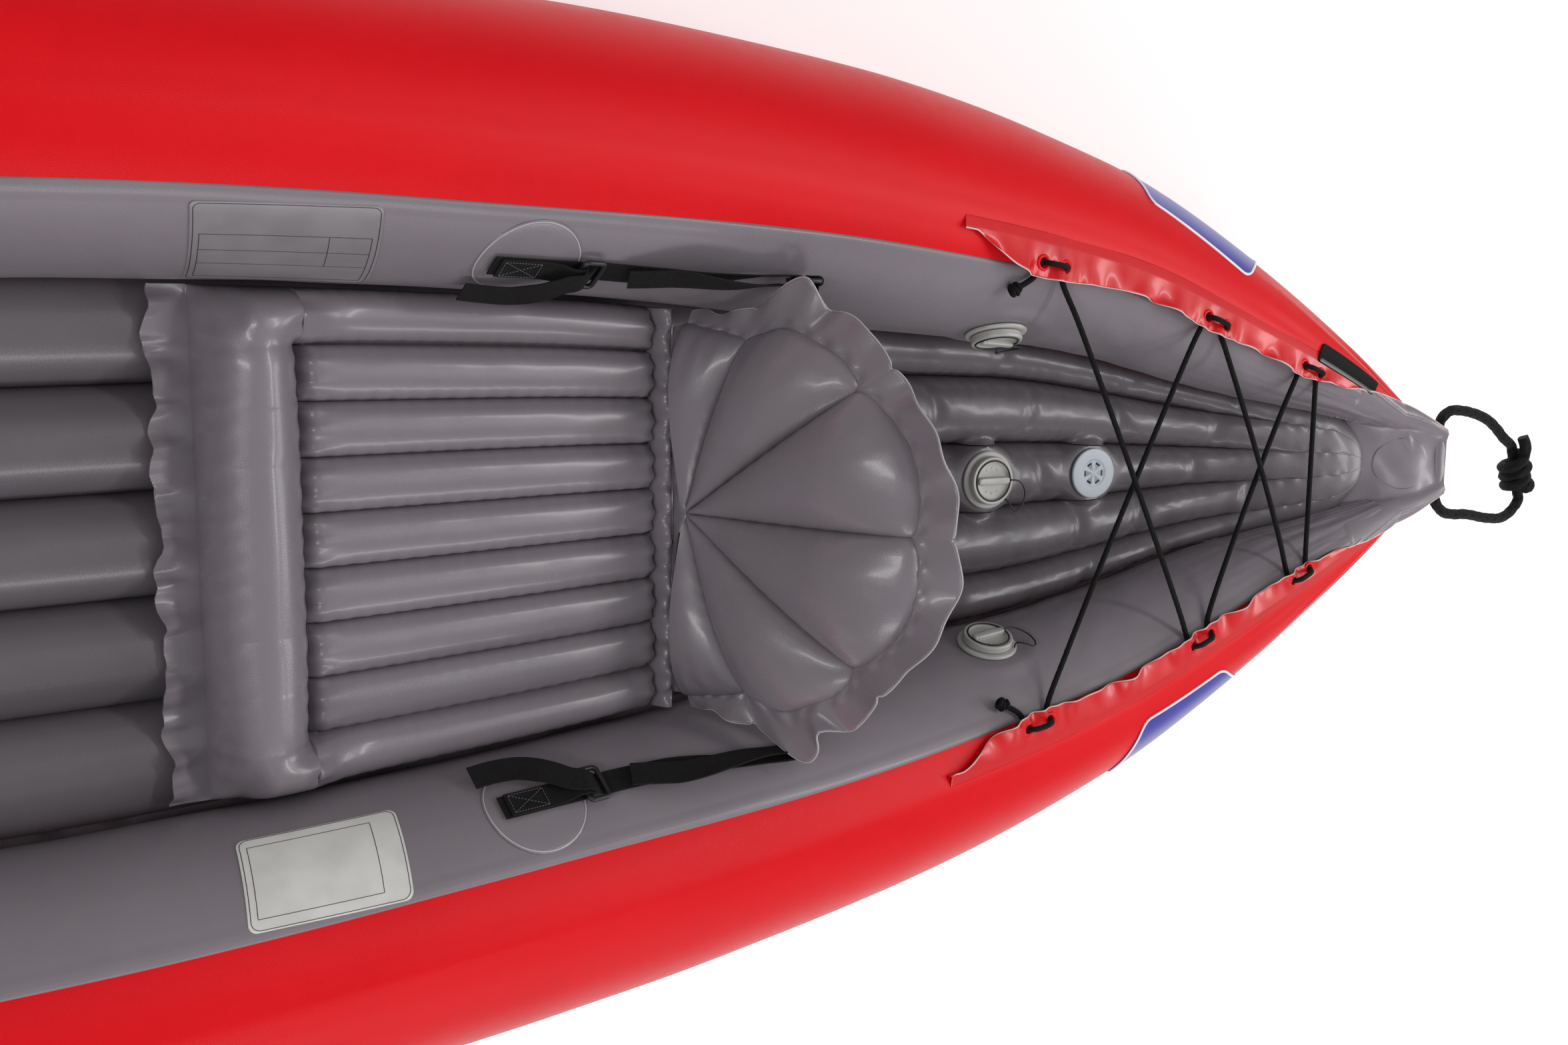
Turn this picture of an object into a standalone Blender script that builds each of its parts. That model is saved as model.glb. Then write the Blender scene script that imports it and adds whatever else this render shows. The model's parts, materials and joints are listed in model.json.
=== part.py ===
"""One-person inflatable kayak with an inflated seat, built from separate pieces.

Metres, +Z up. +X points to the stern and +Y to starboard. The origin is on the
ground under the middle of the hull. The bow mirrors the stern.
"""
import math

import bmesh
import bpy
import numpy as np
from mathutils import Matrix, Vector

# Hull sizes
LENGTH = 2.620
BEAM = 0.790
TUBE_RADIUS = 0.105
ROCKER = 0.110
END_PIECE_LENGTH = 0.065
TUBE_SIDE_COUNT = 20
SEAT_GAP = 0.0003
RUN_GAP = 0.0006
OVERRUN = 0.004

# Stations along one half of a side tube, from amidships to the tube's end
STATION_SHARES = (0.0, 0.241, 0.482, 0.683, 0.843, 0.940, 1.0)
OUTER_BEAM_SHARES = (1.0, 0.977, 0.904, 0.754, 0.514, 0.314, 0.162)
RADIUS_SHARES = (1.0, 1.0, 1.0, 0.840, 0.610, 0.343, 0.133)
RISE_SHARES = (0.0, 0.0, 0.027, 0.164, 0.418, 0.682, 0.910)
TUBE_RING_SHARES = (0.0, 0.100, 0.196, 0.310, 0.430, 0.545, 0.656, 0.725, 0.790, 0.850, 0.905, 0.950, 0.980, 1.0)

# Inner panels of the side tubes, as angles from the top of a tube towards the cockpit
PANEL_THICKNESS = 0.0012
PANEL_START_DEG = 31.0
PANEL_END_DEG = 117.0
PANEL_X_SHARE = 0.992

# Inflated floor
FLOOR_HEIGHT = 0.070
FLOOR_CHANNEL_SHARE = 0.0943
FLOOR_EDGE_FLANGE = 0.021
FLOOR_FLANGE_THICKNESS = 0.003
FLOOR_END_GAP = 0.0220
FLOOR_NECK = 0.010
FLOOR_INNER_SHARE = 0.46
FLOOR_TUBE_ANGLE_DEG = 135.0
FLOOR_STATION_SHARES = (0.0, 0.123, 0.246, 0.370, 0.493, 0.592, 0.700, 0.782, 0.864, 0.914, 0.963, 0.985, 1.0)
FLOOR_PITCH_SHARES = (1.0, 1.0, 1.0, 0.995, 0.925, 0.87, 0.81, 0.74, 0.655, 0.56, 0.42, 0.30, 0.16)
FLOOR_TAPER_SHARES = (1.0, 1.0, 1.0, 1.0, 1.0, 1.0, 1.0, 1.0, 1.0, 1.0, 0.96, 0.78, 0.45)

# End pieces and the rope sleeves folded at their tips
END_HALF_WIDTH = 0.033
END_WALL = 0.004
END_STEP_HALF_WIDTH = 0.056
END_TOP_RISE = 0.012
SLEEVE_BORE_RADIUS = 0.0063
SLEEVE_WALL = 0.0025

# Red edge flaps over the cockpit ends
FLAP_THICKNESS = 0.0015
FLAP_START_SHARE = 0.514
FLAP_END_SHARE = 0.956
FLAP_WIDTH = 0.031
FLAP_END_WIDTH = 0.020
FLAP_LAP = 0.012
FLAP_SCALLOP = 0.005
FLAP_RISE = 0.0040
FLAP_STEP_COUNT = 17

# Lacing over the stern
LACING_SLOT_SHARES = (0.6169, 0.7863, 0.8956)
LACING_SLOT_INSET = 0.0185
LACING_HOLE_SPACING = 0.026
LACING_HOLE_RADIUS = 0.0047
LACING_RADIUS = 0.0025
LACING_ARC_HEIGHT = 0.0085
LACING_DIP = 0.010
LACING_POINT_COUNT = 76
KNOT_RADIUS = 0.0055

# Strip patch on the starboard stern
STRIP_LENGTH = 0.062
STRIP_SHARE = 0.9270
STRIP_THICKNESS = 0.0016

# Inflated seat
SEAT_FRONT = 0.060
SEAT_REAR = 0.445
SEAT_FLANGE = 0.028
SEAT_BOLSTER = 0.064
SEAT_SIDE_GAP = 0.0022
SEAT_CHANNEL_COUNT = 9
SEAT_CHANNEL_HEIGHT = 0.030
SEAT_BOLSTER_HEIGHT = 0.062
SEAT_SEAM_THICKNESS = 0.009
SEAT_FLANGE_THICKNESS = 0.0025
SEAT_END_ROUND = 0.024
SEAT_ROLL_ROW_SHARES = (0.0, 0.05, 0.17, 0.34, 0.5, 0.66, 0.83, 0.95, 1.0)

# Hinge strip and inflated backrest
HINGE_STRIP_WIDTH = 0.0085
HINGE_STRIP_THICKNESS = 0.0020
HINGE_LIFT = 0.0290
BACKREST_RECLINE_DEG = 68.0
BACKREST_FOOT = 0.0010
BACKREST_RADIUS_SHARE = 1.5227215
BACKREST_THICKNESS = 0.046
BACKREST_EDGE_THICKNESS = 0.0024
BACKREST_FLANGE_THICKNESS = 0.0015
BACKREST_RUFFLE = 0.0050
BACKREST_HUB_HEIGHT = 0.014
BACKREST_SEAM_DEG = (0.0, 22.0, 56.0, 90.0, 124.0, 158.0, 180.0)
BACKREST_ANGLES_DEG = (0.0, 8.0, 15.0, 25.0, 32.0, 40.0, 50.0, 60.0, 75.0, 90.0)
BACKREST_CORE_SHARES = (0.612, 0.604, 0.612, 0.660, 0.720, 0.745, 0.790, 0.815, 0.865, 0.870)
BACKREST_FLANGE_SHARES = (0.640, 0.645, 0.672, 0.782, 0.885, 0.862, 0.900, 0.915, 0.970, 0.985)
BACKREST_SEAM_DEPTH_SHARE = 0.34

# Seat straps, their patches, tabs and rings
WEBBING_WIDTH = 0.020
WEBBING_THICKNESS = 0.0015
PATCH_RADIUS = 0.040
PATCH_THICKNESS = 0.0010
PATCH_X = 0.300
STRAP_FACET_DEG = 54.0
RING_BAR_RADIUS = 0.0020
RING_WINDOW = 0.0120
RING_SIDE_GAP = 0.0020
LOOP_GAP = 0.0006
FRONT_RING_X = 0.339
BACK_RING_BEHIND = 0.050
BACK_RING_WALL_GAP = 0.0262
BACK_RING_HEIGHT = 0.0950
TAB_LENGTH = 0.066
STRAP_SAG = 0.008
STRAP_END_GAP = 0.020
TAIL_LENGTH = 0.085
TAIL_SPREAD = 0.031
BACK_TAB_SPREAD = 0.046

# Main inflation valves, in a frame with +Z out of the chamber
VALVE_FLANGE_RADIUS = 0.027
VALVE_FLANGE_THICKNESS = 0.0030
VALVE_CUP_RADIUS = 0.019
VALVE_BORE_RADIUS = 0.016
VALVE_DEPTH = 0.024
VALVE_FLOOR = 0.0025
VALVE_SINK = 0.0018
VALVE_AIR_HOLE_RADIUS = 0.0030
VALVE_AIR_CIRCLE = 0.0088
VALVE_AIR_HOLE_COUNT = 3
STEM_RADIUS = 0.0026
STEM_BUTTON_RADIUS = 0.0065
STEM_BUTTON_THICKNESS = 0.0025
STEM_TOP_DEPTH = 0.0060
STEM_TRAVEL = 0.0050
STEM_FOOT_RADIUS = 0.0060
STEM_FOOT_THICKNESS = 0.0020
SEAL_RADIUS = 0.0130
SEAL_THICKNESS = 0.0026
SPRING_RADIUS = 0.0048
SPRING_WIRE_RADIUS = 0.00045
SPRING_CURL_COUNT = 3
SPRING_POINT_COUNT = 8
GASKET_RADIUS = 0.0174
GASKET_CORD_RADIUS = 0.0010
CAP_RADIUS = 0.0225
CAP_DISH_RADIUS = 0.0175
CAP_LIP = 0.0065
CAP_DISH_DEPTH = 0.0025
CAP_SKIRT_RADIUS = 0.0155
CAP_SKIRT_WALL = 0.0030
CAP_SKIRT_DEPTH = 0.0072
CAP_TOP_WALL = 0.0028
CAP_BAR_WIDTH = 0.0070
CAP_BAR_HEIGHT = 0.0050
CAP_BAR_LENGTH = 0.0350
CAP_BAR_ROUND = 0.0018
LANYARD_RADIUS = 0.00075
SIDE_VALVE_SHARE = 0.6209
SIDE_VALVE_FACET_DEG = 72.0
FLOOR_VALVE_SHARE = 0.6426
PLATEAU_MARGIN = 0.003
PLATEAU_FLARE = 0.008
PLATEAU_RIM = 0.0006
PLATEAU_LIFT = 0.0009

# Relief valve in the floor
RELIEF_SHARE = 0.7390
RELIEF_FLANGE_RADIUS = 0.024
RELIEF_THICKNESS = 0.0022
RELIEF_CUP_RADIUS = 0.0150
RELIEF_BORE_RADIUS = 0.0125
RELIEF_DEPTH = 0.0160
RELIEF_SEAT_RADIUS = 0.0080
RELIEF_SEAT_THICKNESS = 0.0020
RELIEF_SLOT_COUNT = 6
RELIEF_SLOT_CIRCLE = 0.0095
RELIEF_SLOT_LENGTH = 0.0055
RELIEF_SLOT_WIDTH = 0.0018
POPPET_RADIUS = 0.0105
POPPET_THICKNESS = 0.0022
POPPET_STEM_RADIUS = 0.0020
POPPET_STEM_LENGTH = 0.0070
RELIEF_SPRING_RADIUS = 0.0045
RELIEF_SPRING_WIRE_RADIUS = 0.00040
RELIEF_SPRING_CURL_COUNT = 3

# Seat valve on the back of the backrest
SEAT_VALVE_ACROSS = 0.036
SEAT_VALVE_UP = 0.100
SEAT_VALVE_RADIUS = 0.0120
SEAT_VALVE_THICKNESS = 0.0030
SEAT_VALVE_NECK_RADIUS = 0.0070
SEAT_VALVE_BORE_RADIUS = 0.0045
SEAT_VALVE_NECK_DEPTH = 0.0080
SEAT_PLUG_HEAD_RADIUS = 0.0080
SEAT_PLUG_HEAD_THICKNESS = 0.0025
SEAT_PLUG_TAPER = 0.0008

# Grab rope
ROPE_RADIUS = 0.0050
ROPE_REACH = 0.172
ROPE_HALF_WIDTH = 0.046
ROPE_DROOP = 0.016
ROPE_POINT_COUNT = 30
ROPE_KNOT_RADIUS = 0.0135
ROPE_KNOT_LENGTH = 0.040
ROPE_KNOT_RIB_COUNT = 4

# Facet counts of round pieces
TURNED_SIDE_COUNT = 16
SMALL_SIDE_COUNT = 12
HOLE_SIDE_COUNT = 8
CURVE_BEVEL_COUNT = 2
WIRE_BEVEL_COUNT = 1

# Derived sizes
HALF_LENGTH = LENGTH / 2
TUBE_END = HALF_LENGTH - END_PIECE_LENGTH
FLOOR_END = TUBE_END - FLOOR_END_GAP
FLAP_START = TUBE_END * FLAP_START_SHARE
FLAP_END = TUBE_END * FLAP_END_SHARE
LACING_SLOT_X = tuple(TUBE_END * share for share in LACING_SLOT_SHARES)
SIDE_VALVE_X = TUBE_END * SIDE_VALVE_SHARE
FLOOR_VALVE_X = TUBE_END * FLOOR_VALVE_SHARE
RELIEF_X = TUBE_END * RELIEF_SHARE
STRIP_X = TUBE_END * STRIP_SHARE
FLOOR_CHANNEL_WIDTH = BEAM * FLOOR_CHANNEL_SHARE
FACET = 2 * math.pi / TUBE_SIDE_COUNT
FACET_SHRINK = math.cos(FACET / 2)
PANEL_TOP = SEAT_GAP + PANEL_THICKNESS

MATERIALS = {
    "red_fabric": ((0.60, 0.010, 0.014), 0.32, 0.0),
    "grey_fabric": ((0.085, 0.080, 0.087), 0.34, 0.0),
    "webbing": ((0.012, 0.011, 0.012), 0.80, 0.0),
    "black_plastic": ((0.014, 0.013, 0.014), 0.42, 0.0),
    "valve_plastic": ((0.42, 0.41, 0.39), 0.38, 0.0),
    "relief_plastic": ((0.36, 0.39, 0.44), 0.35, 0.0),
    "rubber": ((0.020, 0.020, 0.020), 0.70, 0.0),
    "steel": ((0.55, 0.55, 0.56), 0.25, 1.0),
    "cord": ((0.010, 0.009, 0.010), 0.75, 0.0),
}


def clear_scene():
    """Removes every object of the start scene."""
    for old in list(bpy.data.objects):
        bpy.data.objects.remove(old, do_unlink=True)


def material(name, kind):
    """Makes a piece's own material from the values of its kind."""
    colour, roughness, metallic = MATERIALS[kind]
    made = bpy.data.materials.new(name)
    made.use_nodes = True
    shader = made.node_tree.nodes["Principled BSDF"]
    shader.inputs["Base Color"].default_value = (*colour, 1.0)
    shader.inputs["Roughness"].default_value = roughness
    shader.inputs["Metallic"].default_value = metallic
    made.diffuse_color = (*colour, 1.0)
    return made


def smooth_curve(stations, values):
    """Returns a monotone cubic through the given stations."""
    x = np.asarray(stations, float)
    y = np.asarray(values, float)
    h = np.diff(x)
    d = np.diff(y) / h
    m = np.zeros(len(x))
    for i in range(1, len(x) - 1):
        if d[i - 1] * d[i] > 0:
            w1 = 2 * h[i] + h[i - 1]
            w2 = h[i] + 2 * h[i - 1]
            m[i] = (w1 + w2) / (w1 / d[i - 1] + w2 / d[i])
    m[-1] = d[-1]

    def value(at):
        at = min(max(at, x[0]), x[-1])
        i = min(int(np.searchsorted(x, at, side="right")) - 1, len(x) - 2)
        t = (at - x[i]) / h[i]
        a = (1 + 2 * t) * (1 - t) ** 2 * y[i] + t * (1 - t) ** 2 * h[i] * m[i]
        b = t * t * (3 - 2 * t) * y[i + 1] + t * t * (t - 1) * h[i] * m[i + 1]
        return float(a + b)
    return value


outer_share = smooth_curve(STATION_SHARES, OUTER_BEAM_SHARES)
radius_share = smooth_curve(STATION_SHARES, RADIUS_SHARES)
rise_share = smooth_curve(STATION_SHARES, RISE_SHARES)


def add_mesh(name, points, faces, mat, smooth_deg=40.0):
    """Makes one closed mesh object with its faces pointing out."""
    mesh = bpy.data.meshes.new(name)
    mesh.from_pydata([tuple(p) for p in points], [], faces)
    work = bmesh.new()
    work.from_mesh(mesh)
    bmesh.ops.recalc_face_normals(work, faces=work.faces)
    if work.calc_volume(signed=True) < 0:
        bmesh.ops.reverse_faces(work, faces=work.faces)
    work.to_mesh(mesh)
    work.free()
    mesh.shade_smooth()
    mesh.set_sharp_from_angle(angle=math.radians(smooth_deg))
    made = bpy.data.objects.new(name, mesh)
    bpy.context.scene.collection.objects.link(made)
    made.data.materials.append(material(name, mat))
    return made


def loft(name, rings, mat, smooth_deg=40.0):
    """Joins rings with equal point counts by quads and closes both ends."""
    count = len(rings[0])
    points = [p for ring in rings for p in ring]
    faces = []
    for i in range(len(rings) - 1):
        for j in range(count):
            k = (j + 1) % count
            faces.append((i * count + j, i * count + k, (i + 1) * count + k, (i + 1) * count + j))
    faces.append(tuple(range(count)))
    faces.append(tuple((len(rings) - 1) * count + j for j in range(count)))
    return add_mesh(name, points, faces, mat, smooth_deg)


def turned(name, profile, mat, frame, sides=TURNED_SIDE_COUNT, smooth_deg=35.0):
    """Turns (radius, height) points round +Z; a profile off the axis closes on itself."""
    on_axis = profile[0][0] == 0
    points = []
    rows = []
    for radius, height in profile:
        row = []
        for j in range(1 if radius == 0 else sides):
            angle = 2 * math.pi * (j + 0.5) / sides
            row.append(len(points))
            points.append(frame @ Vector((radius * math.cos(angle), radius * math.sin(angle), height)))
        rows.append(row)
    faces = []
    pairs = list(zip(rows, rows[1:])) + ([] if on_axis else [(rows[-1], rows[0])])
    for a, b in pairs:
        for j in range(sides):
            k = (j + 1) % sides
            ring = [a[j % len(a)], a[k % len(a)], b[k % len(b)], b[j % len(b)]]
            faces.append(tuple(dict.fromkeys(ring)))
    origin = frame.translation.copy()
    made = add_mesh(name, [p - origin for p in points], faces, mat, smooth_deg)
    made.location = origin
    return made


def add_tube(name, route, radius, mat, bevel=CURVE_BEVEL_COUNT):
    """Makes a round tube with filled ends along a route."""
    curve = bpy.data.curves.new(name, "CURVE")
    curve.dimensions = "3D"
    curve.bevel_depth = radius
    curve.bevel_resolution = int(bevel)
    curve.use_fill_caps = True
    curve.twist_mode = "MINIMUM"
    spline = curve.splines.new("POLY")
    spline.points.add(len(route) - 1)
    for point, place in zip(spline.points, route):
        point.co = (*place, 1.0)
    made = bpy.data.objects.new(name, curve)
    bpy.context.scene.collection.objects.link(made)
    curve.materials.append(material(name, mat))
    return made


def smooth_route(points, count, density=None):
    """Samples a centripetal Catmull-Rom curve, with steps as short as each route point asks."""
    p = [np.asarray(q, float) for q in points]
    weight = [1.0] * len(p) if density is None else list(density)
    p = [2 * p[0] - p[1]] + p + [2 * p[-1] - p[-2]]
    fine = []
    dense = []
    steps = 24
    for i in range(1, len(p) - 2):
        a, b, c, d = p[i - 1], p[i], p[i + 1], p[i + 2]
        t1 = math.sqrt(np.linalg.norm(b - a))
        t2 = t1 + math.sqrt(np.linalg.norm(c - b))
        t3 = t2 + math.sqrt(np.linalg.norm(d - c))
        for k in range(steps):
            t = t1 + (t2 - t1) * k / steps
            a1 = (t1 - t) / t1 * a + t / t1 * b
            a2 = (t2 - t) / (t2 - t1) * b + (t - t1) / (t2 - t1) * c
            a3 = (t3 - t) / (t3 - t2) * c + (t - t2) / (t3 - t2) * d
            b1 = (t2 - t) / t2 * a1 + t / t2 * a2
            b2 = (t3 - t) / (t3 - t1) * a2 + (t - t1) / (t3 - t1) * a3
            fine.append((t2 - t) / (t2 - t1) * b1 + (t - t1) / (t2 - t1) * b2)
            dense.append(weight[i - 1] + (weight[i] - weight[i - 1]) * k / steps)
    fine.append(p[-2])
    fine = np.array(fine)
    run = np.concatenate([[0.0], np.cumsum(np.linalg.norm(np.diff(fine, axis=0), axis=1) * np.array(dense))])
    at = np.linspace(0.0, run[-1], count)
    return [tuple(float(np.interp(s, run, fine[:, i])) for i in range(3)) for s in at]


def ribbon(name, path, across, width, thickness, mat):
    """Sweeps a flat band along a path; across gives its width direction at each point."""
    path = [Vector(p) for p in path]
    rings = []
    for i, place in enumerate(path):
        ahead = path[min(i + 1, len(path) - 1)] - place
        behind = place - path[max(i - 1, 0)]
        along = Vector((0, 0, 0))
        if ahead.length:
            along += ahead.normalized()
        if behind.length:
            along += behind.normalized()
        along.normalize()
        side = Vector(across[i])
        side = (side - along * side.dot(along)).normalized()
        up = along.cross(side)
        half_w = side * (width / 2)
        half_t = up * (thickness / 2)
        rings.append([place - half_w - half_t, place + half_w - half_t,
                      place + half_w + half_t, place - half_w + half_t])
    return loft(name, rings, mat, smooth_deg=30.0)


def frame_at(origin, out, near):
    """Builds a frame with +Z along out and +X as close to near as it can be."""
    z = Vector(out).normalized()
    x = Vector(near)
    x = (x - z * x.dot(z)).normalized()
    y = z.cross(x)
    made = Matrix((x, y, z)).transposed().to_4x4()
    made.translation = Vector(origin)
    return made


def hide_helper(made):
    """Marks a cutter or a filler that is no part of the model."""
    made.hide_render = True
    made.display_type = "WIRE"
    return made


def boolean(target, helper, operation="DIFFERENCE"):
    """Adds an exact Boolean with a hidden helper."""
    hide_helper(helper)
    step = target.modifiers.new(operation.lower(), "BOOLEAN")
    step.operation = operation
    step.solver = "EXACT"
    step.object = helper
    return step


# Side tubes: centre line, rings and points on their facets

def tube_at(x):
    """Centre offset, centre height and radius of a side tube at a station."""
    share = abs(x) / TUBE_END
    radius = TUBE_RADIUS * radius_share(share)
    centre = BEAM / 2 * outer_share(share) - radius
    height = TUBE_RADIUS * FACET_SHRINK + ROCKER * rise_share(share)
    return centre, height, radius


def tube_frame(side, x):
    """Centre point, forward direction, inward direction and up direction of a tube ring."""
    step = TUBE_RADIUS * 0.02
    low = max(x - step, -TUBE_END)
    high = min(x + step, TUBE_END)
    y0, z0, unused = tube_at(low)
    y1, z1, unused = tube_at(high)
    along = Vector((high - low, side * (y1 - y0), z1 - z0)).normalized()
    centre, height, radius = tube_at(x)
    inward = along.cross(Vector((0, 0, 1))).normalized()
    if inward.y * side > 0:
        inward = -inward
    up = along.cross(inward)
    if up.z < 0:
        up = -up
    return Vector((x, side * centre, height)), along, inward, up, radius


def ring_point(side, x, angle_deg, lift=0.0):
    """A point on one ring of a tube; the angle runs from the top towards the cockpit."""
    place, along, inward, up, radius = tube_frame(side, x)
    angle = math.radians(angle_deg)
    steps = (angle - FACET / 2) / FACET
    low = math.floor(steps + 1e-9)
    t = steps - low
    a0 = FACET / 2 + low * FACET
    first = inward * math.sin(a0) + up * math.cos(a0)
    second = inward * math.sin(a0 + FACET) + up * math.cos(a0 + FACET)
    return place + (first * (1 - t) + second * t) * (radius + lift)


def tube_rings():
    """Stations of a side tube from bow to stern."""
    half = [s * TUBE_END for s in TUBE_RING_SHARES]
    return [-x for x in reversed(half[1:])] + half


def tube_point(side, x, angle_deg, lift=0.0):
    """A point on the flat faces between the two rings beside a station."""
    stations = tube_rings()
    i = min(int(np.searchsorted(stations, x, side="right")) - 1, len(stations) - 2)
    i = max(i, 0)
    t = (x - stations[i]) / (stations[i + 1] - stations[i])
    first = ring_point(side, stations[i], angle_deg, lift)
    second = ring_point(side, stations[i + 1], angle_deg, lift)
    return first.lerp(second, t)


def facet_frame(side, x, angle_deg, lift=0.0):
    """Frame on a facet's middle: +Z out of the tube, +X towards the stern."""
    step = TUBE_RADIUS * 0.02
    base = tube_point(side, x, angle_deg)
    along = tube_point(side, x + step, angle_deg) - tube_point(side, x - step, angle_deg)
    half = math.degrees(FACET / 4)
    across = tube_point(side, x, angle_deg + half) - tube_point(side, x, angle_deg - half)
    out = along.cross(across).normalized()
    if out.y * side > 0:
        out = -out
    return frame_at(base + out * lift, out, along)


def wall_lines():
    """Lengthwise edges of the starboard tube on its inner side, from its bottom up."""
    lines = []
    for k in range(TUBE_SIDE_COUNT // 2):
        line = [ring_point(1, x, math.degrees(FACET * (k + 0.5))) for x in tube_rings()]
        lines.append(([p.x for p in line], [p.y for p in line], [p.z for p in line]))
    return list(reversed(lines))


WALL_LINES = wall_lines()
SEAM_LINE = WALL_LINES[(TUBE_SIDE_COUNT // 2 - 1) - round(FLOOR_TUBE_ANGLE_DEG / math.degrees(FACET) - 0.5)]


def tube_wall(x, z):
    """How far out the tube's inner wall is at a station and a height."""
    heights = [float(np.interp(x, xs, zs)) for xs, ys, zs in WALL_LINES]
    walls = [float(np.interp(x, xs, ys)) for xs, ys, zs in WALL_LINES]
    return float(np.interp(z, heights, walls))


def make_tube(name, side):
    """The inflated side tube with its outer red fabric."""
    rings = []
    for x in tube_rings():
        angles = [math.degrees(FACET * (k + 0.5)) for k in range(TUBE_SIDE_COUNT)]
        rings.append([ring_point(side, x, a) for a in angles])
    return loft(name, rings, "red_fabric", smooth_deg=45.0)


def shell(name, side, stations, angles, low, high, mat):
    """A thin skin that follows the tube's facets between two heights above them."""
    rings = []
    inside = [x for x in tube_rings() if stations[0] < x < stations[-1]]
    for x in sorted(set(stations) | set(inside)):
        under = [tube_point(side, x, a, low) for a in angles]
        over = [tube_point(side, x, a, high) for a in reversed(angles)]
        rings.append(under + over)
    return loft(name, rings, mat, smooth_deg=45.0)


def panel_angles():
    """Angles of the inner panel's edges and of the tube's edges between them."""
    edges = [math.degrees(FACET * (k + 0.5)) for k in range(TUBE_SIDE_COUNT)]
    inside = [a for a in edges if PANEL_START_DEG + 1 < a < PANEL_END_DEG - 1]
    return [PANEL_START_DEG] + inside + [PANEL_END_DEG]


def make_panel(name, side):
    """The grey fabric panel on the cockpit side of a tube."""
    end = TUBE_END * PANEL_X_SHARE
    return shell(name, side, (-end, end), panel_angles(), SEAT_GAP, PANEL_TOP, "grey_fabric")


# Floor

def floor_levels(x):
    """Bottom, seam height and crown height of the floor at a station."""
    centre, height, radius = tube_at(x)
    bottom = height - radius * FACET_SHRINK
    seam = float(np.interp(x, SEAM_LINE[0], SEAM_LINE[2]))
    crown = bottom + FLOOR_HEIGHT * (radius / TUBE_RADIUS) ** 0.6
    return bottom, seam, crown


def floor_reach(x, z):
    """How far out the floor's edge flange reaches, just clear of the side tube."""
    return tube_wall(x, z) - RUN_GAP


floor_pitch_share = smooth_curve(FLOOR_STATION_SHARES, FLOOR_PITCH_SHARES)
floor_taper_share = smooth_curve(FLOOR_STATION_SHARES, FLOOR_TAPER_SHARES)


def floor_section(x, top_steps=4):
    """Outline of the floor across the hull: five channels and two edge flanges."""
    share = abs(x) / FLOOR_END
    bottom, seam, crown = floor_levels(x)
    taper = floor_taper_share(share)
    scale = tube_at(x)[2] / TUBE_RADIUS
    edge = (floor_reach(x, seam) - FLOOR_EDGE_FLANGE * scale) * taper
    pitch = min(FLOOR_CHANNEL_WIDTH * floor_pitch_share(share), edge * FLOOR_INNER_SHARE) * taper
    neck = min(FLOOR_NECK, (crown - seam) / 2, (seam - bottom)) * 0.5
    flange = min(FLOOR_FLANGE_THICKNESS / 2, neck / 2)
    crown = seam + (crown - seam) * (0.55 + 0.45 * taper)
    seams = [-edge, -1.5 * pitch, -0.5 * pitch, 0.5 * pitch, 1.5 * pitch, edge]
    over = floor_reach(x, seam + flange)
    under = floor_reach(x, seam - flange)
    top = [(-over, seam + flange)]
    low = [(-under, seam - flange)]
    for a, b in zip(seams, seams[1:]):
        middle = (a + b) / 2
        half = (b - a) / 2
        full = min(1.0, half / (FLOOR_CHANNEL_WIDTH / 2)) ** 0.5
        for k in range(top_steps):
            u = -1 + 2 * k / top_steps
            swell = math.sqrt(max(0.0, 1 - u * u))
            top.append((middle + u * half, seam + neck + (crown - seam - neck) * swell * full))
        low.append((middle - half, seam - neck))
        low.append((middle - half * 0.5, bottom))
        low.append((middle + half * 0.5, bottom))
    top.append((edge, seam + neck))
    low.append((edge, seam - neck))
    top.append((over, seam + flange))
    low.append((under, seam - flange))
    return [(x, y, z) for y, z in low] + [(x, y, z) for y, z in reversed(top)]


def floor_top_point(x):
    """Point on the crown of the middle channel and the crown's outward direction."""
    step = FLOOR_CHANNEL_WIDTH * 0.1

    def crown(at):
        section = floor_section(at)
        return max(p[2] for p in section if abs(p[1]) < FLOOR_CHANNEL_WIDTH / 2)
    slope = (crown(x + step) - crown(x - step)) / (2 * step)
    return Vector((x, 0, crown(x))), Vector((-slope, 0, 1)).normalized()


def make_floor():
    """The inflated floor with its sewn channels, flat where it rests on the ground."""
    inside = [x for x in SEAM_LINE[0] if 0 < x < FLOOR_END * 0.985]
    half = [0.0] + inside + [(inside[-1] + FLOOR_END) / 2, FLOOR_END]
    stations = [-x for x in reversed(half[1:])] + half
    made = loft("floor_chamber", [floor_section(x) for x in stations], "grey_fabric", smooth_deg=50.0)
    for label, x, radius in (("floor_valve", FLOOR_VALVE_X, VALVE_FLANGE_RADIUS),
                             ("relief_valve", RELIEF_X, RELIEF_FLANGE_RADIUS)):
        frame = plateau_frame(x)
        wide = radius + PLATEAU_MARGIN
        foot = wide + PLATEAU_FLARE
        depth = FLOOR_HEIGHT * 0.3
        profile = [(0, PLATEAU_RIM), (wide, PLATEAU_RIM), (foot, -depth), (0, -depth)]
        filler = turned("helper_plateau_" + label, profile, "grey_fabric", frame)
        boolean(made, filler, "UNION")
    return made


def plateau_frame(x):
    """Frame of the flat fabric seat under a floor valve."""
    place, out = floor_top_point(x)
    return frame_at(place + out * PLATEAU_LIFT, out, (1, 0, 0))


# End pieces

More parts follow.
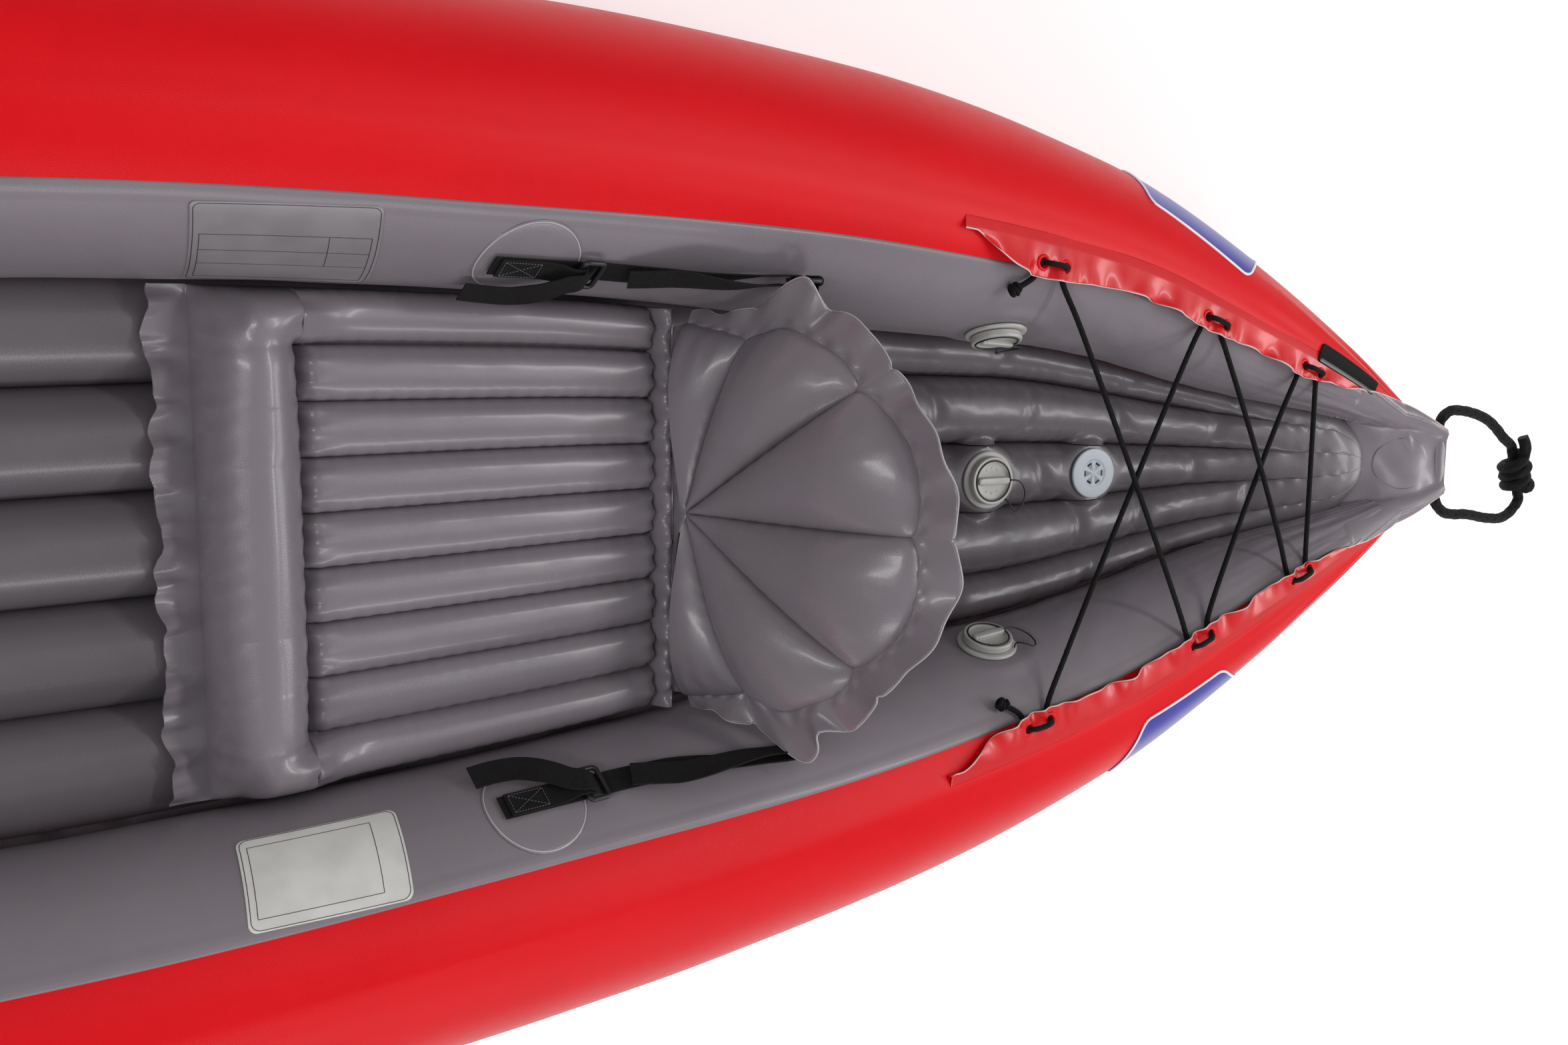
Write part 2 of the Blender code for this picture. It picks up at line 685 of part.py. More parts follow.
def make_end_piece(name, sign):
    """The grey fabric piece that joins the tube ends and holds the rope sleeve."""
    centre, height, radius = tube_at(TUBE_END)
    start = FLOOR_END + SEAT_GAP
    sleeve_radius = SLEEVE_BORE_RADIUS + SLEEVE_WALL
    sleeve_x = HALF_LENGTH - sleeve_radius
    sleeve_z = sleeve_height()
    first_width = tube_wall(start, tube_at(start)[1]) - PANEL_TOP - RUN_GAP * 2
    inner_width = tube_wall(TUBE_END, height) - RUN_GAP * 2
    middle_width = (first_width + inner_width) / 2 - PANEL_TOP
    floor_low, floor_seam, floor_crown = floor_levels(FLOOR_END)
    tips = [ring_point(1, TUBE_END, math.degrees(FACET * (k + 0.5))).x for k in range(TUBE_SIDE_COUNT)]
    step_x = max(tips) + SEAT_GAP
    tip_low = sleeve_z - sleeve_radius
    tip_high = sleeve_z + sleeve_radius
    rows = [
        (start, first_width, floor_low, floor_crown + END_WALL, floor_crown),
        ((start + TUBE_END) / 2, middle_width, (floor_low + height - radius) / 2,
         (floor_crown + height + radius * 0.8) / 2, height),
        (TUBE_END - RUN_GAP, inner_width, height - radius, height + radius * 0.8, height),
        (step_x, inner_width, height - radius * 1.1, height + radius * 0.8, height),
        (step_x + RUN_GAP, END_STEP_HALF_WIDTH, height - radius * 1.2, height + radius + END_WALL, height),
        ((step_x + sleeve_x) / 2, (END_STEP_HALF_WIDTH + END_HALF_WIDTH) / 2,
         (height - radius + tip_low) / 2, height + radius + END_TOP_RISE * 0.4, height + END_TOP_RISE * 0.4),
        (sleeve_x - sleeve_radius * 0.6, END_HALF_WIDTH, tip_low, tip_high, tip_high - END_WALL * 0.6),
        (sleeve_x, END_HALF_WIDTH, tip_low, tip_high, tip_high),
        (sleeve_x + sleeve_radius * 0.7, END_HALF_WIDTH, sleeve_z - sleeve_radius * 0.7,
         sleeve_z + sleeve_radius * 0.7, sleeve_z + sleeve_radius * 0.7),
        (HALF_LENGTH, END_HALF_WIDTH, sleeve_z - sleeve_radius * 0.25,
         sleeve_z + sleeve_radius * 0.25, sleeve_z + sleeve_radius * 0.25),
    ]
    rings = []
    for x, wide, low, rim, dish in rows:
        x *= sign
        tall = rim - low
        half = [(0, low), (wide * 0.6, low + tall * 0.04), (wide * 0.92, low + tall * 0.25),
                (wide, low + tall * 0.6), (wide, rim), (wide * 0.88, rim), (wide * 0.5, dish), (0, dish)]
        ring = [(x, y, z) for y, z in half] + [(x, -y, z) for y, z in reversed(half[1:-1])]
        rings.append(ring)
    made = loft(name, rings, "grey_fabric", smooth_deg=50.0)
    frame = frame_at((sign * sleeve_x, 0, sleeve_z), (0, 1, 0), (1, 0, 0))
    long = END_STEP_HALF_WIDTH + OVERRUN
    profile = [(0, long), (SLEEVE_BORE_RADIUS, long), (SLEEVE_BORE_RADIUS, -long), (0, -long)]
    boolean(made, turned("helper_bore_" + name, profile, "grey_fabric", frame, SMALL_SIDE_COUNT))
    return made


def sleeve_height():
    """Height of the rope sleeve's axis."""
    centre, height, radius = tube_at(TUBE_END)
    return height + radius + END_TOP_RISE * 0.2


# Edge flaps

def flap_point(side, x, reach, lift=0.0):
    """A point on a flap; a reach of zero is where it leaves the tube's top facet."""
    place, along, inward, up, radius = tube_frame(side, x)
    edge = tube_point(side, x, math.degrees(FACET / 2))
    outer = tube_point(side, x, -math.degrees(FACET / 2))
    share = max(0.0, reach) / FLAP_WIDTH
    level = (edge - outer).normalized()
    if reach > 0:
        level = Vector((inward.x, inward.y, 0)).normalized()
    return edge + level * reach + up * (RUN_GAP + lift) + Vector((0, 0, FLAP_RISE * share))


def flap_width(x):
    """Width of a flap's free part at a station, wavy between the lacing slots."""
    at = min(max((abs(x) - FLAP_START) / (FLAP_END - FLAP_START), 0.0), 1.0)
    width = FLAP_WIDTH + (FLAP_END_WIDTH - FLAP_WIDTH) * at
    ease = min(1.0, 4 * at + 0.25) * min(1.0, 4 * (1 - at) + 0.35)
    wave = 0.0
    for slot in LACING_SLOT_X:
        wave = max(wave, math.exp(-((abs(x) - slot) / (2 * LACING_HOLE_SPACING)) ** 2))
    return (width - FLAP_SCALLOP * (1 - wave)) * ease


def make_flap(name, side, sign):
    """The free red edge that runs over the inner panel at one end of a tube."""
    rings = []
    for k in range(FLAP_STEP_COUNT + 1):
        x = sign * (FLAP_START + (FLAP_END - FLAP_START) * k / FLAP_STEP_COUNT)
        wide = flap_width(x)
        lap = min(FLAP_LAP, tube_at(x)[2] * math.sin(FACET / 2) * 1.4)
        reaches = (-lap, 0.0, wide * 0.5, wide)
        under = [flap_point(side, x, r) for r in reaches]
        over = [flap_point(side, x, r, FLAP_THICKNESS) for r in reversed(reaches)]
        rings.append(under + over)
    return loft(name, rings, "red_fabric", smooth_deg=40.0)


def slot_frame(side, index):
    """Frame at the middle of a lacing slot, +Z up out of the flap and +X to the stern."""
    x = LACING_SLOT_X[index]
    inset = min(LACING_SLOT_INSET, flap_width(x) * 0.58)
    place = flap_point(side, x, inset, FLAP_THICKNESS / 2)
    place_aft = flap_point(side, x + LACING_HOLE_SPACING / 2, inset, FLAP_THICKNESS / 2)
    return frame_at(place, (0, 0, 1), place_aft - place)


def cut_lacing_holes(flap, side):
    """Cuts the two holes of each lacing slot."""
    for index in range(len(LACING_SLOT_X)):
        frame = slot_frame(side, index)
        for sign in (-1, 1):
            hole = frame @ Matrix.Translation((sign * LACING_HOLE_SPACING / 2, 0, 0))
            deep = FLAP_THICKNESS + OVERRUN
            profile = [(0, deep), (LACING_HOLE_RADIUS, deep), (LACING_HOLE_RADIUS, -deep), (0, -deep)]
            label = "helper_hole_%s_%d_%d" % (flap.name, index, sign + 1)
            boolean(flap, turned(label, profile, "red_fabric", hole, HOLE_SIDE_COUNT))


def slot_pass(side, index, first_sign):
    """Route points down-up-over-down through the two holes of one slot."""
    frame = slot_frame(side, index)
    half = LACING_HOLE_SPACING / 2
    arc = LACING_ARC_HEIGHT
    points = []
    inward = Vector((0, -side, 0))
    for share, lift in ((1.0, -0.36), (1.0, 0.0), (0.93, 0.45), (0.60, 0.92), (0.0, 1.0),
                        (-0.60, 0.92), (-0.93, 0.45), (-1.0, 0.0), (-1.0, -0.36)):
        place = frame @ Vector((first_sign * share * half, 0, lift * arc))
        points.append(place - inward * min(lift, 0.0) * arc * 0.5)
    return points


def lacing_route():
    """The elastic cord from its starboard knot through all slots to its port knot."""
    order = ((1, 0, -1), (-1, 1, -1), (1, 2, -1), (-1, 2, 1), (1, 1, 1), (-1, 0, 1))
    half = LACING_HOLE_SPACING / 2 + LACING_DIP * 0.2
    cross = LACING_RADIUS * 1.6
    levels = (1, -1, 0, 1, -1)
    route = []
    dense = []

    def under(side, index, first):
        frame = slot_frame(side, index)
        inward = Vector((0, -side, 0))
        return frame @ Vector((first * half, 0, -LACING_DIP * 0.55)) + inward * LACING_DIP * 1.0
    for k, (side, index, first) in enumerate(order):
        if k == 0:
            route += [knot_place(side), knot_run(side)]
            dense += [14.0, 14.0]
        route.append(under(side, index, first))
        dense.append(14.0)
        route += slot_pass(side, index, first)
        dense += [14.0] * 9
        route.append(under(side, index, -first))
        dense.append(14.0)
        if k < len(order) - 1:
            start = route[-1]
            end = under(*order[k + 1])
            for share in (0.05, 0.3, 0.5, 0.7, 0.95):
                bump = cross * levels[k] * (1.0 - abs(2 * share - 1)) ** 0.4
                route.append(start.lerp(end, share) + Vector((0, 0, bump)))
                dense.append(1.0)
    side = order[-1][0]
    route += [knot_run(side), knot_place(side)]
    dense += [14.0, 14.0]
    return smooth_route(route, LACING_POINT_COUNT, dense)


def knot_place(side):
    """End of the cord where its stopper knot sits under the flap, ahead of the first slot."""
    return knot_run(side) + Vector((-LACING_DIP * 0.9, -side * LACING_DIP * 0.5, -LACING_DIP * 0.2))


def knot_run(side):
    """The cord's turn towards its stopper knot."""
    frame = slot_frame(side, 0)
    half = LACING_HOLE_SPACING / 2
    inward = Vector((0, -side, 0))
    return frame @ Vector((-half - LACING_DIP * 0.7, 0, -LACING_DIP * 0.8)) + inward * LACING_DIP * 1.6


def make_lacing():
    """The elastic cord and its two stopper knots."""
    route = lacing_route()
    add_tube("stern_lacing", route, LACING_RADIUS, "cord")
    for name, end, before in (("starboard_lacing_knot", route[0], route[1]),
                              ("port_lacing_knot", route[-1], route[-2])):
        out = (Vector(end) - Vector(before)).normalized()
        frame = frame_at(Vector(end) + out * (SEAT_GAP + KNOT_RADIUS), out, (0, 0, 1))
        profile = [(0, -KNOT_RADIUS), (KNOT_RADIUS * 0.8, -KNOT_RADIUS * 0.9), (KNOT_RADIUS, -KNOT_RADIUS * 0.2),
                   (KNOT_RADIUS * 0.8, 0), (KNOT_RADIUS, KNOT_RADIUS * 0.25),
                   (KNOT_RADIUS * 0.75, KNOT_RADIUS * 0.9), (0, KNOT_RADIUS)]
        turned(name, profile, "cord", frame, SMALL_SIDE_COUNT)


# Grab rope

def rope_knot_axis():
    """Direction of the rope where it enters its knot, from port to starboard."""
    return Vector((-0.35, 1.0, 0.0)).normalized()


def rope_route():
    """The rope's loop: through the sleeve, round and back to its knot."""
    reach = ROPE_REACH
    x0 = HALF_LENGTH - SLEEVE_BORE_RADIUS - SLEEVE_WALL
    z0 = sleeve_height()
    wide = ROPE_HALF_WIDTH
    knot = rope_knot_place()
    axis = rope_knot_axis()
    turn = ROPE_RADIUS * 3.4
    exit_side = END_HALF_WIDTH + ROPE_RADIUS * 2.6
    places = [(reach * 0.80, wide * 0.30), (reach * 0.58, wide * 0.76), (reach * 0.34, wide * 1.02),
              (turn * 1.25, wide * 1.10), (turn * 0.25, exit_side), (0, END_HALF_WIDTH), (0, END_HALF_WIDTH * 0.75),
              (0, 0), (0, -END_HALF_WIDTH * 0.75), (0, -END_HALF_WIDTH), (turn * 0.25, -exit_side),
              (turn * 1.25, -wide * 1.22),
              (reach * 0.38, -wide * 1.34), (reach * 0.64, -wide * 1.52), (reach * 0.90, -wide * 1.56)]
    route = []
    for x, y in places:
        fall = ROPE_DROOP * (max(0.0, x) / reach) ** 2
        route.append(Vector((x0 + x, y, z0 - fall)))
    near = ROPE_KNOT_LENGTH / 2
    far = near + ROPE_RADIUS * 2.4
    mid = (near + far) / 2
    route = [knot + axis * near, knot + axis * mid, knot + axis * far] + route
    route += [knot - axis * far, knot - axis * mid, knot - axis * near]
    dense = [4.0, 4.0, 3.0] + [1.0] * (len(route) - 6) + [3.0, 4.0, 4.0]
    return smooth_route(route, ROPE_POINT_COUNT, dense)


def rope_knot_place():
    """Middle of the rope's knot at the far end of its loop."""
    sleeve_radius = SLEEVE_BORE_RADIUS + SLEEVE_WALL
    x = HALF_LENGTH - sleeve_radius + ROPE_REACH
    return Vector((x, -ROPE_HALF_WIDTH * 0.56, sleeve_height() - ROPE_DROOP))


def make_rope():
    """The grab rope through the stern sleeve and its knot."""
    route = rope_route()
    rope = add_tube("grab_rope", route, ROPE_RADIUS, "cord")
    pivot = Vector((HALF_LENGTH - SLEEVE_BORE_RADIUS - SLEEVE_WALL, 0, sleeve_height()))
    for point in rope.data.splines[0].points:
        point.co = (*(Vector(point.co[:3]) - pivot), 1.0)
    rope.location = pivot
    knot = rope_knot_place()
    frame = frame_at(knot, rope_knot_axis(), (0, 0, 1))
    length = ROPE_KNOT_LENGTH / 2 - RUN_GAP
    profile = [(0, -length), (ROPE_KNOT_RADIUS * 0.62, -length)]
    for rib in range(ROPE_KNOT_RIB_COUNT):
        low = length * (-0.86 + 1.72 * rib / ROPE_KNOT_RIB_COUNT)
        high = length * (-0.86 + 1.72 * (rib + 1) / ROPE_KNOT_RIB_COUNT)
        profile.append((ROPE_KNOT_RADIUS * 0.84, low))
        profile.append((ROPE_KNOT_RADIUS, (low + high) / 2))
    profile += [(ROPE_KNOT_RADIUS * 0.84, length * 0.86), (ROPE_KNOT_RADIUS * 0.62, length), (0, length)]
    turned("grab_rope_knot", profile, "cord", frame, SMALL_SIDE_COUNT)


# Seat

def seat_half_width(x):
    """Half width of the seat, close against the inner panels."""
    centre, height, radius = tube_at(x)
    return centre - radius - PANEL_TOP - SEAT_SIDE_GAP


def seat_base():
    """Height of the seat's underside, on the crowns of the floor."""
    return floor_top_point(SEAT_REAR)[0].z + SEAT_GAP


def seat_thickness(x, share):
    """Thickness of the seat at a station and at a share of its half width."""
    bolster_start = SEAT_FRONT + SEAT_FLANGE
    bolster_end = bolster_start + SEAT_BOLSTER
    if x <= bolster_start:
        return SEAT_FLANGE_THICKNESS
    lane = (share + 1) / 2 * SEAT_CHANNEL_COUNT
    u = 2 * (lane - math.floor(min(lane, SEAT_CHANNEL_COUNT - 1e-6))) - 1
    u = max(-1.0, min(1.0, u))
    side_lane = lane < 1 or lane > SEAT_CHANNEL_COUNT - 1
    front = bolster_start if side_lane else bolster_end
    swell = math.sqrt(max(0.0, 1 - u * u))
    ends = 1.0
    for gap in (x - front, SEAT_REAR - x):
        t = min(max(gap / SEAT_END_ROUND, 0.0), 1.0)
        ends *= math.sqrt(max(0.0, 1 - (1 - t) ** 2))
    channel = SEAT_SEAM_THICKNESS * (0.4 + 0.6 * ends)
    channel += (SEAT_CHANNEL_HEIGHT - SEAT_SEAM_THICKNESS) * swell * ends
    if x >= bolster_end:
        return channel
    v = 2 * (x - bolster_start) / SEAT_BOLSTER - 1
    rim = min(1.0, (1 - abs(share)) * 3.2)
    roll = (SEAT_BOLSTER_HEIGHT - SEAT_FLANGE_THICKNESS) * math.sqrt(max(0.0, 1 - v * v))
    roll = SEAT_FLANGE_THICKNESS + roll * math.sqrt(max(0.0, 1 - (1 - rim) ** 2))
    if v > 0.9 and not side_lane:
        roll = max(roll, SEAT_SEAM_THICKNESS * 0.6)
    return max(roll, channel if side_lane else 0.0)


def make_seat():
    """The seat pad: a front roll, side channels and lengthwise channels between them."""
    start = SEAT_FRONT + SEAT_FLANGE
    end = start + SEAT_BOLSTER
    rows = [SEAT_FRONT, SEAT_FRONT + SEAT_FLANGE / 2]
    rows += [start + SEAT_BOLSTER * share for share in SEAT_ROLL_ROW_SHARES]
    rows += [end + SEAT_END_ROUND * t for t in (0.3, 1.0)]
    rows += [(end + SEAT_REAR) / 2, SEAT_REAR - SEAT_END_ROUND, SEAT_REAR - SEAT_END_ROUND * 0.3, SEAT_REAR]
    per_lane = 4
    columns = [-1 + 2 * k / (SEAT_CHANNEL_COUNT * per_lane) for k in range(SEAT_CHANNEL_COUNT * per_lane + 1)]
    base = seat_base()
    count = len(columns)
    points = []
    for x in rows:
        wide = seat_half_width(x)
        for share in columns:
            points.append((x, wide * share, base + seat_thickness(x, share)))
    faces = []
    for i in range(len(rows) - 1):
        for j in range(count - 1):
            a = i * count + j
            faces.append((a, a + 1, a + count + 1, a + count))
    border = [j for j in range(count)]
    border += [i * count + count - 1 for i in range(1, len(rows))]
    border += [(len(rows) - 1) * count + j for j in reversed(range(count - 1))]
    border += [i * count for i in reversed(range(1, len(rows) - 1))]
    low = len(points)
    points += [(points[k][0], points[k][1], base) for k in border]
    for i in range(len(border)):
        j = (i + 1) % len(border)
        faces.append((border[i], low + i, low + j, border[j]))
    faces.append(tuple(low + i for i in range(len(border))))
    return add_mesh("seat_pad", points, faces, "grey_fabric", smooth_deg=50.0)


# Backrest, in a frame with across along +Y, up along the recline and out to the rear

def hinge_place():
    """The fold line between the seat and the backrest."""
    return Vector((SEAT_REAR + SEAT_GAP + HINGE_STRIP_WIDTH, 0, seat_base() + HINGE_LIFT))


def backrest_point(across, up, out):
    """World place of a point given in the backrest's own directions."""
    lean = math.radians(BACKREST_RECLINE_DEG)
    along = Vector((math.cos(lean), 0, math.sin(lean)))
    rear = Vector((math.sin(lean), 0, -math.cos(lean)))
    return hinge_place() + Vector((0, across, 0)) + along * (up + BACKREST_FOOT) + rear * out


def backrest_radius(angle_deg, shares):
    """Distance from the hub to the outline in a direction."""
    mirrored = min(angle_deg, 180.0 - angle_deg)
    reach = seat_half_width(hinge_place().x) * BACKREST_RADIUS_SHARE
    return reach * float(np.interp(mirrored, BACKREST_ANGLES_DEG, shares))


def backrest_half_thickness(rho, angle_deg):
    """Half thickness of the fan at a share of the outline radius."""
    lobe = 1.0
    for low, high in zip(BACKREST_SEAM_DEG, BACKREST_SEAM_DEG[1:]):
        if low <= angle_deg <= high:
            u = 2 * (angle_deg - low) / (high - low) - 1
            lobe = math.sqrt(max(0.0, 1 - u * u))
    swell = math.sin(math.pi * min(1.0, 0.12 + 0.88 * rho) ** 1.25) ** 0.7 if rho < 1 else 0.0
    depth = BACKREST_SEAM_DEPTH_SHARE + (1 - BACKREST_SEAM_DEPTH_SHARE) * lobe
    edge = BACKREST_EDGE_THICKNESS / 2
    return edge + (BACKREST_THICKNESS / 2 - edge) * swell * depth


def backrest_grid(steps_round=30, steps_out=6):
    """Angles and radius shares of the fan's surface grid."""
    angles = sorted(set([180.0 * k / steps_round for k in range(steps_round + 1)] + list(BACKREST_SEAM_DEG)))
    keep = [angles[0]]
    for a in angles[1:]:
        if a - keep[-1] > 2.4:
            keep.append(a)
        elif a in BACKREST_SEAM_DEG:
            keep[-1] = a
    return keep, [k / steps_out for k in range(1, steps_out + 1)]


def make_backrest():
    """The fan-shaped inflated backrest with its radial seams."""
    angles, rhos = backrest_grid()
    points = []
    sheets = []
    for face in (-1, 1):
        hub = len(points)
        points.append(backrest_point(0, BACKREST_HUB_HEIGHT, face * backrest_half_thickness(0.0, 90.0)))
        rows = []
        for angle in angles:
            radius = backrest_radius(angle, BACKREST_CORE_SHARES)
            row = []
            for rho in rhos:
                across = rho * radius * math.cos(math.radians(angle))
                up = BACKREST_HUB_HEIGHT + rho * radius * math.sin(math.radians(angle))
                row.append(len(points))
                points.append(backrest_point(across, up, face * backrest_half_thickness(rho, angle)))
            rows.append(row)
        foot = [len(points)]
        half = backrest_radius(0.0, BACKREST_CORE_SHARES)
        edge = BACKREST_EDGE_THICKNESS / 2
        points.append(backrest_point(half * 0.97, 0, face * edge))
        foot.append(len(points))
        points.append(backrest_point(-half * 0.97, 0, face * edge))
        sheets.append((hub, rows, foot))
    faces = []
    for hub, rows, foot in sheets:
        for a, b in zip(rows, rows[1:]):
            faces.append((hub, a[0], b[0]))
            for i in range(len(rhos) - 1):
                faces.append((a[i], a[i + 1], b[i + 1], b[i]))
        faces.append((hub, *rows[0], foot[0]))
        faces.append((hub, foot[1], *reversed(rows[-1])))
        faces.append((hub, foot[0], foot[1]))
    front, rear = sheets
    front_rim = [row[-1] for row in front[1]]
    rear_rim = [row[-1] for row in rear[1]]
    front_rim = [front[2][0]] + front_rim + [front[2][1]]
    rear_rim = [rear[2][0]] + rear_rim + [rear[2][1]]
    for i in range(len(front_rim)):
        j = (i + 1) % len(front_rim)
        faces.append((front_rim[i], front_rim[j], rear_rim[j], rear_rim[i]))
    made = add_mesh("backrest", points, faces, "grey_fabric", smooth_deg=60.0)
    set_origin(made, hinge_place())
    return made


def set_origin(made, place):
    """Moves an object's origin without moving its mesh."""
    made.data.transform(Matrix.Translation(Vector(made.location) - Vector(place)))
    made.location = place


def make_backrest_flange():
    """The thin ruffled edge welded round the backrest."""
    angles, unused = backrest_grid()
    rings = []
    for angle in angles:
        inner = backrest_radius(angle, BACKREST_CORE_SHARES) + RUN_GAP
        outer = max(backrest_radius(angle, BACKREST_FLANGE_SHARES), inner + BACKREST_EDGE_THICKNESS)
        wave = BACKREST_RUFFLE * math.sin(math.radians(angle * 8.0 + 40.0))
        ring = []
        for face in (-1, 1):
            pairs = ((inner, 0.0), ((inner + outer) / 2, 0.45), (outer, 1.0))
            if face > 0:
                pairs = tuple(reversed(pairs))
            for radius, share in pairs:
                across = radius * math.cos(math.radians(angle))
                up = BACKREST_HUB_HEIGHT + radius * math.sin(math.radians(angle))
                out = wave * share + face * BACKREST_FLANGE_THICKNESS / 2
                ring.append(backrest_point(across, up, out))
        rings.append(ring)
    made = loft("backrest_flange", rings, "grey_fabric", smooth_deg=50.0)
    set_origin(made, hinge_place())
    return made


def make_hinge_strip():
    """The welded strip that the backrest folds on, along the seat's rear edge."""
    place = hinge_place()
    front = SEAT_REAR + SEAT_GAP
    half = seat_half_width(place.x)
    base = seat_base()
    low = base + SEAT_SEAM_THICKNESS * 0.2
    rear = place.x - SEAT_GAP
    top = place.z + HINGE_STRIP_THICKNESS / 2
    under = place.z - HINGE_STRIP_THICKNESS / 2
    thick = HINGE_STRIP_THICKNESS
    outline = [(front, low), (front + thick, low), (front + thick * 1.6, under), (rear, under),
               (rear, top), (front + thick * 0.4, top), (front, top - thick)]
    rings = [[(x, y, z) for x, z in outline] for y in (-half, -half / 3, half / 3, half)]
    return loft("backrest_hinge_strip", rings, "grey_fabric", smooth_deg=30.0)


def make_seat_valve(backrest):
    """The small push-in valve on the backrest's rear face and its plug."""
    across, up = SEAT_VALVE_ACROSS, SEAT_VALVE_UP
    angle = math.degrees(math.atan2(up - BACKREST_HUB_HEIGHT, across))
    away = math.hypot(up - BACKREST_HUB_HEIGHT, across)
    deep = backrest_half_thickness(away / backrest_radius(angle, BACKREST_CORE_SHARES), angle)
    lean = math.radians(BACKREST_RECLINE_DEG)
    rear = Vector((math.sin(lean), 0, -math.cos(lean)))
    seat = SEAT_VALVE_THICKNESS * 0.6
    frame = frame_at(backrest_point(across, up, deep - seat), rear, (0, 0, 1))
    spot = SEAT_VALVE_RADIUS + RUN_GAP
    neck = SEAT_VALVE_NECK_RADIUS + RUN_GAP
    bottom = SEAT_VALVE_NECK_DEPTH + SEAT_PLUG_HEAD_THICKNESS
    high = SEAT_VALVE_THICKNESS + OVERRUN * 2
    profile = [(0, high), (spot, high), (spot, 0), (neck, 0), (neck, -bottom), (0, -bottom)]
    boolean(backrest, turned("helper_seat_valve_seat", profile, "grey_fabric", frame))
    bore = SEAT_VALVE_BORE_RADIUS
    top = SEAT_GAP + SEAT_VALVE_THICKNESS
    depth = SEAT_VALVE_NECK_DEPTH
    body = [(bore, top), (SEAT_VALVE_RADIUS, SEAT_GAP + SEAT_VALVE_THICKNESS * 0.6), (SEAT_VALVE_RADIUS, SEAT_GAP),
            (SEAT_VALVE_NECK_RADIUS, SEAT_GAP), (SEAT_VALVE_NECK_RADIUS, -depth),
            (bore - SEAT_PLUG_TAPER, -depth)]
    turned("seat_valve", body, "valve_plastic", frame)
    head = top + SEAT_GAP
    plug_radius = bore - RUN_GAP
    tip = plug_radius - SEAT_PLUG_TAPER
    low = head - depth
    high = head + SEAT_PLUG_HEAD_THICKNESS
    plug = [(0, high), (SEAT_PLUG_HEAD_RADIUS * 0.9, high), (SEAT_PLUG_HEAD_RADIUS, head + (high - head) / 2),
            (SEAT_PLUG_HEAD_RADIUS, head), (plug_radius, head), (tip, low), (0, low)]
    turned("seat_valve_plug", plug, "valve_plastic", frame, SMALL_SIDE_COUNT)


# Seat straps

def strap_facet(side):
    """Frame on the tube facet that carries a strap patch."""
    return facet_frame(side, PATCH_X, STRAP_FACET_DEG)


def bar_lift():
    """Height of a ring's bars above the tube facet."""
    return PANEL_TOP + RUN_GAP * 2 + PATCH_THICKNESS + WEBBING_THICKNESS + LOOP_GAP + RING_BAR_RADIUS


def make_patch(name, side):
    """The round reinforcement patch, cut from a skin that follows the panel."""
    low = PANEL_TOP + SEAT_GAP
    angles = panel_angles()[:4]
    half = PATCH_RADIUS + OVERRUN
    stations = (PATCH_X - half, PATCH_X, PATCH_X + half)
    made = shell(name, side, stations, angles, low, low + PATCH_THICKNESS, "grey_fabric")
    frame = strap_facet(side)
    profile = [(0, half), (PATCH_RADIUS, half), (PATCH_RADIUS, -half), (0, -half)]
    boolean(made, turned("helper_round_" + name, profile, "grey_fabric", frame, 2 * SMALL_SIDE_COUNT), "INTERSECT")
    return made


def half_turn(centre, along, out, radius, steps=6):
    """Points of a half circle from the underside of a bar to its upper side."""
    points = []
    for k in range(steps + 1):
        angle = -math.pi / 2 + math.pi * k / steps
        points.append(centre + along * (radius * math.cos(angle)) + out * (radius * math.sin(angle)))
    return points


def ring_piece(name, centre, along, across, width):
    """A rectangular ring with rounded corners; its first bar lies on its origin."""
    along = along.normalized()
    across = (across - along * across.dot(along)).normalized()
    out = along.cross(across)
    bar = RING_BAR_RADIUS
    half = width / 2 + RING_SIDE_GAP + bar
    deep = RING_WINDOW + 2 * bar
    corner = bar * 1.6
    outline = []
    for cx, cy, start in ((deep - corner, half - corner, 0), (corner, half - corner, 90),
                          (corner, corner - half, 180), (deep - corner, corner - half, 270)):
        for k in range(3):
            angle = math.radians(start + 45 * k)
            outline.append(along * (cx + corner * math.cos(angle)) + across * (cy + corner * math.sin(angle)))
    count = len(outline)
    sides = 5
    points = []
    faces = []
    for i, place in enumerate(outline):
        tangent = (outline[(i + 1) % count] - outline[i - 1]).normalized()
        side = tangent.cross(out)
        for j in range(sides):
            angle = 2 * math.pi * (j + 0.5) / sides
            points.append(place + side * (bar * math.cos(angle)) + out * (bar * math.sin(angle)))
    for i in range(count):
        for j in range(sides):
            a, b = i * sides + j, i * sides + (j + 1) % sides
            c, d = ((i + 1) % count) * sides + (j + 1) % sides, ((i + 1) % count) * sides + j
            faces.append((a, b, c, d))
    made = add_mesh(name, points, faces, "black_plastic")
    made.location = centre
    return made


def strap_ends(side):
    """Front bar and back bar of a strap, with the directions at each."""
    frame = strap_facet(side)
    along = frame.col[0].to_3d()
    out = frame.col[2].to_3d()
    across = frame.col[1].to_3d()
    lift = bar_lift()
    front = frame.translation + along * (FRONT_RING_X - PATCH_X) + out * lift
    rear_bar = front + along * (RING_WINDOW + 2 * RING_BAR_RADIUS)
    hinge = hinge_place()
    back_x = hinge.x + BACK_RING_BEHIND
    back_z = hinge.z + BACK_RING_HEIGHT
    back = Vector((back_x, side * (tube_wall(back_x, back_z) - BACK_RING_WALL_GAP), back_z))
    return front, rear_bar, back, along, across, out


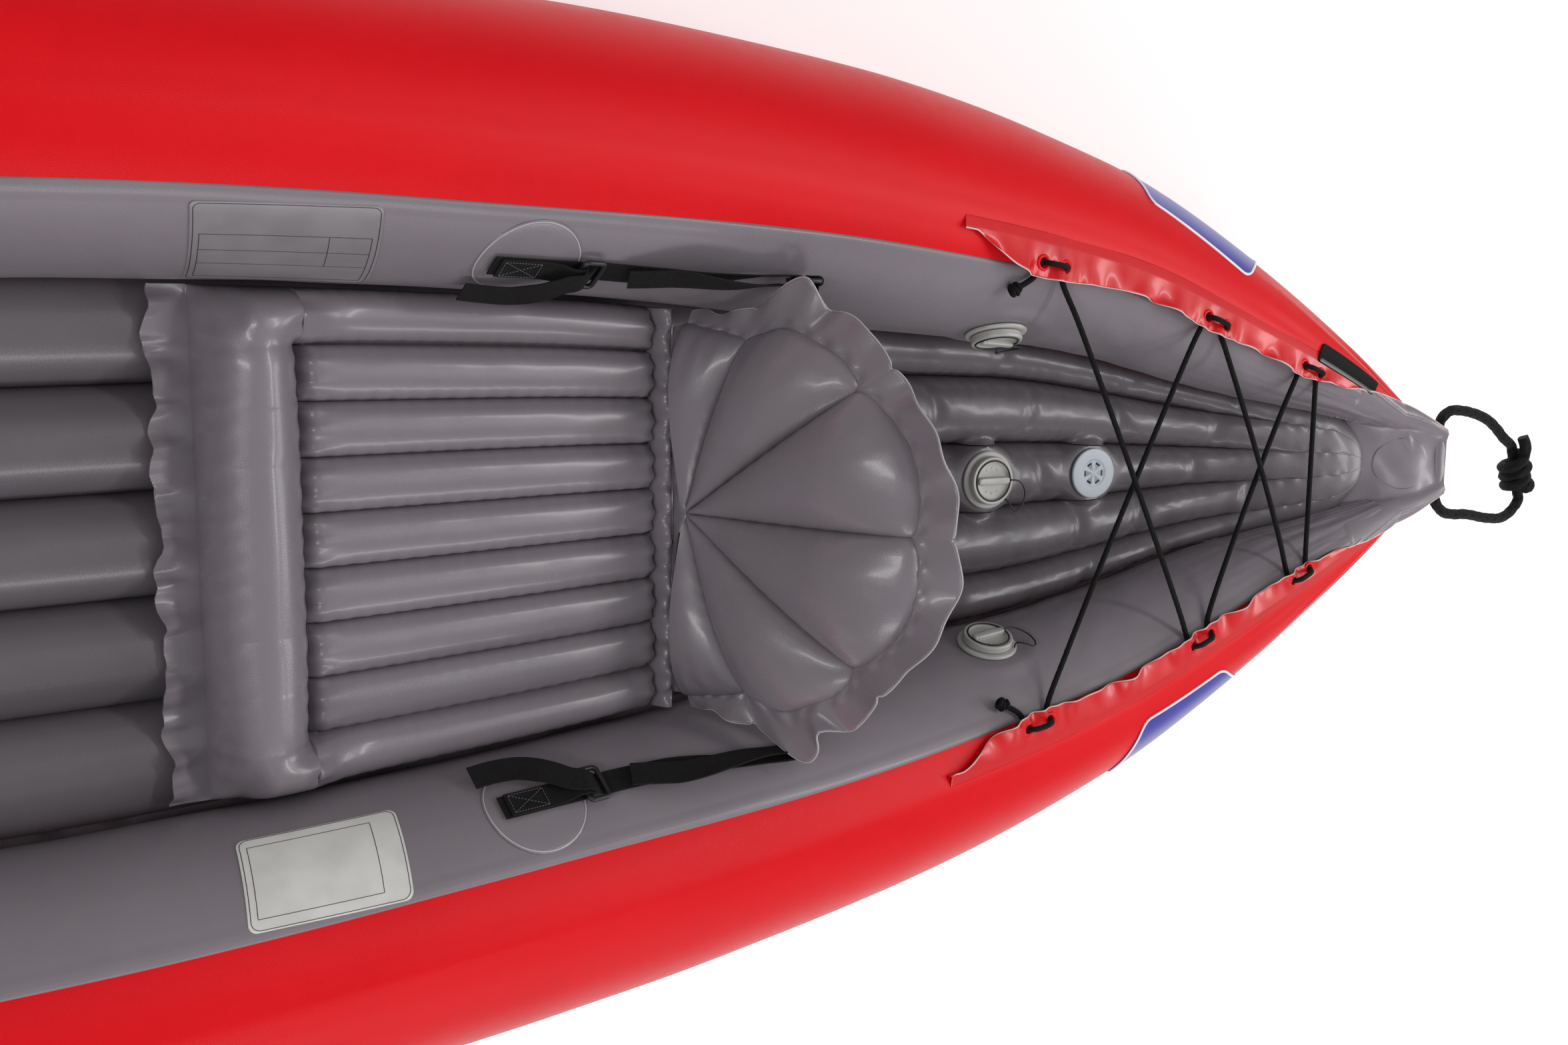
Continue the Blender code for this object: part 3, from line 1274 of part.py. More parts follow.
def strap_directions(side):
    """Directions of the back ring: along the strap, across it and out of it."""
    front, rear_bar, back, along, across, out = strap_ends(side)
    run = (back - rear_bar).normalized()
    upright = Vector((0, 0, -1)) if across.z < 0 else Vector((0, 0, 1))
    upright = (upright - run * upright.dot(run)).normalized()
    return run, upright, run.cross(upright)


def make_front_tab(name, side):
    """The stitched webbing tab that holds the front ring to its patch."""
    front, rear_bar, back, along, across, out = strap_ends(side)
    loop = RING_BAR_RADIUS + LOOP_GAP + WEBBING_THICKNESS / 2
    points = [front - along * TAB_LENGTH - out * loop, front - along * TAB_LENGTH * 0.5 - out * loop]
    points += half_turn(front, along, out, loop)
    upper = -loop + WEBBING_THICKNESS + SEAT_GAP * 2
    points.append(front - along * TAB_LENGTH * 0.22 + out * (upper + loop * 0.9))
    points.append(front - along * TAB_LENGTH * 0.38 + out * (upper + WEBBING_THICKNESS * 0.3))
    points.append(front - along * TAB_LENGTH * 0.9 + out * (upper + WEBBING_THICKNESS * 0.2))
    return ribbon(name, points, [across] * len(points), WEBBING_WIDTH, WEBBING_THICKNESS, "webbing")


def strap_centre(side, count=11):
    """Centre line of a strap between its rings, with its width direction."""
    front, rear_bar, back, along, across, out = strap_ends(side)
    run, upright, outward = strap_directions(side)
    lead = RING_WINDOW
    middle = (rear_bar + back) / 2 + out * STRAP_SAG * 0.5 - Vector((0, 0, STRAP_SAG * 0.6))
    route = smooth_route([rear_bar, rear_bar + along * lead, middle, back - run * lead, back], count)
    turns = []
    for k in range(count):
        share = min(max((k / (count - 1) - 0.12) / 0.76, 0.0), 1.0)
        turns.append(across.lerp(upright, share).normalized())
    return [Vector(p) for p in route], turns


def make_strap(name, side):
    """One webbing strap: round the back ring, through the front ring and out as a loose tail."""
    front, rear_bar, back, along, across, out = strap_ends(side)
    centre, turns = strap_centre(side)
    loop = RING_BAR_RADIUS + LOOP_GAP + WEBBING_THICKNESS / 2
    lower, upper = [], []
    for i, place in enumerate(centre):
        ahead = centre[min(i + 1, len(centre) - 1)] - centre[max(i - 1, 0)]
        normal = ahead.normalized().cross(turns[i])
        if normal.dot(out) < 0:
            normal = -normal
        lower.append(place - normal * loop)
        upper.append(place + normal * loop)
    end_run = (centre[-1] - centre[-2]).normalized()
    end_out = (upper[-1] - lower[-1]).normalized()
    bend = half_turn(centre[-1], end_run, end_out, loop)
    window = front + along * (RING_WINDOW / 2 + RING_BAR_RADIUS)
    inward = across if across.z < 0 else -across
    high = loop + WEBBING_THICKNESS * 2 + SEAT_GAP * 3
    tail = []
    for back_share, spread, lift in ((1.0, 1.0, -0.35), (0.78, 1.0, -0.15), (0.58, 0.86, 0.3),
                                     (0.38, 0.5, 0.85), (0.20, 0.12, 1.0), (0.06, 0.0, 0.92)):
        tail.append(window - along * TAIL_LENGTH * back_share + inward * TAIL_SPREAD * spread
                    + out * high * lift)
    tail.append(window + along * RING_WINDOW * 0.16 + out * loop * 0.2)
    tail.append(rear_bar - along * RING_BAR_RADIUS * 0.8 - out * loop * 0.94)
    points = tail + lower[1:-1] + bend + list(reversed(upper))[1:-2]
    widths = [across] * len(tail) + turns[1:-1] + [turns[-1]] * len(bend) + list(reversed(turns))[1:-2]
    return ribbon(name, points, widths, WEBBING_WIDTH, WEBBING_THICKNESS, "webbing")


def make_back_tab(name, side):
    """The tab that holds the back ring to the rear face of the backrest."""
    front, rear_bar, back, along, across, out = strap_ends(side)
    run, upright, outward = strap_directions(side)
    bar = back + run * (RING_WINDOW + 2 * RING_BAR_RADIUS)
    loop = RING_BAR_RADIUS + LOOP_GAP + WEBBING_THICKNESS / 2
    inner = outward if outward.y * side < 0 else -outward
    bend = half_turn(bar, run, inner, loop)
    reach = side * (abs(bar.y) - BACK_TAB_SPREAD)
    hinge = hinge_place()
    lean = math.radians(BACKREST_RECLINE_DEG)
    up = (bar.z - hinge.z) / math.sin(lean) - BACKREST_FOOT
    deep = 0.0
    for across_share in (-1, 0, 1):
        for up_share in (-1, 0, 1):
            y = abs(reach) - WEBBING_WIDTH / 2 * across_share
            z = up + WEBBING_WIDTH * 0.6 * up_share - BACKREST_HUB_HEIGHT
            angle = math.degrees(math.atan2(z, y))
            away = math.hypot(z, y) / backrest_radius(angle, BACKREST_CORE_SHARES)
            deep = max(deep, backrest_half_thickness(min(away, 1.0), angle))
    foot = backrest_point(reach, up, deep + WEBBING_THICKNESS)
    points = [foot, foot.lerp(bend[-1], 0.5) + run * WEBBING_THICKNESS * 2.4]
    points += list(reversed(bend))
    points.append(bend[0] - run * RING_BAR_RADIUS)
    widths = [upright] * len(points)
    made = ribbon(name, points, widths, WEBBING_WIDTH, WEBBING_THICKNESS, "webbing")
    return made


def make_straps():
    """Patches, tabs, rings and straps on both sides."""
    for label, side in (("port", -1), ("starboard", 1)):
        front, rear_bar, back, along, across, out = strap_ends(side)
        run, upright, outward = strap_directions(side)
        make_patch(label + "_strap_patch", side)
        make_front_tab(label + "_strap_tab", side)
        ring_piece(label + "_front_ring", front, along, across, WEBBING_WIDTH)
        make_strap(label + "_seat_strap", side)
        far_bar = back + run * (RING_WINDOW + 2 * RING_BAR_RADIUS)
        ring_piece(label + "_back_ring", far_bar, -run, upright, WEBBING_WIDTH)
        make_back_tab(label + "_back_tab", side)


# Valves

def valve_seat_cutter(label, frame):
    """The flat seat and pocket that a main valve sits in."""
    spot = VALVE_FLANGE_RADIUS + RUN_GAP
    cup = VALVE_CUP_RADIUS + RUN_GAP
    deep = VALVE_DEPTH + SEAL_THICKNESS + STEM_FOOT_THICKNESS + STEM_TRAVEL + RUN_GAP * 3
    high = VALVE_FLANGE_THICKNESS + OVERRUN * 4
    profile = [(0, high), (spot, high), (spot, 0), (cup, 0), (cup, -deep), (0, -deep)]
    return turned("helper_seat_" + label, profile, "grey_fabric", frame, 2 * SMALL_SIDE_COUNT)


def helix(radius, low, high, curls, wire, per_curl=SPRING_POINT_COUNT):
    """Spring route round +Z, with both ends straight for one wire diameter."""
    steps = curls * per_curl
    points = []
    for k in range(steps + 1):
        angle = 2 * math.pi * k / per_curl
        height = low + wire + (high - low - 2 * wire) * k / steps
        points.append(Vector((radius * math.cos(angle), radius * math.sin(angle), height)))
    first = Vector((radius, -2 * wire, points[0].z))
    last = points[-1] + Vector((0, 2 * wire, 0))
    return [first] + points + [last]


def least_self_gap(route, wire, curl):
    """Least clear distance between points of a coil that are at least half a curl apart."""
    best = None
    for i, a in enumerate(route):
        for b in route[i + curl // 2 + 1:]:
            gap = (a - b).length - 2 * wire
            best = gap if best is None else min(best, gap)
    return best


def make_spring(name, frame, radius, low, high, curls, wire):
    """A compression spring as one unbroken tube."""
    route = helix(radius, low, high, curls, wire)
    print(name, "least self-gap in mm:", round(least_self_gap(route, wire, SPRING_POINT_COUNT) * 1000, 3))
    return add_tube(name, [frame @ p for p in route], wire, "steel", WIRE_BEVEL_COUNT)


def make_valve(label, frame):
    """A main valve: housing, seal, stem, spring, gasket, cap and lanyard."""
    top = SEAT_GAP + VALVE_FLANGE_THICKNESS
    floor_top = VALVE_FLOOR - VALVE_DEPTH
    hub = STEM_RADIUS + SEAT_GAP
    chamfer = VALVE_FLANGE_THICKNESS * 0.4
    housing = [(VALVE_BORE_RADIUS, top), (VALVE_FLANGE_RADIUS - chamfer, top),
               (VALVE_FLANGE_RADIUS, top - chamfer), (VALVE_FLANGE_RADIUS, SEAT_GAP),
               (VALVE_CUP_RADIUS, SEAT_GAP), (VALVE_CUP_RADIUS, -VALVE_DEPTH), (hub, -VALVE_DEPTH),
               (hub, floor_top), (VALVE_BORE_RADIUS, floor_top)]
    body = turned(label + "_housing", housing, "valve_plastic", frame)
    for k in range(VALVE_AIR_HOLE_COUNT):
        turn = Matrix.Rotation(2 * math.pi * (k + 0.5) / VALVE_AIR_HOLE_COUNT, 4, "Z")
        hole = frame @ turn @ Matrix.Translation((VALVE_AIR_CIRCLE, 0, 0))
        r = VALVE_AIR_HOLE_RADIUS
        high = floor_top + OVERRUN
        low = -VALVE_DEPTH - OVERRUN
        cutter = turned("helper_air_%s_%d" % (label, k), [(0, high), (r, high), (r, low), (0, low)],
                        "valve_plastic", hole, 8)
        boolean(body, cutter)
    seal_top = -VALVE_DEPTH - SEAT_GAP
    seal_low = seal_top - SEAL_THICKNESS
    turned(label + "_seal", [(hub, seal_top), (SEAL_RADIUS, seal_top), (SEAL_RADIUS, seal_low), (hub, seal_low)],
           "rubber", frame)
    foot_top = seal_low - SEAT_GAP
    foot_low = foot_top - STEM_FOOT_THICKNESS
    button_low = -STEM_TOP_DEPTH - STEM_BUTTON_THICKNESS
    stem = [(0, -STEM_TOP_DEPTH), (STEM_BUTTON_RADIUS * 0.85, -STEM_TOP_DEPTH),
            (STEM_BUTTON_RADIUS, -STEM_TOP_DEPTH - STEM_BUTTON_THICKNESS * 0.4),
            (STEM_BUTTON_RADIUS, button_low), (STEM_RADIUS, button_low), (STEM_RADIUS, foot_top),
            (STEM_FOOT_RADIUS, foot_top), (STEM_FOOT_RADIUS, foot_low), (0, foot_low)]
    turned(label + "_stem", stem, "valve_plastic", frame, SMALL_SIDE_COUNT)
    make_spring(label + "_spring", frame, SPRING_RADIUS, floor_top + SEAT_GAP, button_low - SEAT_GAP,
                SPRING_CURL_COUNT, SPRING_WIRE_RADIUS)
    gasket_z = top + SEAT_GAP + GASKET_CORD_RADIUS
    ring = []
    for k in range(4):
        angle = 2 * math.pi * (k + 0.5) / 4
        ring.append((GASKET_RADIUS + GASKET_CORD_RADIUS * math.cos(angle),
                     gasket_z + GASKET_CORD_RADIUS * math.sin(angle)))
    turned(label + "_gasket", ring, "rubber", frame)
    make_cap(label + "_cap", frame, top, gasket_z + GASKET_CORD_RADIUS + SEAT_GAP)
    make_lanyard(label + "_lanyard", frame, top, cap_top(top))


def cap_top(flange_top):
    """Height of a cap's rim above the valve's seat."""
    return flange_top + RUN_GAP + CAP_LIP


def make_cap(name, frame, flange_top, gasket_top):
    """The dished cap with its grip bar and the skirt that plugs the bore."""
    high = cap_top(flange_top)
    dish = high - CAP_DISH_DEPTH
    low = flange_top + RUN_GAP
    groove = GASKET_RADIUS + GASKET_CORD_RADIUS + RUN_GAP
    skirt_low = gasket_top - CAP_SKIRT_DEPTH - CAP_DISH_DEPTH
    inner = CAP_SKIRT_RADIUS - CAP_SKIRT_WALL
    under = dish - CAP_TOP_WALL
    under = min(under, gasket_top)
    profile = [(0, dish), (CAP_DISH_RADIUS * 0.86, dish), (CAP_DISH_RADIUS * 1.08, high - CAP_DISH_DEPTH * 0.3),
               (CAP_DISH_RADIUS * 1.14, high), (CAP_RADIUS - RUN_GAP * 2, high), (CAP_RADIUS, high - RUN_GAP * 3),
               (CAP_RADIUS, low), (groove, low), (groove, gasket_top), (CAP_SKIRT_RADIUS, gasket_top),
               (CAP_SKIRT_RADIUS, skirt_low), (inner, skirt_low), (inner, under), (0, under)]
    made = turned(name, profile, "valve_plastic", frame)
    bar_low = under + (dish - under) * 0.4
    half = (CAP_BAR_LENGTH / 2, CAP_BAR_WIDTH / 2)
    bar_high = dish + CAP_BAR_HEIGHT
    corners = []
    for z, pull in ((bar_low, 0.0), (bar_high - CAP_BAR_ROUND, 0.0), (bar_high, CAP_BAR_ROUND)):
        ring = []
        for cx, cy, start in ((1, 1, 0), (-1, 1, 90), (-1, -1, 180), (1, -1, 270)):
            for k in range(3):
                angle = math.radians(start + 45 * k)
                x = cx * (half[0] - pull - CAP_BAR_ROUND) + CAP_BAR_ROUND * math.cos(angle)
                y = cy * (half[1] - pull * 0.6 - CAP_BAR_ROUND) + CAP_BAR_ROUND * math.sin(angle)
                ring.append(frame @ Vector((x, y, z)))
        corners.append(ring)
    boolean(made, loft("helper_bar_" + name, corners, "valve_plastic"), "UNION")
    return made


def make_lanyard(name, frame, flange_top, rim_top):
    """The thin tether from the cap's bar to the valve's flange."""
    start_z = max(rim_top - CAP_DISH_DEPTH + CAP_BAR_HEIGHT * 0.75, rim_top + LANYARD_RADIUS + SEAT_GAP)
    start_x = CAP_BAR_LENGTH / 2 + SEAT_GAP
    landing = (CAP_RADIUS + VALVE_FLANGE_RADIUS) / 2
    angle = math.radians(-48.0)
    foot = (landing * math.cos(angle), landing * math.sin(angle))
    out = VALVE_FLANGE_RADIUS
    places = [(start_x, 0, start_z), (start_x + out * 0.22, -out * 0.01, start_z + out * 0.02),
              (out * 1.12, -out * 0.10, start_z - out * 0.02), (out * 1.36, -out * 0.42, start_z - out * 0.10),
              (out * 1.34, -out * 0.86, start_z - out * 0.16), (out * 1.06, -out * 1.10, start_z - out * 0.12),
              (out * 0.80, -out * 0.98, start_z - out * 0.04),
              (foot[0] * 1.03, foot[1] * 1.05, (start_z + flange_top) / 2 + out * 0.04),
              (foot[0], foot[1], flange_top + SEAT_GAP)]
    route = [tuple(frame @ Vector(p)) for p in places]
    return add_tube(name, smooth_route(route, 17), LANYARD_RADIUS, "cord")


def make_relief_valve(floor):
    """The relief valve in the floor: perforated housing, poppet and spring."""
    frame = plateau_frame(RELIEF_X)
    deep = RELIEF_DEPTH + RUN_GAP * 3
    spot = RELIEF_FLANGE_RADIUS + RUN_GAP
    cup = RELIEF_CUP_RADIUS + RUN_GAP
    high = RELIEF_THICKNESS + OVERRUN * 4
    seat = [(0, high), (spot, high), (spot, 0), (cup, 0), (cup, -deep), (0, -deep)]
    boolean(floor, turned("helper_relief_seat", seat, "grey_fabric", frame, 2 * SMALL_SIDE_COUNT))
    top = SEAT_GAP + RELIEF_THICKNESS
    lip_top = RELIEF_SEAT_THICKNESS - RELIEF_DEPTH
    chamfer = RELIEF_THICKNESS * 0.35
    profile = [(0, top), (RELIEF_FLANGE_RADIUS - chamfer, top), (RELIEF_FLANGE_RADIUS, top - chamfer),
               (RELIEF_FLANGE_RADIUS, SEAT_GAP), (RELIEF_CUP_RADIUS, SEAT_GAP), (RELIEF_CUP_RADIUS, -RELIEF_DEPTH),
               (RELIEF_SEAT_RADIUS, -RELIEF_DEPTH), (RELIEF_SEAT_RADIUS, lip_top), (RELIEF_BORE_RADIUS, lip_top),
               (RELIEF_BORE_RADIUS, SEAT_GAP), (0, SEAT_GAP)]
    housing = turned("relief_valve_housing", profile, "relief_plastic", frame)
    for k in range(RELIEF_SLOT_COUNT):
        turn = Matrix.Rotation(2 * math.pi * k / RELIEF_SLOT_COUNT, 4, "Z")
        half_l, half_w = RELIEF_SLOT_LENGTH / 2, RELIEF_SLOT_WIDTH / 2
        rings = []
        for z in (-OVERRUN / 2, top + OVERRUN):
            ring = []
            for x, y in ((-half_w, -half_l), (half_w, -half_l), (half_w, half_l), (-half_w, half_l)):
                ring.append(frame @ turn @ Vector((RELIEF_SLOT_CIRCLE + x, y, z)))
            rings.append(ring)
        boolean(housing, loft("helper_relief_slot_%d" % k, rings, "relief_plastic"))
    poppet_low = lip_top + SEAT_GAP
    poppet_high = poppet_low + POPPET_THICKNESS
    stem_top = poppet_high + POPPET_STEM_LENGTH
    poppet = [(0, stem_top), (POPPET_STEM_RADIUS, stem_top), (POPPET_STEM_RADIUS, poppet_high),
              (POPPET_RADIUS, poppet_high), (POPPET_RADIUS, poppet_low), (0, poppet_low)]
    turned("relief_valve_poppet", poppet, "rubber", frame, SMALL_SIDE_COUNT)
    make_spring("relief_valve_spring", frame, RELIEF_SPRING_RADIUS, poppet_high + SEAT_GAP, 0.0,
                RELIEF_SPRING_CURL_COUNT, RELIEF_SPRING_WIRE_RADIUS)


def make_strip_patch():
    """The black strip patch on the starboard stern."""
    angles = (math.degrees(-1.5 * FACET) + 1.0, math.degrees(-0.5 * FACET) - 0.5)
    half = STRIP_LENGTH / 2
    stations = [STRIP_X - half, STRIP_X, STRIP_X + half]
    return shell("stern_strip_patch", 1, stations, angles, SEAT_GAP, SEAT_GAP + STRIP_THICKNESS, "webbing")


def build():
    """Makes every piece of the kayak."""
    clear_scene()
    floor = make_floor()
    for label, side in (("port", -1), ("starboard", 1)):
        tube = make_tube(label + "_tube", side)
        panel = make_panel(label + "_inner_panel", side)
        frame = facet_frame(side, SIDE_VALVE_X, SIDE_VALVE_FACET_DEG, -VALVE_SINK)
        cutter = valve_seat_cutter(label + "_valve", frame)
        boolean(tube, cutter)
        boolean(panel, cutter)
        make_valve(label + "_valve", frame)
        stern_flap = make_flap(label + "_stern_flap", side, 1)
        cut_lacing_holes(stern_flap, side)
        make_flap(label + "_bow_flap", side, -1)
    frame = plateau_frame(FLOOR_VALVE_X)
    boolean(floor, valve_seat_cutter("floor_valve", frame))
    make_valve("floor_valve", frame)
    make_relief_valve(floor)
    make_end_piece("bow_end_piece", -1)
    make_end_piece("stern_end_piece", 1)
    make_strip_patch()
    make_seat()
    backrest = make_backrest()
    make_backrest_flange()
    make_hinge_strip()
    make_seat_valve(backrest)
    make_straps()
    make_lacing()
    make_rope()


build()
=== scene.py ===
"""Looks of the inflatable kayak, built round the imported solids.

Metres, +Z up, +X to the stern and +Y to starboard, in the frame of the solids.
Each piece rides on the body that its solid belongs to.
"""
import json
import math
from types import SimpleNamespace

import bmesh
import bpy
import numpy as np
from mathutils import Euler, Matrix, Vector


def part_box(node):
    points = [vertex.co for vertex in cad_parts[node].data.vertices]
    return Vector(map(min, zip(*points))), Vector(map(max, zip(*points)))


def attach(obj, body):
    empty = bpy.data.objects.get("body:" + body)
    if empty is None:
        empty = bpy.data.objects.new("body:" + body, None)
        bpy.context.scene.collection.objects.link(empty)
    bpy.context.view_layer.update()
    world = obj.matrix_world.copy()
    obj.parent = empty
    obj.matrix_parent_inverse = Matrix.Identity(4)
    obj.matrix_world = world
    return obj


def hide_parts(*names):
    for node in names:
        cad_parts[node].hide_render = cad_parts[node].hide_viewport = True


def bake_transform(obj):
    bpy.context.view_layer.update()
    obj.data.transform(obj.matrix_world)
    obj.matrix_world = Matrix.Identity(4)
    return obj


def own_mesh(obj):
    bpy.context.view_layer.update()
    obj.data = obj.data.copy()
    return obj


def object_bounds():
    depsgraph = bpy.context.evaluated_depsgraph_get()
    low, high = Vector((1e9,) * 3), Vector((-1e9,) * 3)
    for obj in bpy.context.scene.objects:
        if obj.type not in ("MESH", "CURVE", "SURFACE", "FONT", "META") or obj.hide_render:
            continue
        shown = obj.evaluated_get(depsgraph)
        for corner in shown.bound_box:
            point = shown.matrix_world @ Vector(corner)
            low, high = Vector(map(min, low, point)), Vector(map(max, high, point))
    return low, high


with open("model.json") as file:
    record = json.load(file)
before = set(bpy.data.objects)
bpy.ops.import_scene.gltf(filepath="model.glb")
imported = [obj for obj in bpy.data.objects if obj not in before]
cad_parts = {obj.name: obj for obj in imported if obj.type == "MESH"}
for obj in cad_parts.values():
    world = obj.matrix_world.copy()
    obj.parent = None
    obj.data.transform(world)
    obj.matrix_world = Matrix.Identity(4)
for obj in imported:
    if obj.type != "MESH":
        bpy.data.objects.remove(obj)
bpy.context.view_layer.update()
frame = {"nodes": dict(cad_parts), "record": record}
JOINTS = {joint["name"]: joint for joint in frame["record"]["behaviour"]["joints"]}
SIDES = {"port": -1, "starboard": 1}
ENDS = {"bow": -1, "stern": 1}
VALVES = ("port_valve", "starboard_valve", "floor_valve")

# Hull sizes, the same as the solids'
LENGTH = 2.620
BEAM = 0.790
TUBE_RADIUS = 0.105
ROCKER = 0.110
END_PIECE_LENGTH = 0.065
FACET = 2 * math.pi / 20
FACET_SHRINK = math.cos(FACET / 2)
STATION_SHARES = (0.0, 0.241, 0.482, 0.683, 0.843, 0.940, 1.0)
OUTER_BEAM_SHARES = (1.0, 0.977, 0.904, 0.754, 0.514, 0.314, 0.162)
RADIUS_SHARES = (1.0, 1.0, 1.0, 0.840, 0.610, 0.343, 0.133)
RISE_SHARES = (0.0, 0.0, 0.027, 0.164, 0.418, 0.682, 0.910)
HALF_LENGTH = LENGTH / 2
TUBE_END = HALF_LENGTH - END_PIECE_LENGTH

# Inner panels, floor and end pieces
SKIN = 0.0015
SKIN_CLEAR = 0.0002
CREASE_DEPTH = 0.0011
SEAM_RIDGE = 0.0007
RED_SEAM_DEG = 0.0
RED_OUTER_SEAM_DEG = -122.0
PANEL_LOW_DEG = 117.0
PANEL_EDGE_ROUND = 0.0016
PANEL_TUCK = 0.0006
PANEL_X_SHARE = 0.992
PANEL_MIDDLE_DEG = 27.0
PANEL_CLIMB_DEG = 5.5
TIP_START = 1.160
FLOOR_HEIGHT = 0.070
FLOOR_CHANNEL_WIDTH = BEAM * 0.0943
FLOOR_EDGE_FLANGE = 0.021
FLOOR_FLANGE_THICKNESS = 0.003
FLOOR_END_GAP = 0.0220
FLOOR_END = TUBE_END - FLOOR_END_GAP
FLOOR_END_ROUND = 0.046
FLOOR_MERGE_START = 1.020
FLOOR_INNER_SHARE = 0.46
FLOOR_TUBE_ANGLE_DEG = 135.0
FLOOR_STATION_SHARES = (0.0, 0.123, 0.246, 0.370, 0.493, 0.592, 0.700, 0.782, 0.864, 0.914, 0.963, 0.985,
                        1.0)
FLOOR_PITCH_SHARES = (1.0, 1.0, 1.0, 0.995, 0.925, 0.87, 0.81, 0.74, 0.655, 0.56, 0.42, 0.30, 0.16)
END_HALF_WIDTH = 0.033
END_TOP_RISE = 0.012
SLEEVE_BORE_RADIUS = 0.0063
SLEEVE_WALL = 0.0025
SLEEVE_RADIUS = SLEEVE_BORE_RADIUS + SLEEVE_WALL
TIP_COVER = 0.78
DECK_THICKNESS = 0.0016
DECK_CLEAR = 0.0016
DECK_JOIN = 0.0016
DECK_PATCH_RADIUS = 0.026
DECK_PATCH_X = 1.258

# Openings of the valves in the skins
SEAT_GAP = 0.0003
RUN_GAP = 0.0006
VALVE_FLANGE_RADIUS = 0.027
VALVE_CUP_RADIUS = 0.019
RELIEF_FLANGE_RADIUS = 0.024
RELIEF_THICKNESS = 0.0022
RELIEF_SLOT_COUNT = 6
RELIEF_SLOT_CIRCLE = 0.0095
FLAT_RIM = 0.003

# Edge flaps and the lacing through them
FLAP_THICKNESS = 0.0015
FLAP_START = TUBE_END * 0.514
FLAP_END = TUBE_END * 0.956
FLAP_LEAD = 0.024
FLAP_WIDTH = 0.031
FLAP_END_WIDTH = 0.020
FLAP_SCALLOP = 0.005
FLAP_RISE = 0.0040
LACING_SLOT_X = tuple(TUBE_END * share for share in (0.6169, 0.7863, 0.8956))
LACING_SLOT_INSET = 0.0185
LACING_HOLE_SPACING = 0.026
LACING_RADIUS = 0.0025
LACING_ARC_HEIGHT = 0.0085
LACING_DIP = 0.010
LACING_POINT_COUNT = 76
LACING_HOLE_OPENING = 0.0042
KNOT_RADIUS = 0.0055

# Grab rope
ROPE_RADIUS = 0.0050
ROPE_REACH = 0.172
ROPE_HALF_WIDTH = 0.046
ROPE_DROOP = 0.016
ROPE_POINT_COUNT = 30
ROPE_KNOT_LENGTH = 0.040
BRAID_PITCH_SHARE = 6.0


def smooth_curve(stations, values):
    """Returns a monotone cubic through the given stations."""
    x = np.asarray(stations, float)
    y = np.asarray(values, float)
    h = np.diff(x)
    d = np.diff(y) / h
    m = np.zeros(len(x))
    for i in range(1, len(x) - 1):
        if d[i - 1] * d[i] > 0:
            w1 = 2 * h[i] + h[i - 1]
            w2 = h[i] + 2 * h[i - 1]
            m[i] = (w1 + w2) / (w1 / d[i - 1] + w2 / d[i])
    m[-1] = d[-1]

    def value(at):
        at = np.clip(np.asarray(at, float), x[0], x[-1])
        i = np.clip(np.searchsorted(x, at, side="right") - 1, 0, len(x) - 2)
        t = (at - x[i]) / h[i]
        a = (1 + 2 * t) * (1 - t) ** 2 * y[i] + t * (1 - t) ** 2 * h[i] * m[i]
        b = t * t * (3 - 2 * t) * y[i + 1] + t * t * (t - 1) * h[i] * m[i + 1]
        return a + b
    return value


outer_share = smooth_curve(STATION_SHARES, OUTER_BEAM_SHARES)
radius_share = smooth_curve(STATION_SHARES, RADIUS_SHARES)
rise_share = smooth_curve(STATION_SHARES, RISE_SHARES)
floor_pitch_share = smooth_curve(FLOOR_STATION_SHARES, FLOOR_PITCH_SHARES)


def ease(t):
    """Smooth step from 0 to 1."""
    t = np.clip(t, 0.0, 1.0)
    return t * t * (3 - 2 * t)


def ripple(u, v, seed=0.0):
    """A smooth wandering value between -1 and 1 over two lengths."""
    a = np.sin(u * 1.00 + 1.7 * np.sin(v * 0.61 + seed) + seed)
    b = np.sin(v * 1.13 + 1.3 * np.sin(u * 0.83 - seed) + 2.1 * seed)
    c = np.sin(u * 1.91 - v * 1.37 + 1.1 * np.sin(u * 0.37 + v * 0.53 + seed))
    return (a + b + c) / 3


# Building meshes

def make_mesh(name, points, faces, mat, uvs=None, smooth_deg=60.0):
    """Makes a smooth-shaded mesh object, with UVs in metres where given."""
    mesh = bpy.data.meshes.new(name)
    mesh.from_pydata([tuple(p) for p in points], [], faces)
    if uvs is not None:
        layer = mesh.uv_layers.new(name="cloth")
        flat = np.asarray(uvs, float)
        index = np.zeros(len(mesh.loops), int)
        mesh.loops.foreach_get("vertex_index", index)
        layer.data.foreach_set("uv", flat[index].ravel())
    work = bmesh.new()
    work.from_mesh(mesh)
    bmesh.ops.remove_doubles(work, verts=work.verts, dist=1e-7)
    bmesh.ops.recalc_face_normals(work, faces=work.faces)
    work.to_mesh(mesh)
    work.free()
    mesh.shade_smooth()
    mesh.set_sharp_from_angle(angle=math.radians(smooth_deg))
    made = bpy.data.objects.new(name, mesh)
    bpy.context.scene.collection.objects.link(made)
    made.data.materials.append(mat)
    return made


def grid_faces(rows, columns, wrap=False, start=0):
    """Faces of a grid of points in row order; wrap joins the last column to the first."""
    faces = []
    for i in range(rows - 1):
        for j in range(columns if wrap else columns - 1):
            k = (j + 1) % columns
            a = start + i * columns
            faces.append((a + j, a + k, a + columns + k, a + columns + j))
    return faces


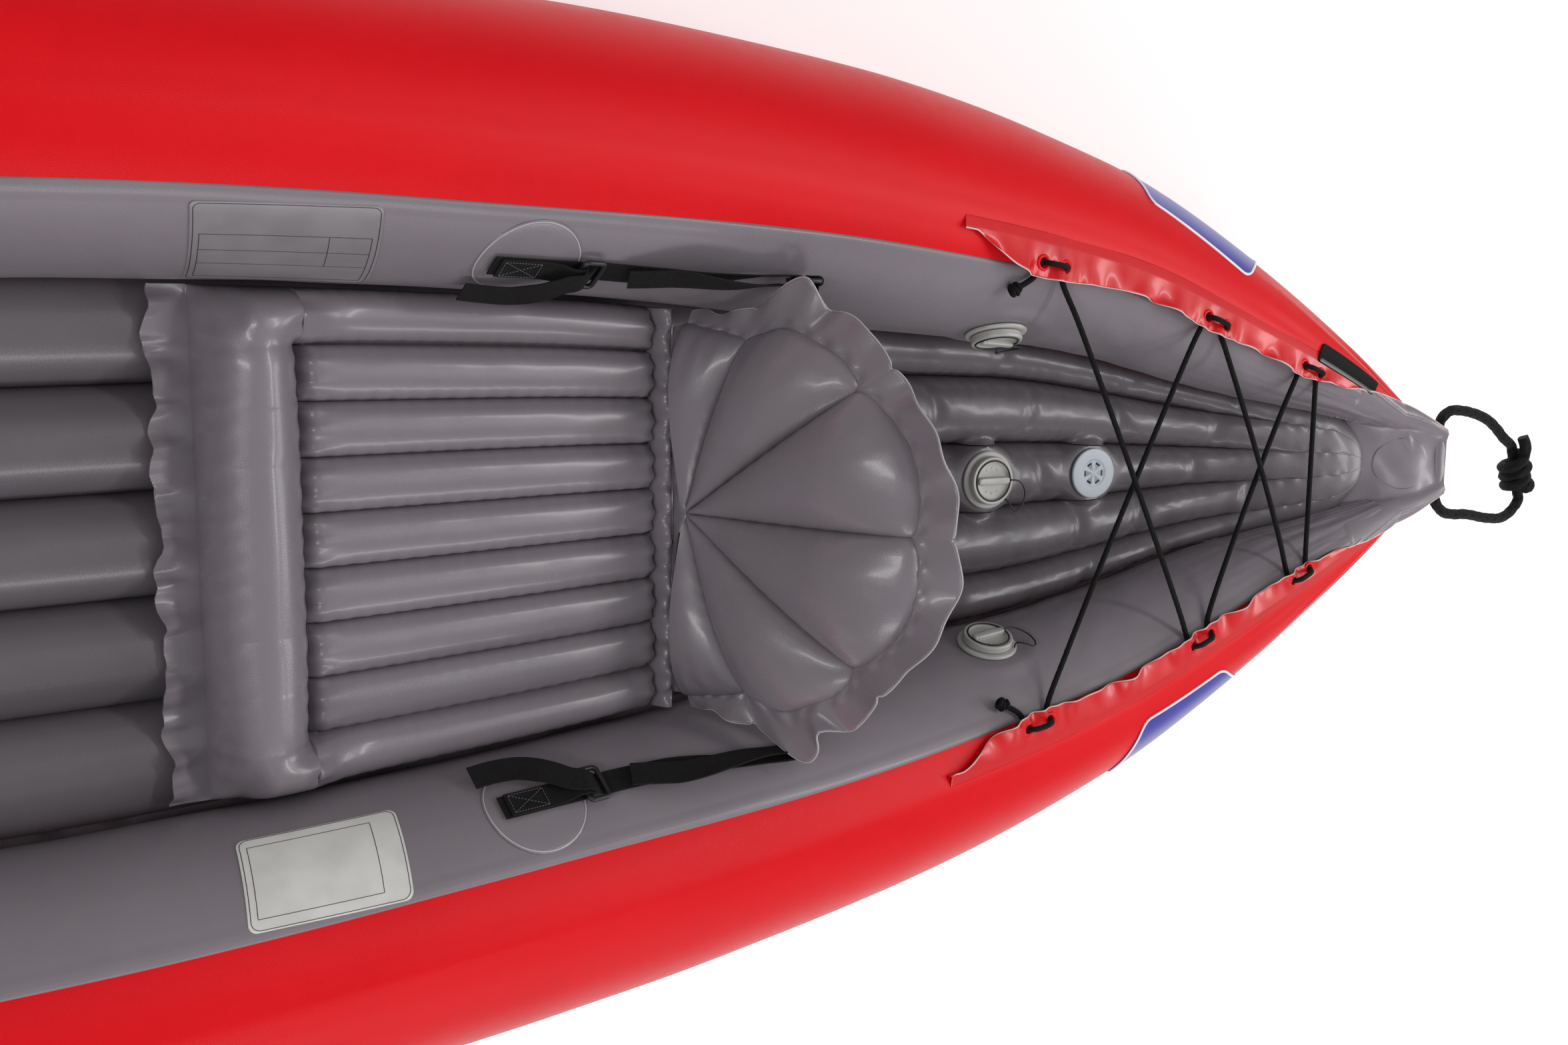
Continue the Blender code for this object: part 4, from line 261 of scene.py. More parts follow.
def grid_piece(name, points, mat, wrap=False, uvs=None, caps=False, smooth_deg=60.0):
    """A piece from a (rows, columns, 3) array of points."""
    rows, columns = points.shape[:2]
    faces = grid_faces(rows, columns, wrap)
    flat = list(points.reshape(-1, 3))
    if caps:
        faces.append(tuple(range(columns)))
        faces.append(tuple((rows - 1) * columns + j for j in range(columns)))
    flat_uvs = None if uvs is None else uvs.reshape(-1, 2)
    return make_mesh(name, flat, faces, mat, flat_uvs, smooth_deg)


def thicken(made, thickness, offset=1.0):
    """Gives a sheet its thickness on the mesh itself."""
    step = made.modifiers.new("thickness", "SOLIDIFY")
    step.thickness = thickness
    step.offset = offset
    apply_modifiers(made)


def cut_out(made, cutter):
    """Cuts the form of one piece out of another and removes the cutter."""
    step = made.modifiers.new("cut", "BOOLEAN")
    step.operation = "DIFFERENCE"
    step.solver = "EXACT"
    step.object = cutter
    apply_modifiers(made)
    bpy.data.objects.remove(cutter, do_unlink=True)


def delete_faces(made, is_gone):
    """Deletes the faces whose middles a test picks."""
    work = bmesh.new()
    work.from_mesh(made.data)
    gone = [face for face in work.faces if is_gone(face.calc_center_median())]
    bmesh.ops.delete(work, geom=gone, context="FACES")
    work.to_mesh(made.data)
    work.free()


def apply_modifiers(made):
    """Puts a piece's modifiers into its mesh."""
    graph = bpy.context.evaluated_depsgraph_get()
    graph.update()
    fresh = bpy.data.meshes.new_from_object(made.evaluated_get(graph))
    made.modifiers.clear()
    old = made.data
    made.data = fresh
    bpy.data.meshes.remove(old)


def turned(name, profile, mat, place, sides=64, smooth_deg=40.0, closed=False):
    """Turns (radius, height) points round the +Z of a frame."""
    points = []
    rows = []
    for radius, height in profile:
        row = []
        for j in range(1 if radius == 0 else sides):
            angle = 2 * math.pi * j / sides
            row.append(len(points))
            points.append(place @ Vector((radius * math.cos(angle), radius * math.sin(angle), height)))
        rows.append(row)
    faces = []
    pairs = list(zip(rows, rows[1:])) + ([(rows[-1], rows[0])] if closed else [])
    for a, b in pairs:
        for j in range(sides):
            k = (j + 1) % sides
            ring = [a[j % len(a)], a[k % len(a)], b[k % len(b)], b[j % len(b)]]
            faces.append(tuple(dict.fromkeys(ring)))
    return make_mesh(name, points, faces, mat, smooth_deg=smooth_deg)


def round_corners(profile, radius, steps=4, closed=False):
    """Rounds the corners of a (radius, height) profile; end points stay."""
    done = []
    count = len(profile)
    for i, here in enumerate(profile):
        if not closed and i in (0, count - 1):
            done.append(here)
            continue
        here = np.array(here, float)
        before = np.array(profile[i - 1], float)
        after = np.array(profile[(i + 1) % count], float)
        back, ahead = before - here, after - here
        cut = min(radius, np.linalg.norm(back) * 0.45, np.linalg.norm(ahead) * 0.45)
        first = here + back / max(np.linalg.norm(back), 1e-9) * cut
        last = here + ahead / max(np.linalg.norm(ahead), 1e-9) * cut
        for k in range(steps + 1):
            t = k / steps
            point = (1 - t) ** 2 * first + 2 * t * (1 - t) * here + t * t * last
            done.append((float(max(point[0], 0.0)), float(point[1])))
    return done


def frame_at(origin, out, near):
    """Builds a frame with +Z along out and +X as close to near as it can be."""
    z = Vector(out).normalized()
    x = Vector(near)
    x = (x - z * x.dot(z)).normalized()
    y = z.cross(x)
    made = Matrix((x, y, z)).transposed().to_4x4()
    made.translation = Vector(origin)
    return made


def smooth_route(points, count, density=None):
    """Samples a centripetal Catmull-Rom curve, with steps as short as each route point asks."""
    p = [np.asarray(q, float) for q in points]
    weight = [1.0] * len(p) if density is None else list(density)
    p = [2 * p[0] - p[1]] + p + [2 * p[-1] - p[-2]]
    fine = []
    dense = []
    steps = 24
    for i in range(1, len(p) - 2):
        a, b, c, d = p[i - 1], p[i], p[i + 1], p[i + 2]
        t1 = math.sqrt(np.linalg.norm(b - a))
        t2 = t1 + math.sqrt(np.linalg.norm(c - b))
        t3 = t2 + math.sqrt(np.linalg.norm(d - c))
        for k in range(steps):
            t = t1 + (t2 - t1) * k / steps
            a1 = (t1 - t) / t1 * a + t / t1 * b
            a2 = (t2 - t) / (t2 - t1) * b + (t - t1) / (t2 - t1) * c
            a3 = (t3 - t) / (t3 - t2) * c + (t - t2) / (t3 - t2) * d
            b1 = (t2 - t) / t2 * a1 + t / t2 * a2
            b2 = (t3 - t) / (t3 - t1) * a2 + (t - t1) / (t3 - t1) * a3
            fine.append((t2 - t) / (t2 - t1) * b1 + (t - t1) / (t2 - t1) * b2)
            dense.append(weight[i - 1] + (weight[i] - weight[i - 1]) * k / steps)
    fine.append(p[-2])
    fine = np.array(fine)
    run = np.concatenate([[0.0], np.cumsum(np.linalg.norm(np.diff(fine, axis=0), axis=1) * np.array(dense))])
    at = np.linspace(0.0, run[-1], count)
    return np.array([[np.interp(s, run, fine[:, i]) for i in range(3)] for s in at])


def route_run(route):
    """Distance along a line at each of its points."""
    steps = np.linalg.norm(np.diff(np.asarray(route, float), axis=0), axis=1)
    return np.concatenate([[0.0], np.cumsum(steps)])


def route_length(route):
    """Length of a line through points."""
    return float(route_run(route)[-1])


def route_frames(route):
    """Two cross directions that don't twist along a route."""
    route = np.asarray(route, float)
    tangent = np.gradient(route, axis=0)
    tangent /= np.linalg.norm(tangent, axis=1)[:, None]
    start = np.array([0.0, 0.0, 1.0])
    if abs(tangent[0] @ start) > 0.9:
        start = np.array([0.0, 1.0, 0.0])
    first = []
    side = start - tangent[0] * (start @ tangent[0])
    for t in tangent:
        side = side - t * (side @ t)
        side /= np.linalg.norm(side)
        first.append(side)
    first = np.array(first)
    return first, np.cross(tangent, first)


def braided_cord(name, route, radius, mat, strands=8, sides=32, depth_share=0.16, step_share=0.35):
    """A braided cord as a mesh tube: two sets of strands cross over and under along it."""
    total = route_length(route)
    count = max(8, int(total / (radius * step_share)))
    fine = smooth_route(route, count)
    first, second = route_frames(fine)
    run = route_run(fine)
    angle = np.linspace(0, 2 * math.pi, sides, endpoint=False)[None, :]
    phase = run[:, None] / (radius * BRAID_PITCH_SHARE) * 2 * math.pi
    half = strands / 2
    left = np.abs(np.sin((half * angle + phase * half / 2) / 2))
    right = np.abs(np.sin((half * angle - phase * half / 2) / 2))
    over = 0.5 + 0.5 * np.sin(half * angle) * np.sin(phase * half / 2)
    bulge = over * left + (1 - over) * right
    size = radius * (1 - depth_share + depth_share * bulge)
    points = (fine[:, None, :] + first[:, None, :] * (np.cos(angle) * size)[..., None]
              + second[:, None, :] * (np.sin(angle) * size)[..., None])
    uvs = np.stack([run[:, None] + 0 * size, angle * radius + 0 * size], axis=-1)
    made = grid_piece(name, points, mat, wrap=True, uvs=uvs, caps=True, smooth_deg=80.0)
    return made, [tuple(p) for p in fine]


def fine_line(name, route, radius, mat, sides=8, step_share=3.0):
    """A thin plain line along a route: a cut edge, a weld or a printed rule."""
    return braided_cord(name, route, radius, mat, strands=2, sides=sides, depth_share=0.02,
                        step_share=step_share)[0]


# Materials

WEAVE_PITCH = 0.0016


def new_material(name):
    """An empty node material with its shader."""
    made = bpy.data.materials.new(name)
    made.use_nodes = True
    tree = made.node_tree
    return made, tree, tree.nodes["Principled BSDF"]


def add_node(tree, kind, **settings):
    """Adds a node and sets its plain settings."""
    made = tree.nodes.new(kind)
    for key, value in settings.items():
        setattr(made, key, value)
    return made


def math_node(tree, operation, first, second=0.5):
    """Adds a math node with links or numbers as inputs."""
    made = add_node(tree, "ShaderNodeMath", operation=operation)
    for socket, value in zip(made.inputs, (first, second)):
        if isinstance(value, (int, float)):
            socket.default_value = value
        else:
            tree.links.new(value, socket)
    return made.outputs[0]


def crossing_waves(tree, coords, pitch, second_pitch):
    """Sine waves along the two chosen coordinates, for the threads of a weave."""
    split = add_node(tree, "ShaderNodeSeparateXYZ")
    tree.links.new(coords, split.inputs[0])
    waves = []
    for axis, length in enumerate((pitch, second_pitch)):
        turns = math_node(tree, "MULTIPLY", split.outputs[axis], 2 * math.pi / length)
        waves.append(math_node(tree, "SINE", turns, 0.0))
    return waves


def add_noise(tree, place, scale, detail=2.0, distortion=0.0):
    """Adds a noise texture over the object's own space."""
    made = add_node(tree, "ShaderNodeTexNoise")
    made.inputs["Scale"].default_value = scale
    made.inputs["Detail"].default_value = detail
    made.inputs["Distortion"].default_value = distortion
    tree.links.new(place.outputs["Object"], made.inputs["Vector"])
    return made.outputs["Fac"]


def add_tones(tree, shader, shade, colour, tones, stops):
    """Colours a shader from a darker to a lighter tone of a colour."""
    ramp = add_node(tree, "ShaderNodeValToRGB")
    for element, tone, stop in zip(ramp.color_ramp.elements, tones, stops):
        element.position = stop
        element.color = (*[min(1.0, c * tone) for c in colour], 1.0)
    tree.links.new(shade, ramp.inputs["Fac"])
    tree.links.new(ramp.outputs["Color"], shader.inputs["Base Color"])


def add_gloss(tree, shader, shade, roughness, spread):
    """Makes a shader's roughness uneven round its value."""
    gloss = add_node(tree, "ShaderNodeMapRange")
    gloss.inputs["To Min"].default_value = roughness * (1 - spread)
    gloss.inputs["To Max"].default_value = roughness * (1 + spread)
    tree.links.new(shade, gloss.inputs["Value"])
    tree.links.new(gloss.outputs["Result"], shader.inputs["Roughness"])


def add_bump(tree, height, strength, distance, under=None):
    """Adds a bump over a height, on top of another bump where one is given."""
    made = add_node(tree, "ShaderNodeBump")
    made.inputs["Strength"].default_value = strength
    made.inputs["Distance"].default_value = distance
    tree.links.new(height, made.inputs["Height"])
    if under is not None:
        tree.links.new(under, made.inputs["Normal"])
    return made.outputs["Normal"]


def fabric(name, colour, coords="UV", roughness=0.34, coat=0.25, spots=0.05, weave=0.35, creases=0.15,
           level=0.5):
    """Coated fabric: a weave under a smooth glossy coat, fine creases and uneven colour and gloss."""
    made, tree, shader = new_material(name)
    place = add_node(tree, "ShaderNodeTexCoord")
    broad = math_node(tree, "MULTIPLY", add_noise(tree, place, 5.0, 4.0), 0.7)
    fine = add_noise(tree, place, 60.0, 6.0)
    shade = math_node(tree, "ADD", broad, math_node(tree, "MULTIPLY", fine, 0.3))
    add_tones(tree, shader, shade, colour, (1 - spots, 1 + spots), (0.3, 0.7))
    add_gloss(tree, shader, fine, roughness, 0.18)
    shader.inputs["Coat Weight"].default_value = coat
    shader.inputs["Coat Roughness"].default_value = 0.16
    shader.inputs["Specular IOR Level"].default_value = level
    across, along = crossing_waves(tree, place.outputs[coords], WEAVE_PITCH, WEAVE_PITCH)
    threads = add_bump(tree, math_node(tree, "MULTIPLY", across, along), weave, 0.00012)
    folds = add_bump(tree, add_noise(tree, place, 22.0, 3.0, 0.8), creases, 0.0012, threads)
    tree.links.new(folds, shader.inputs["Normal"])
    return made


def plastic(name, colour, roughness=0.38, grain=260.0, depth=0.00006, metallic=0.0):
    """Moulded plastic, rubber or metal with a fine grain and slightly uneven gloss."""
    made, tree, shader = new_material(name)
    place = add_node(tree, "ShaderNodeTexCoord")
    broad = add_noise(tree, place, 40.0)
    add_tones(tree, shader, broad, colour, (0.94, 1.06), (0.35, 0.65))
    add_gloss(tree, shader, broad, roughness, 0.15)
    shader.inputs["Metallic"].default_value = metallic
    grains = add_bump(tree, add_noise(tree, place, grain, 3.0), 0.3, depth)
    tree.links.new(grains, shader.inputs["Normal"])
    return made


def webbing_material(name, colour, rib=0.0016):
    """Woven webbing: ribs across and fine threads along, over UVs in metres."""
    made, tree, shader = new_material(name)
    place = add_node(tree, "ShaderNodeTexCoord")
    ribs, threads = crossing_waves(tree, place.outputs["UV"], rib, rib / 1.3)
    height = math_node(tree, "ADD", math_node(tree, "MULTIPLY", ribs, threads),
                       math_node(tree, "MULTIPLY", ribs, 0.5))
    tree.links.new(add_bump(tree, height, 0.8, 0.0003), shader.inputs["Normal"])
    # The colour follows the weave's height, lighter on the rib tops and darker in the grooves: painted light
    # and shade, over a random fuzz tone.
    fuzz = add_noise(tree, place, 180.0)
    shade = math_node(tree, "ADD", math_node(tree, "MULTIPLY", height, 0.25), fuzz)
    add_tones(tree, shader, shade, colour, (0.6, 1.7), (0.0, 1.0))
    for socket, value in (("Roughness", 0.62), ("Specular IOR Level", 0.14), ("Sheen Weight", 0.02),
                          ("Sheen Roughness", 0.5)):
        shader.inputs[socket].default_value = value
    return made


RED = fabric("red_coated_fabric", (0.66, 0.0020, 0.0070), roughness=0.36, coat=0.0, weave=0.45,
             creases=0.10, level=0.16)
RED_LOOSE = fabric("red_loose_fabric", (0.60, 0.0035, 0.0080), roughness=0.26, coat=0.35, weave=0.40,
                   creases=0.22, level=0.35)
GREY = fabric("grey_coated_fabric", (0.198, 0.175, 0.196), roughness=0.32, coat=0.15, level=0.25)
GREY_LOOSE = fabric("grey_inflated_fabric", (0.198, 0.175, 0.196), coords="Object", roughness=0.26, coat=0.30,
                    creases=0.22, level=0.35)
RAW_EDGE = fabric("pale_cut_edge", (0.72, 0.56, 0.52), roughness=0.6, coat=0.0, spots=0.10, weave=0.6,
                  creases=0.0)
EDGE_GREY = fabric("light_cut_edge", (0.40, 0.38, 0.40), roughness=0.6, coat=0.0, spots=0.10, weave=0.6,
                   creases=0.0)
# The floor's grey is the skins' grey made darker: painted shade, for the floor lying deep between the tubes.
SHADED_FLOOR_GREY = fabric("grey_floor_fabric_painted_shade", (0.118, 0.104, 0.116), roughness=0.28, level=0.30)
WEBBING = webbing_material("black_webbing", (0.0075, 0.0065, 0.0072))
BRAID = webbing_material("black_braid", (0.0055, 0.0048, 0.0052), rib=0.0011)
# Dark grey for the sewn threads, and for the painted shade line round the deck's patch.
THREAD_AND_SHADE_LINE = plastic("grey_thread_and_shade_line", (0.10, 0.10, 0.10), roughness=0.7, grain=900.0)
BLACK_PLASTIC = plastic("black_plastic_moulded", (0.014, 0.013, 0.014), roughness=0.36)
VALVE_PLASTIC = plastic("light_grey_plastic", (0.42, 0.41, 0.39), roughness=0.36)
RELIEF_PLASTIC = plastic("pale_blue_grey_plastic", (0.36, 0.39, 0.44), roughness=0.34)
RUBBER = plastic("black_rubber", (0.020, 0.020, 0.020), roughness=0.72)
STEEL = plastic("spring_steel", (0.55, 0.55, 0.56), roughness=0.25, metallic=1.0)
LANYARD = plastic("black_lanyard", (0.012, 0.012, 0.012), roughness=0.5, grain=700.0)
BADGE = plastic("blue_badge", (0.045, 0.040, 0.33), roughness=0.30, grain=500.0, depth=0.00003)
BADGE_EDGE = plastic("white_badge_edge", (0.80, 0.80, 0.82), roughness=0.32)
LABEL_PALE = plastic("off_white_label", (0.62, 0.61, 0.58), roughness=0.40)
LABEL_GREY = plastic("grey_label", (0.205, 0.188, 0.203), roughness=0.30)
LABEL_LINE = plastic("label_rule_line", (0.035, 0.033, 0.036), roughness=0.5)
PALE_LINE = plastic("pale_glue_line", (0.45, 0.45, 0.45), roughness=0.5)


# Camera, at the photograph's place

CAMERA_PLACE = (-0.2337, 0.2015, 1.2295)
CAMERA_TURN_DEG = (-9.407, -35.114, 0.623)
CAMERA_LENS = 38.27


def make_camera():
    """The photograph's viewpoint."""
    data = bpy.data.cameras.new("camera")
    data.lens = CAMERA_LENS
    data.sensor_width = 36.0
    data.clip_start = 0.01
    made = bpy.data.objects.new("camera", data)
    made.location = CAMERA_PLACE
    made.rotation_euler = Euler([math.radians(a) for a in CAMERA_TURN_DEG], "XYZ")
    bpy.context.scene.collection.objects.link(made)
    bpy.context.scene.camera = made


make_camera()


# Side tube surface; angles run from the top of a tube towards the cockpit

def tube_at(x):
    """Centre offset, centre height and smooth radius of a side tube at stations."""
    share = np.abs(x) / TUBE_END
    radius = TUBE_RADIUS * radius_share(share)
    centre = BEAM / 2 * outer_share(share) - radius
    height = TUBE_RADIUS * FACET_SHRINK + ROCKER * rise_share(share)
    return centre, height, radius


def tube_frame(side, x):
    """Centre points, inward and up directions, and radii of tube rings, as arrays."""
    x = np.asarray(x, float)
    step = TUBE_RADIUS * 0.02
    low = np.maximum(x - step, -TUBE_END)
    high = np.minimum(x + step, TUBE_END)
    y0, z0, unused = tube_at(low)
    y1, z1, unused = tube_at(high)
    along = np.stack([high - low, side * (y1 - y0), z1 - z0], axis=-1)
    along /= np.linalg.norm(along, axis=-1, keepdims=True)
    centre, height, radius = tube_at(x)
    inward = np.cross(along, np.array([0.0, 0.0, 1.0]))
    inward /= np.linalg.norm(inward, axis=-1, keepdims=True)
    inward = inward * np.where(inward[..., 1:2] * side > 0, -1.0, 1.0)
    up = np.cross(along, inward)
    up = up * np.where(up[..., 2:3] < 0, -1.0, 1.0)
    return np.stack([x, side * centre, height], axis=-1), inward, up, radius


def tube_surface(side, x, angle_deg, lift=0.0):
    """Points on the smooth tube at stations and angles, raised by lift."""
    x, angle_deg, lift = np.broadcast_arrays(*(np.asarray(v, float) for v in (x, angle_deg, lift)))
    place, inward, up, radius = tube_frame(side, x)
    angle = np.radians(angle_deg)
    size = radius * FACET_SHRINK + lift
    return place + inward * (np.sin(angle) * size)[..., None] + up * (np.cos(angle) * size)[..., None]


def tube_normal(side, x, angle_deg):
    """Outward directions of the smooth tube."""
    x, angle_deg = np.broadcast_arrays(np.asarray(x, float), np.asarray(angle_deg, float))
    inward, up = tube_frame(side, x)[1:3]
    angle = np.radians(angle_deg)
    return inward * np.sin(angle)[..., None] + up * np.cos(angle)[..., None]


TIP_OUT, TIP_HEIGHT, TIP_RADIUS = (float(v) for v in tube_at(TUBE_END))
SLEEVE = Vector((HALF_LENGTH - SLEEVE_RADIUS, 0, TIP_HEIGHT + TIP_RADIUS + END_TOP_RISE * 0.2))
WALL_X = np.linspace(-TUBE_END, TUBE_END, 361)
WALL_DEG = np.arange(180.0, 0.0, -3.0)
WALL = np.stack([tube_surface(1, WALL_X, a) for a in WALL_DEG])


def tube_wall(x, z):
    """How far out the smooth tube's inner wall is at a station and a height."""
    heights = [float(np.interp(x, line[:, 0], line[:, 2])) for line in WALL]
    walls = [float(np.interp(x, line[:, 0], line[:, 1])) for line in WALL]
    return float(np.interp(z, heights, walls))


def valve_frame(label):
    """A main valve's frame from its cap's joint: +Z out of the chamber, +X towards the stern."""
    joint = JOINTS[label + "_cap_turn"]
    return frame_at(joint["pos_m"], joint["axis"], (1, 0, 0))


def side_valve(side):
    """The frame of the valve on a side's tube."""
    return valve_frame("port_valve" if side < 0 else "starboard_valve")


def relief_frame():
    """The relief valve's seat plane, from its housing's own height along its poppet's axis."""
    node = frame["nodes"]["relief_valve_housing"]
    out = Vector(JOINTS["relief_valve_lift"]["axis"]).normalized()
    flat = frame_at((0, 0, 0), out, (1, 0, 0))
    local = [flat.inverted() @ (node.matrix_world @ v.co) for v in node.data.vertices]
    ahead = (min(p.x for p in local) + max(p.x for p in local)) / 2
    top = max(p.z for p in local)
    return frame_at(flat @ Vector((ahead, 0, top - RELIEF_THICKNESS - SEAT_GAP)), out, (1, 0, 0))


def flatten_seat(points, place, inner, outer, level):
    """Moves surface points onto a flat round seat, smoothly from its rim outwards."""
    matrix = np.array(place.inverted())
    local = points @ matrix[:3, :3].T + matrix[:3, 3]
    away = np.hypot(local[..., 0], local[..., 1])
    share = 1 - ease((away - inner) / (outer - inner))
    share = np.where(np.abs(local[..., 2]) < outer, share, 0.0)
    local[..., 2] += (level - local[..., 2]) * share
    back = np.array(place)
    return local @ back[:3, :3].T + back[:3, 3]


def cut_round(made, place, radius):
    """Removes the faces inside a round opening of a skin."""
    inverse = place.inverted()

    def inside(middle):
        local = inverse @ middle
        return math.hypot(local.x, local.y) < radius and abs(local.z) < radius
    delete_faces(made, inside)


def end_creases(x, angle_deg):
    """Fine lengthwise puckers where a tube narrows to its tip."""
    narrow = ease((np.abs(x) / TUBE_END - 0.72) / 0.28)
    turn = np.radians(angle_deg)
    wave = ripple(turn * 9.0, x * 14.0, 0.7) + 0.5 * ripple(turn * 21.0, x * 30.0, 2.2)
    return CREASE_DEPTH * narrow * wave


def ridge(at, middle, half, soft):
    """A flat raised band with soft edges."""
    return ease((half - np.abs(at - middle)) / soft + 0.5)


def make_tube(name, side):
    """The red side tube, smooth and round, with its welded seams."""
    x = np.linspace(-TUBE_END, TUBE_END, 421)[:, None]
    angles = np.linspace(-180.0, 180.0, 120, endpoint=False)[None, :]
    unused, unused, radius = tube_at(x)
    arc = np.radians(angles) * radius
    along = x + 0 * angles
    fade = ease((1 - np.abs(along) / TUBE_END) * 6)
    upper = np.radians(RED_SEAM_DEG + 3.0 * np.sin(along * 2.2)) * radius
    outer = np.radians(RED_OUTER_SEAM_DEG) * radius
    lift = SEAM_RIDGE * fade * (ridge(arc, upper, 0.007, 0.003) + ridge(arc, outer, 0.009, 0.003))
    lift = lift + end_creases(along, angles)
    lift = lift + 0.0004 * ripple(along * 21, np.radians(angles) * 2.3, side * 1.3)
    points = tube_surface(side, along, angles + 0 * x, lift)
    points[..., 2] = np.maximum(points[..., 2], 0.0)
    place = side_valve(side)
    points = flatten_seat(points, place, VALVE_FLANGE_RADIUS + FLAT_RIM, VALVE_FLANGE_RADIUS + 0.018,
                          -SKIN - 0.0004)
    uvs = np.stack([along, arc + 0 * along], axis=-1)
    made = grid_piece(name, points, RED, wrap=True, uvs=uvs, caps=True)
    cut_round(made, place, VALVE_CUP_RADIUS + 0.002)
    return made


def tip_edge():
    """The grey skin's free edge from the flaps' ends over the tubes' tips to the sleeve's corners."""
    first = [float(v) for v in tube_at(TIP_START)]
    lean = math.radians(PANEL_MIDDLE_DEG - PANEL_CLIMB_DEG)
    return smooth_curve((TIP_START, TUBE_END, SLEEVE.x),
                        (first[0] - first[2] * math.sin(lean), TIP_OUT + TIP_RADIUS * TIP_COVER,
                         END_HALF_WIDTH))


deck_edge = tip_edge()


def panel_top(x):
    """Angle of the panel's upper weld, which climbs the tube towards the ends."""
    weld = PANEL_MIDDLE_DEG - PANEL_CLIMB_DEG * ease((np.abs(x) - 0.30) / 0.35)
    centre, unused, radius = tube_at(x)
    reach = (centre - deck_edge(np.abs(x)) + DECK_CLEAR / 2) / radius
    tip = np.degrees(np.arcsin(np.clip(reach, -0.9, 0.9)))
    return np.where(np.abs(x) > TIP_START, tip, weld)


def make_panel(name, side):
    """The grey inner skin welded over the cockpit side of a tube, its edges turned in."""
    end = TUBE_END * PANEL_X_SHARE
    x = np.linspace(-end, end, 421)[:, None]
    spread = np.concatenate([[0.0, 0.25, 0.6], np.linspace(1.2, 84.8, 64), [85.4, 85.75, 86.0]]) / 86.0
    upper = panel_top(x)
    angles = upper + (PANEL_LOW_DEG - upper) * spread[None, :]
    unused, unused, radius = tube_at(x)
    along = x + 0 * angles
    turn = np.radians(angles)
    arc = turn * radius
    edge = np.minimum(arc - arc[:, :1], arc[:, -1:] - arc)
    round_edge = np.sqrt(np.clip(edge / PANEL_EDGE_ROUND, 0, 1))
    loose = ease((np.abs(along) - 0.62) / 0.2)
    waves = end_creases(along, angles) + 0.0005 * ripple(along * 24, turn * 3.1, side * 2.3)
    waves = waves + 0.0009 * loose * np.abs(ripple(along * 55, turn * 5.0, 1.1 + side))
    weld = 0.0004 * ridge(edge, 0.0065, 0.0045, 0.0025)
    lift = weld - PANEL_TUCK + (SKIN + PANEL_TUCK + waves) * round_edge
    points = tube_surface(side, along, angles + 0 * x, lift)
    place = side_valve(side)
    points = flatten_seat(points, place, VALVE_FLANGE_RADIUS + FLAT_RIM, VALVE_FLANGE_RADIUS + 0.020, -0.0002)
    uvs = np.stack([along, arc + 0 * along], axis=-1)
    made = grid_piece(name, points, GREY, uvs=uvs)
    cut_round(made, place, VALVE_CUP_RADIUS + 0.002)
    return made


# Floor

def floor_section(x, top_steps=16, low_steps=8):
    """Smooth outline of the floor across the hull, with the lane number and height share of each point."""
    share = abs(x) / FLOOR_END
    unused, height, radius = (float(v) for v in tube_at(x))
    scale = radius / TUBE_RADIUS
    bottom = height - radius * FACET_SHRINK
    seam = float(tube_surface(1, x, FLOOR_TUBE_ANGLE_DEG)[2])
    crown = bottom + FLOOR_HEIGHT * scale ** 0.6
    reach = tube_wall(x, seam) - RUN_GAP
    to_end = FLOOR_END - abs(x)
    round_off = math.sqrt(max(0.0, 1 - max(0.0, 1 - to_end / FLOOR_END_ROUND) ** 2))
    merge_length = FLOOR_END - FLOOR_END_ROUND - FLOOR_MERGE_START
    merge = float(ease((abs(x) - FLOOR_MERGE_START) / merge_length))
    edge = (reach - FLOOR_EDGE_FLANGE * scale * (1 - 0.7 * merge)) * max(round_off, 0.02)
    pitch = min(FLOOR_CHANNEL_WIDTH * float(floor_pitch_share(share)), edge * FLOOR_INNER_SHARE)
    pitch = pitch + (edge * 0.40 - pitch) * merge
    neck = min(0.010, (crown - seam) / 2, (seam - bottom)) * 0.25
    flange = min(FLOOR_FLANGE_THICKNESS / 2, neck)
    crown = seam + (crown - seam) * (0.12 + 0.88 * round_off)
    bulge = 0.97 * merge
    seams = [-edge, -1.5 * pitch, -0.5 * pitch, 0.5 * pitch, 1.5 * pitch, edge]
    rims = []
    for sign in (1, -1):
        out = tube_wall(x, seam + sign * flange) - RUN_GAP
        rims.append([(out, seam + sign * flange), ((out + edge) / 2, seam + sign * flange)])
    top = [(-y, z, -1, 0.0) for y, z in rims[0]]
    low = [(-y, z, -1, 0.0) for y, z in rims[1]]
    for lane, (a, b) in enumerate(zip(seams, seams[1:])):
        middle = (a + b) / 2
        half = (b - a) / 2
        full = min(1.0, half / (FLOOR_CHANNEL_WIDTH / 2)) ** 0.5
        for k in range(top_steps):
            u = -math.cos(math.pi * k / top_steps)
            swell = (1 - abs(u) ** 2.0) ** 0.5
            whole = max(0.0, 1 - abs((middle + u * half) / max(edge, 1e-6)) ** 3.2) ** 0.5
            rise = swell * full * (1 - bulge) + whole * bulge
            top.append((middle + u * half, seam + neck + (crown - seam - neck) * rise, lane, swell))
        for k in range(low_steps):
            u = -math.cos(math.pi * k / low_steps)
            swell = (1 - abs(u) ** 4.0) ** 0.5
            low.append((middle + u * half, seam - neck - (seam - neck - bottom) * swell, lane, -swell))
    top += [(edge, seam + neck, 5, 0.0)] + [(y, z, 5, 0.0) for y, z in reversed(rims[0])]
    low += [(edge, seam - neck, 5, 0.0)] + [(y, z, 5, 0.0) for y, z in reversed(rims[1])]
    return low + list(reversed(top))


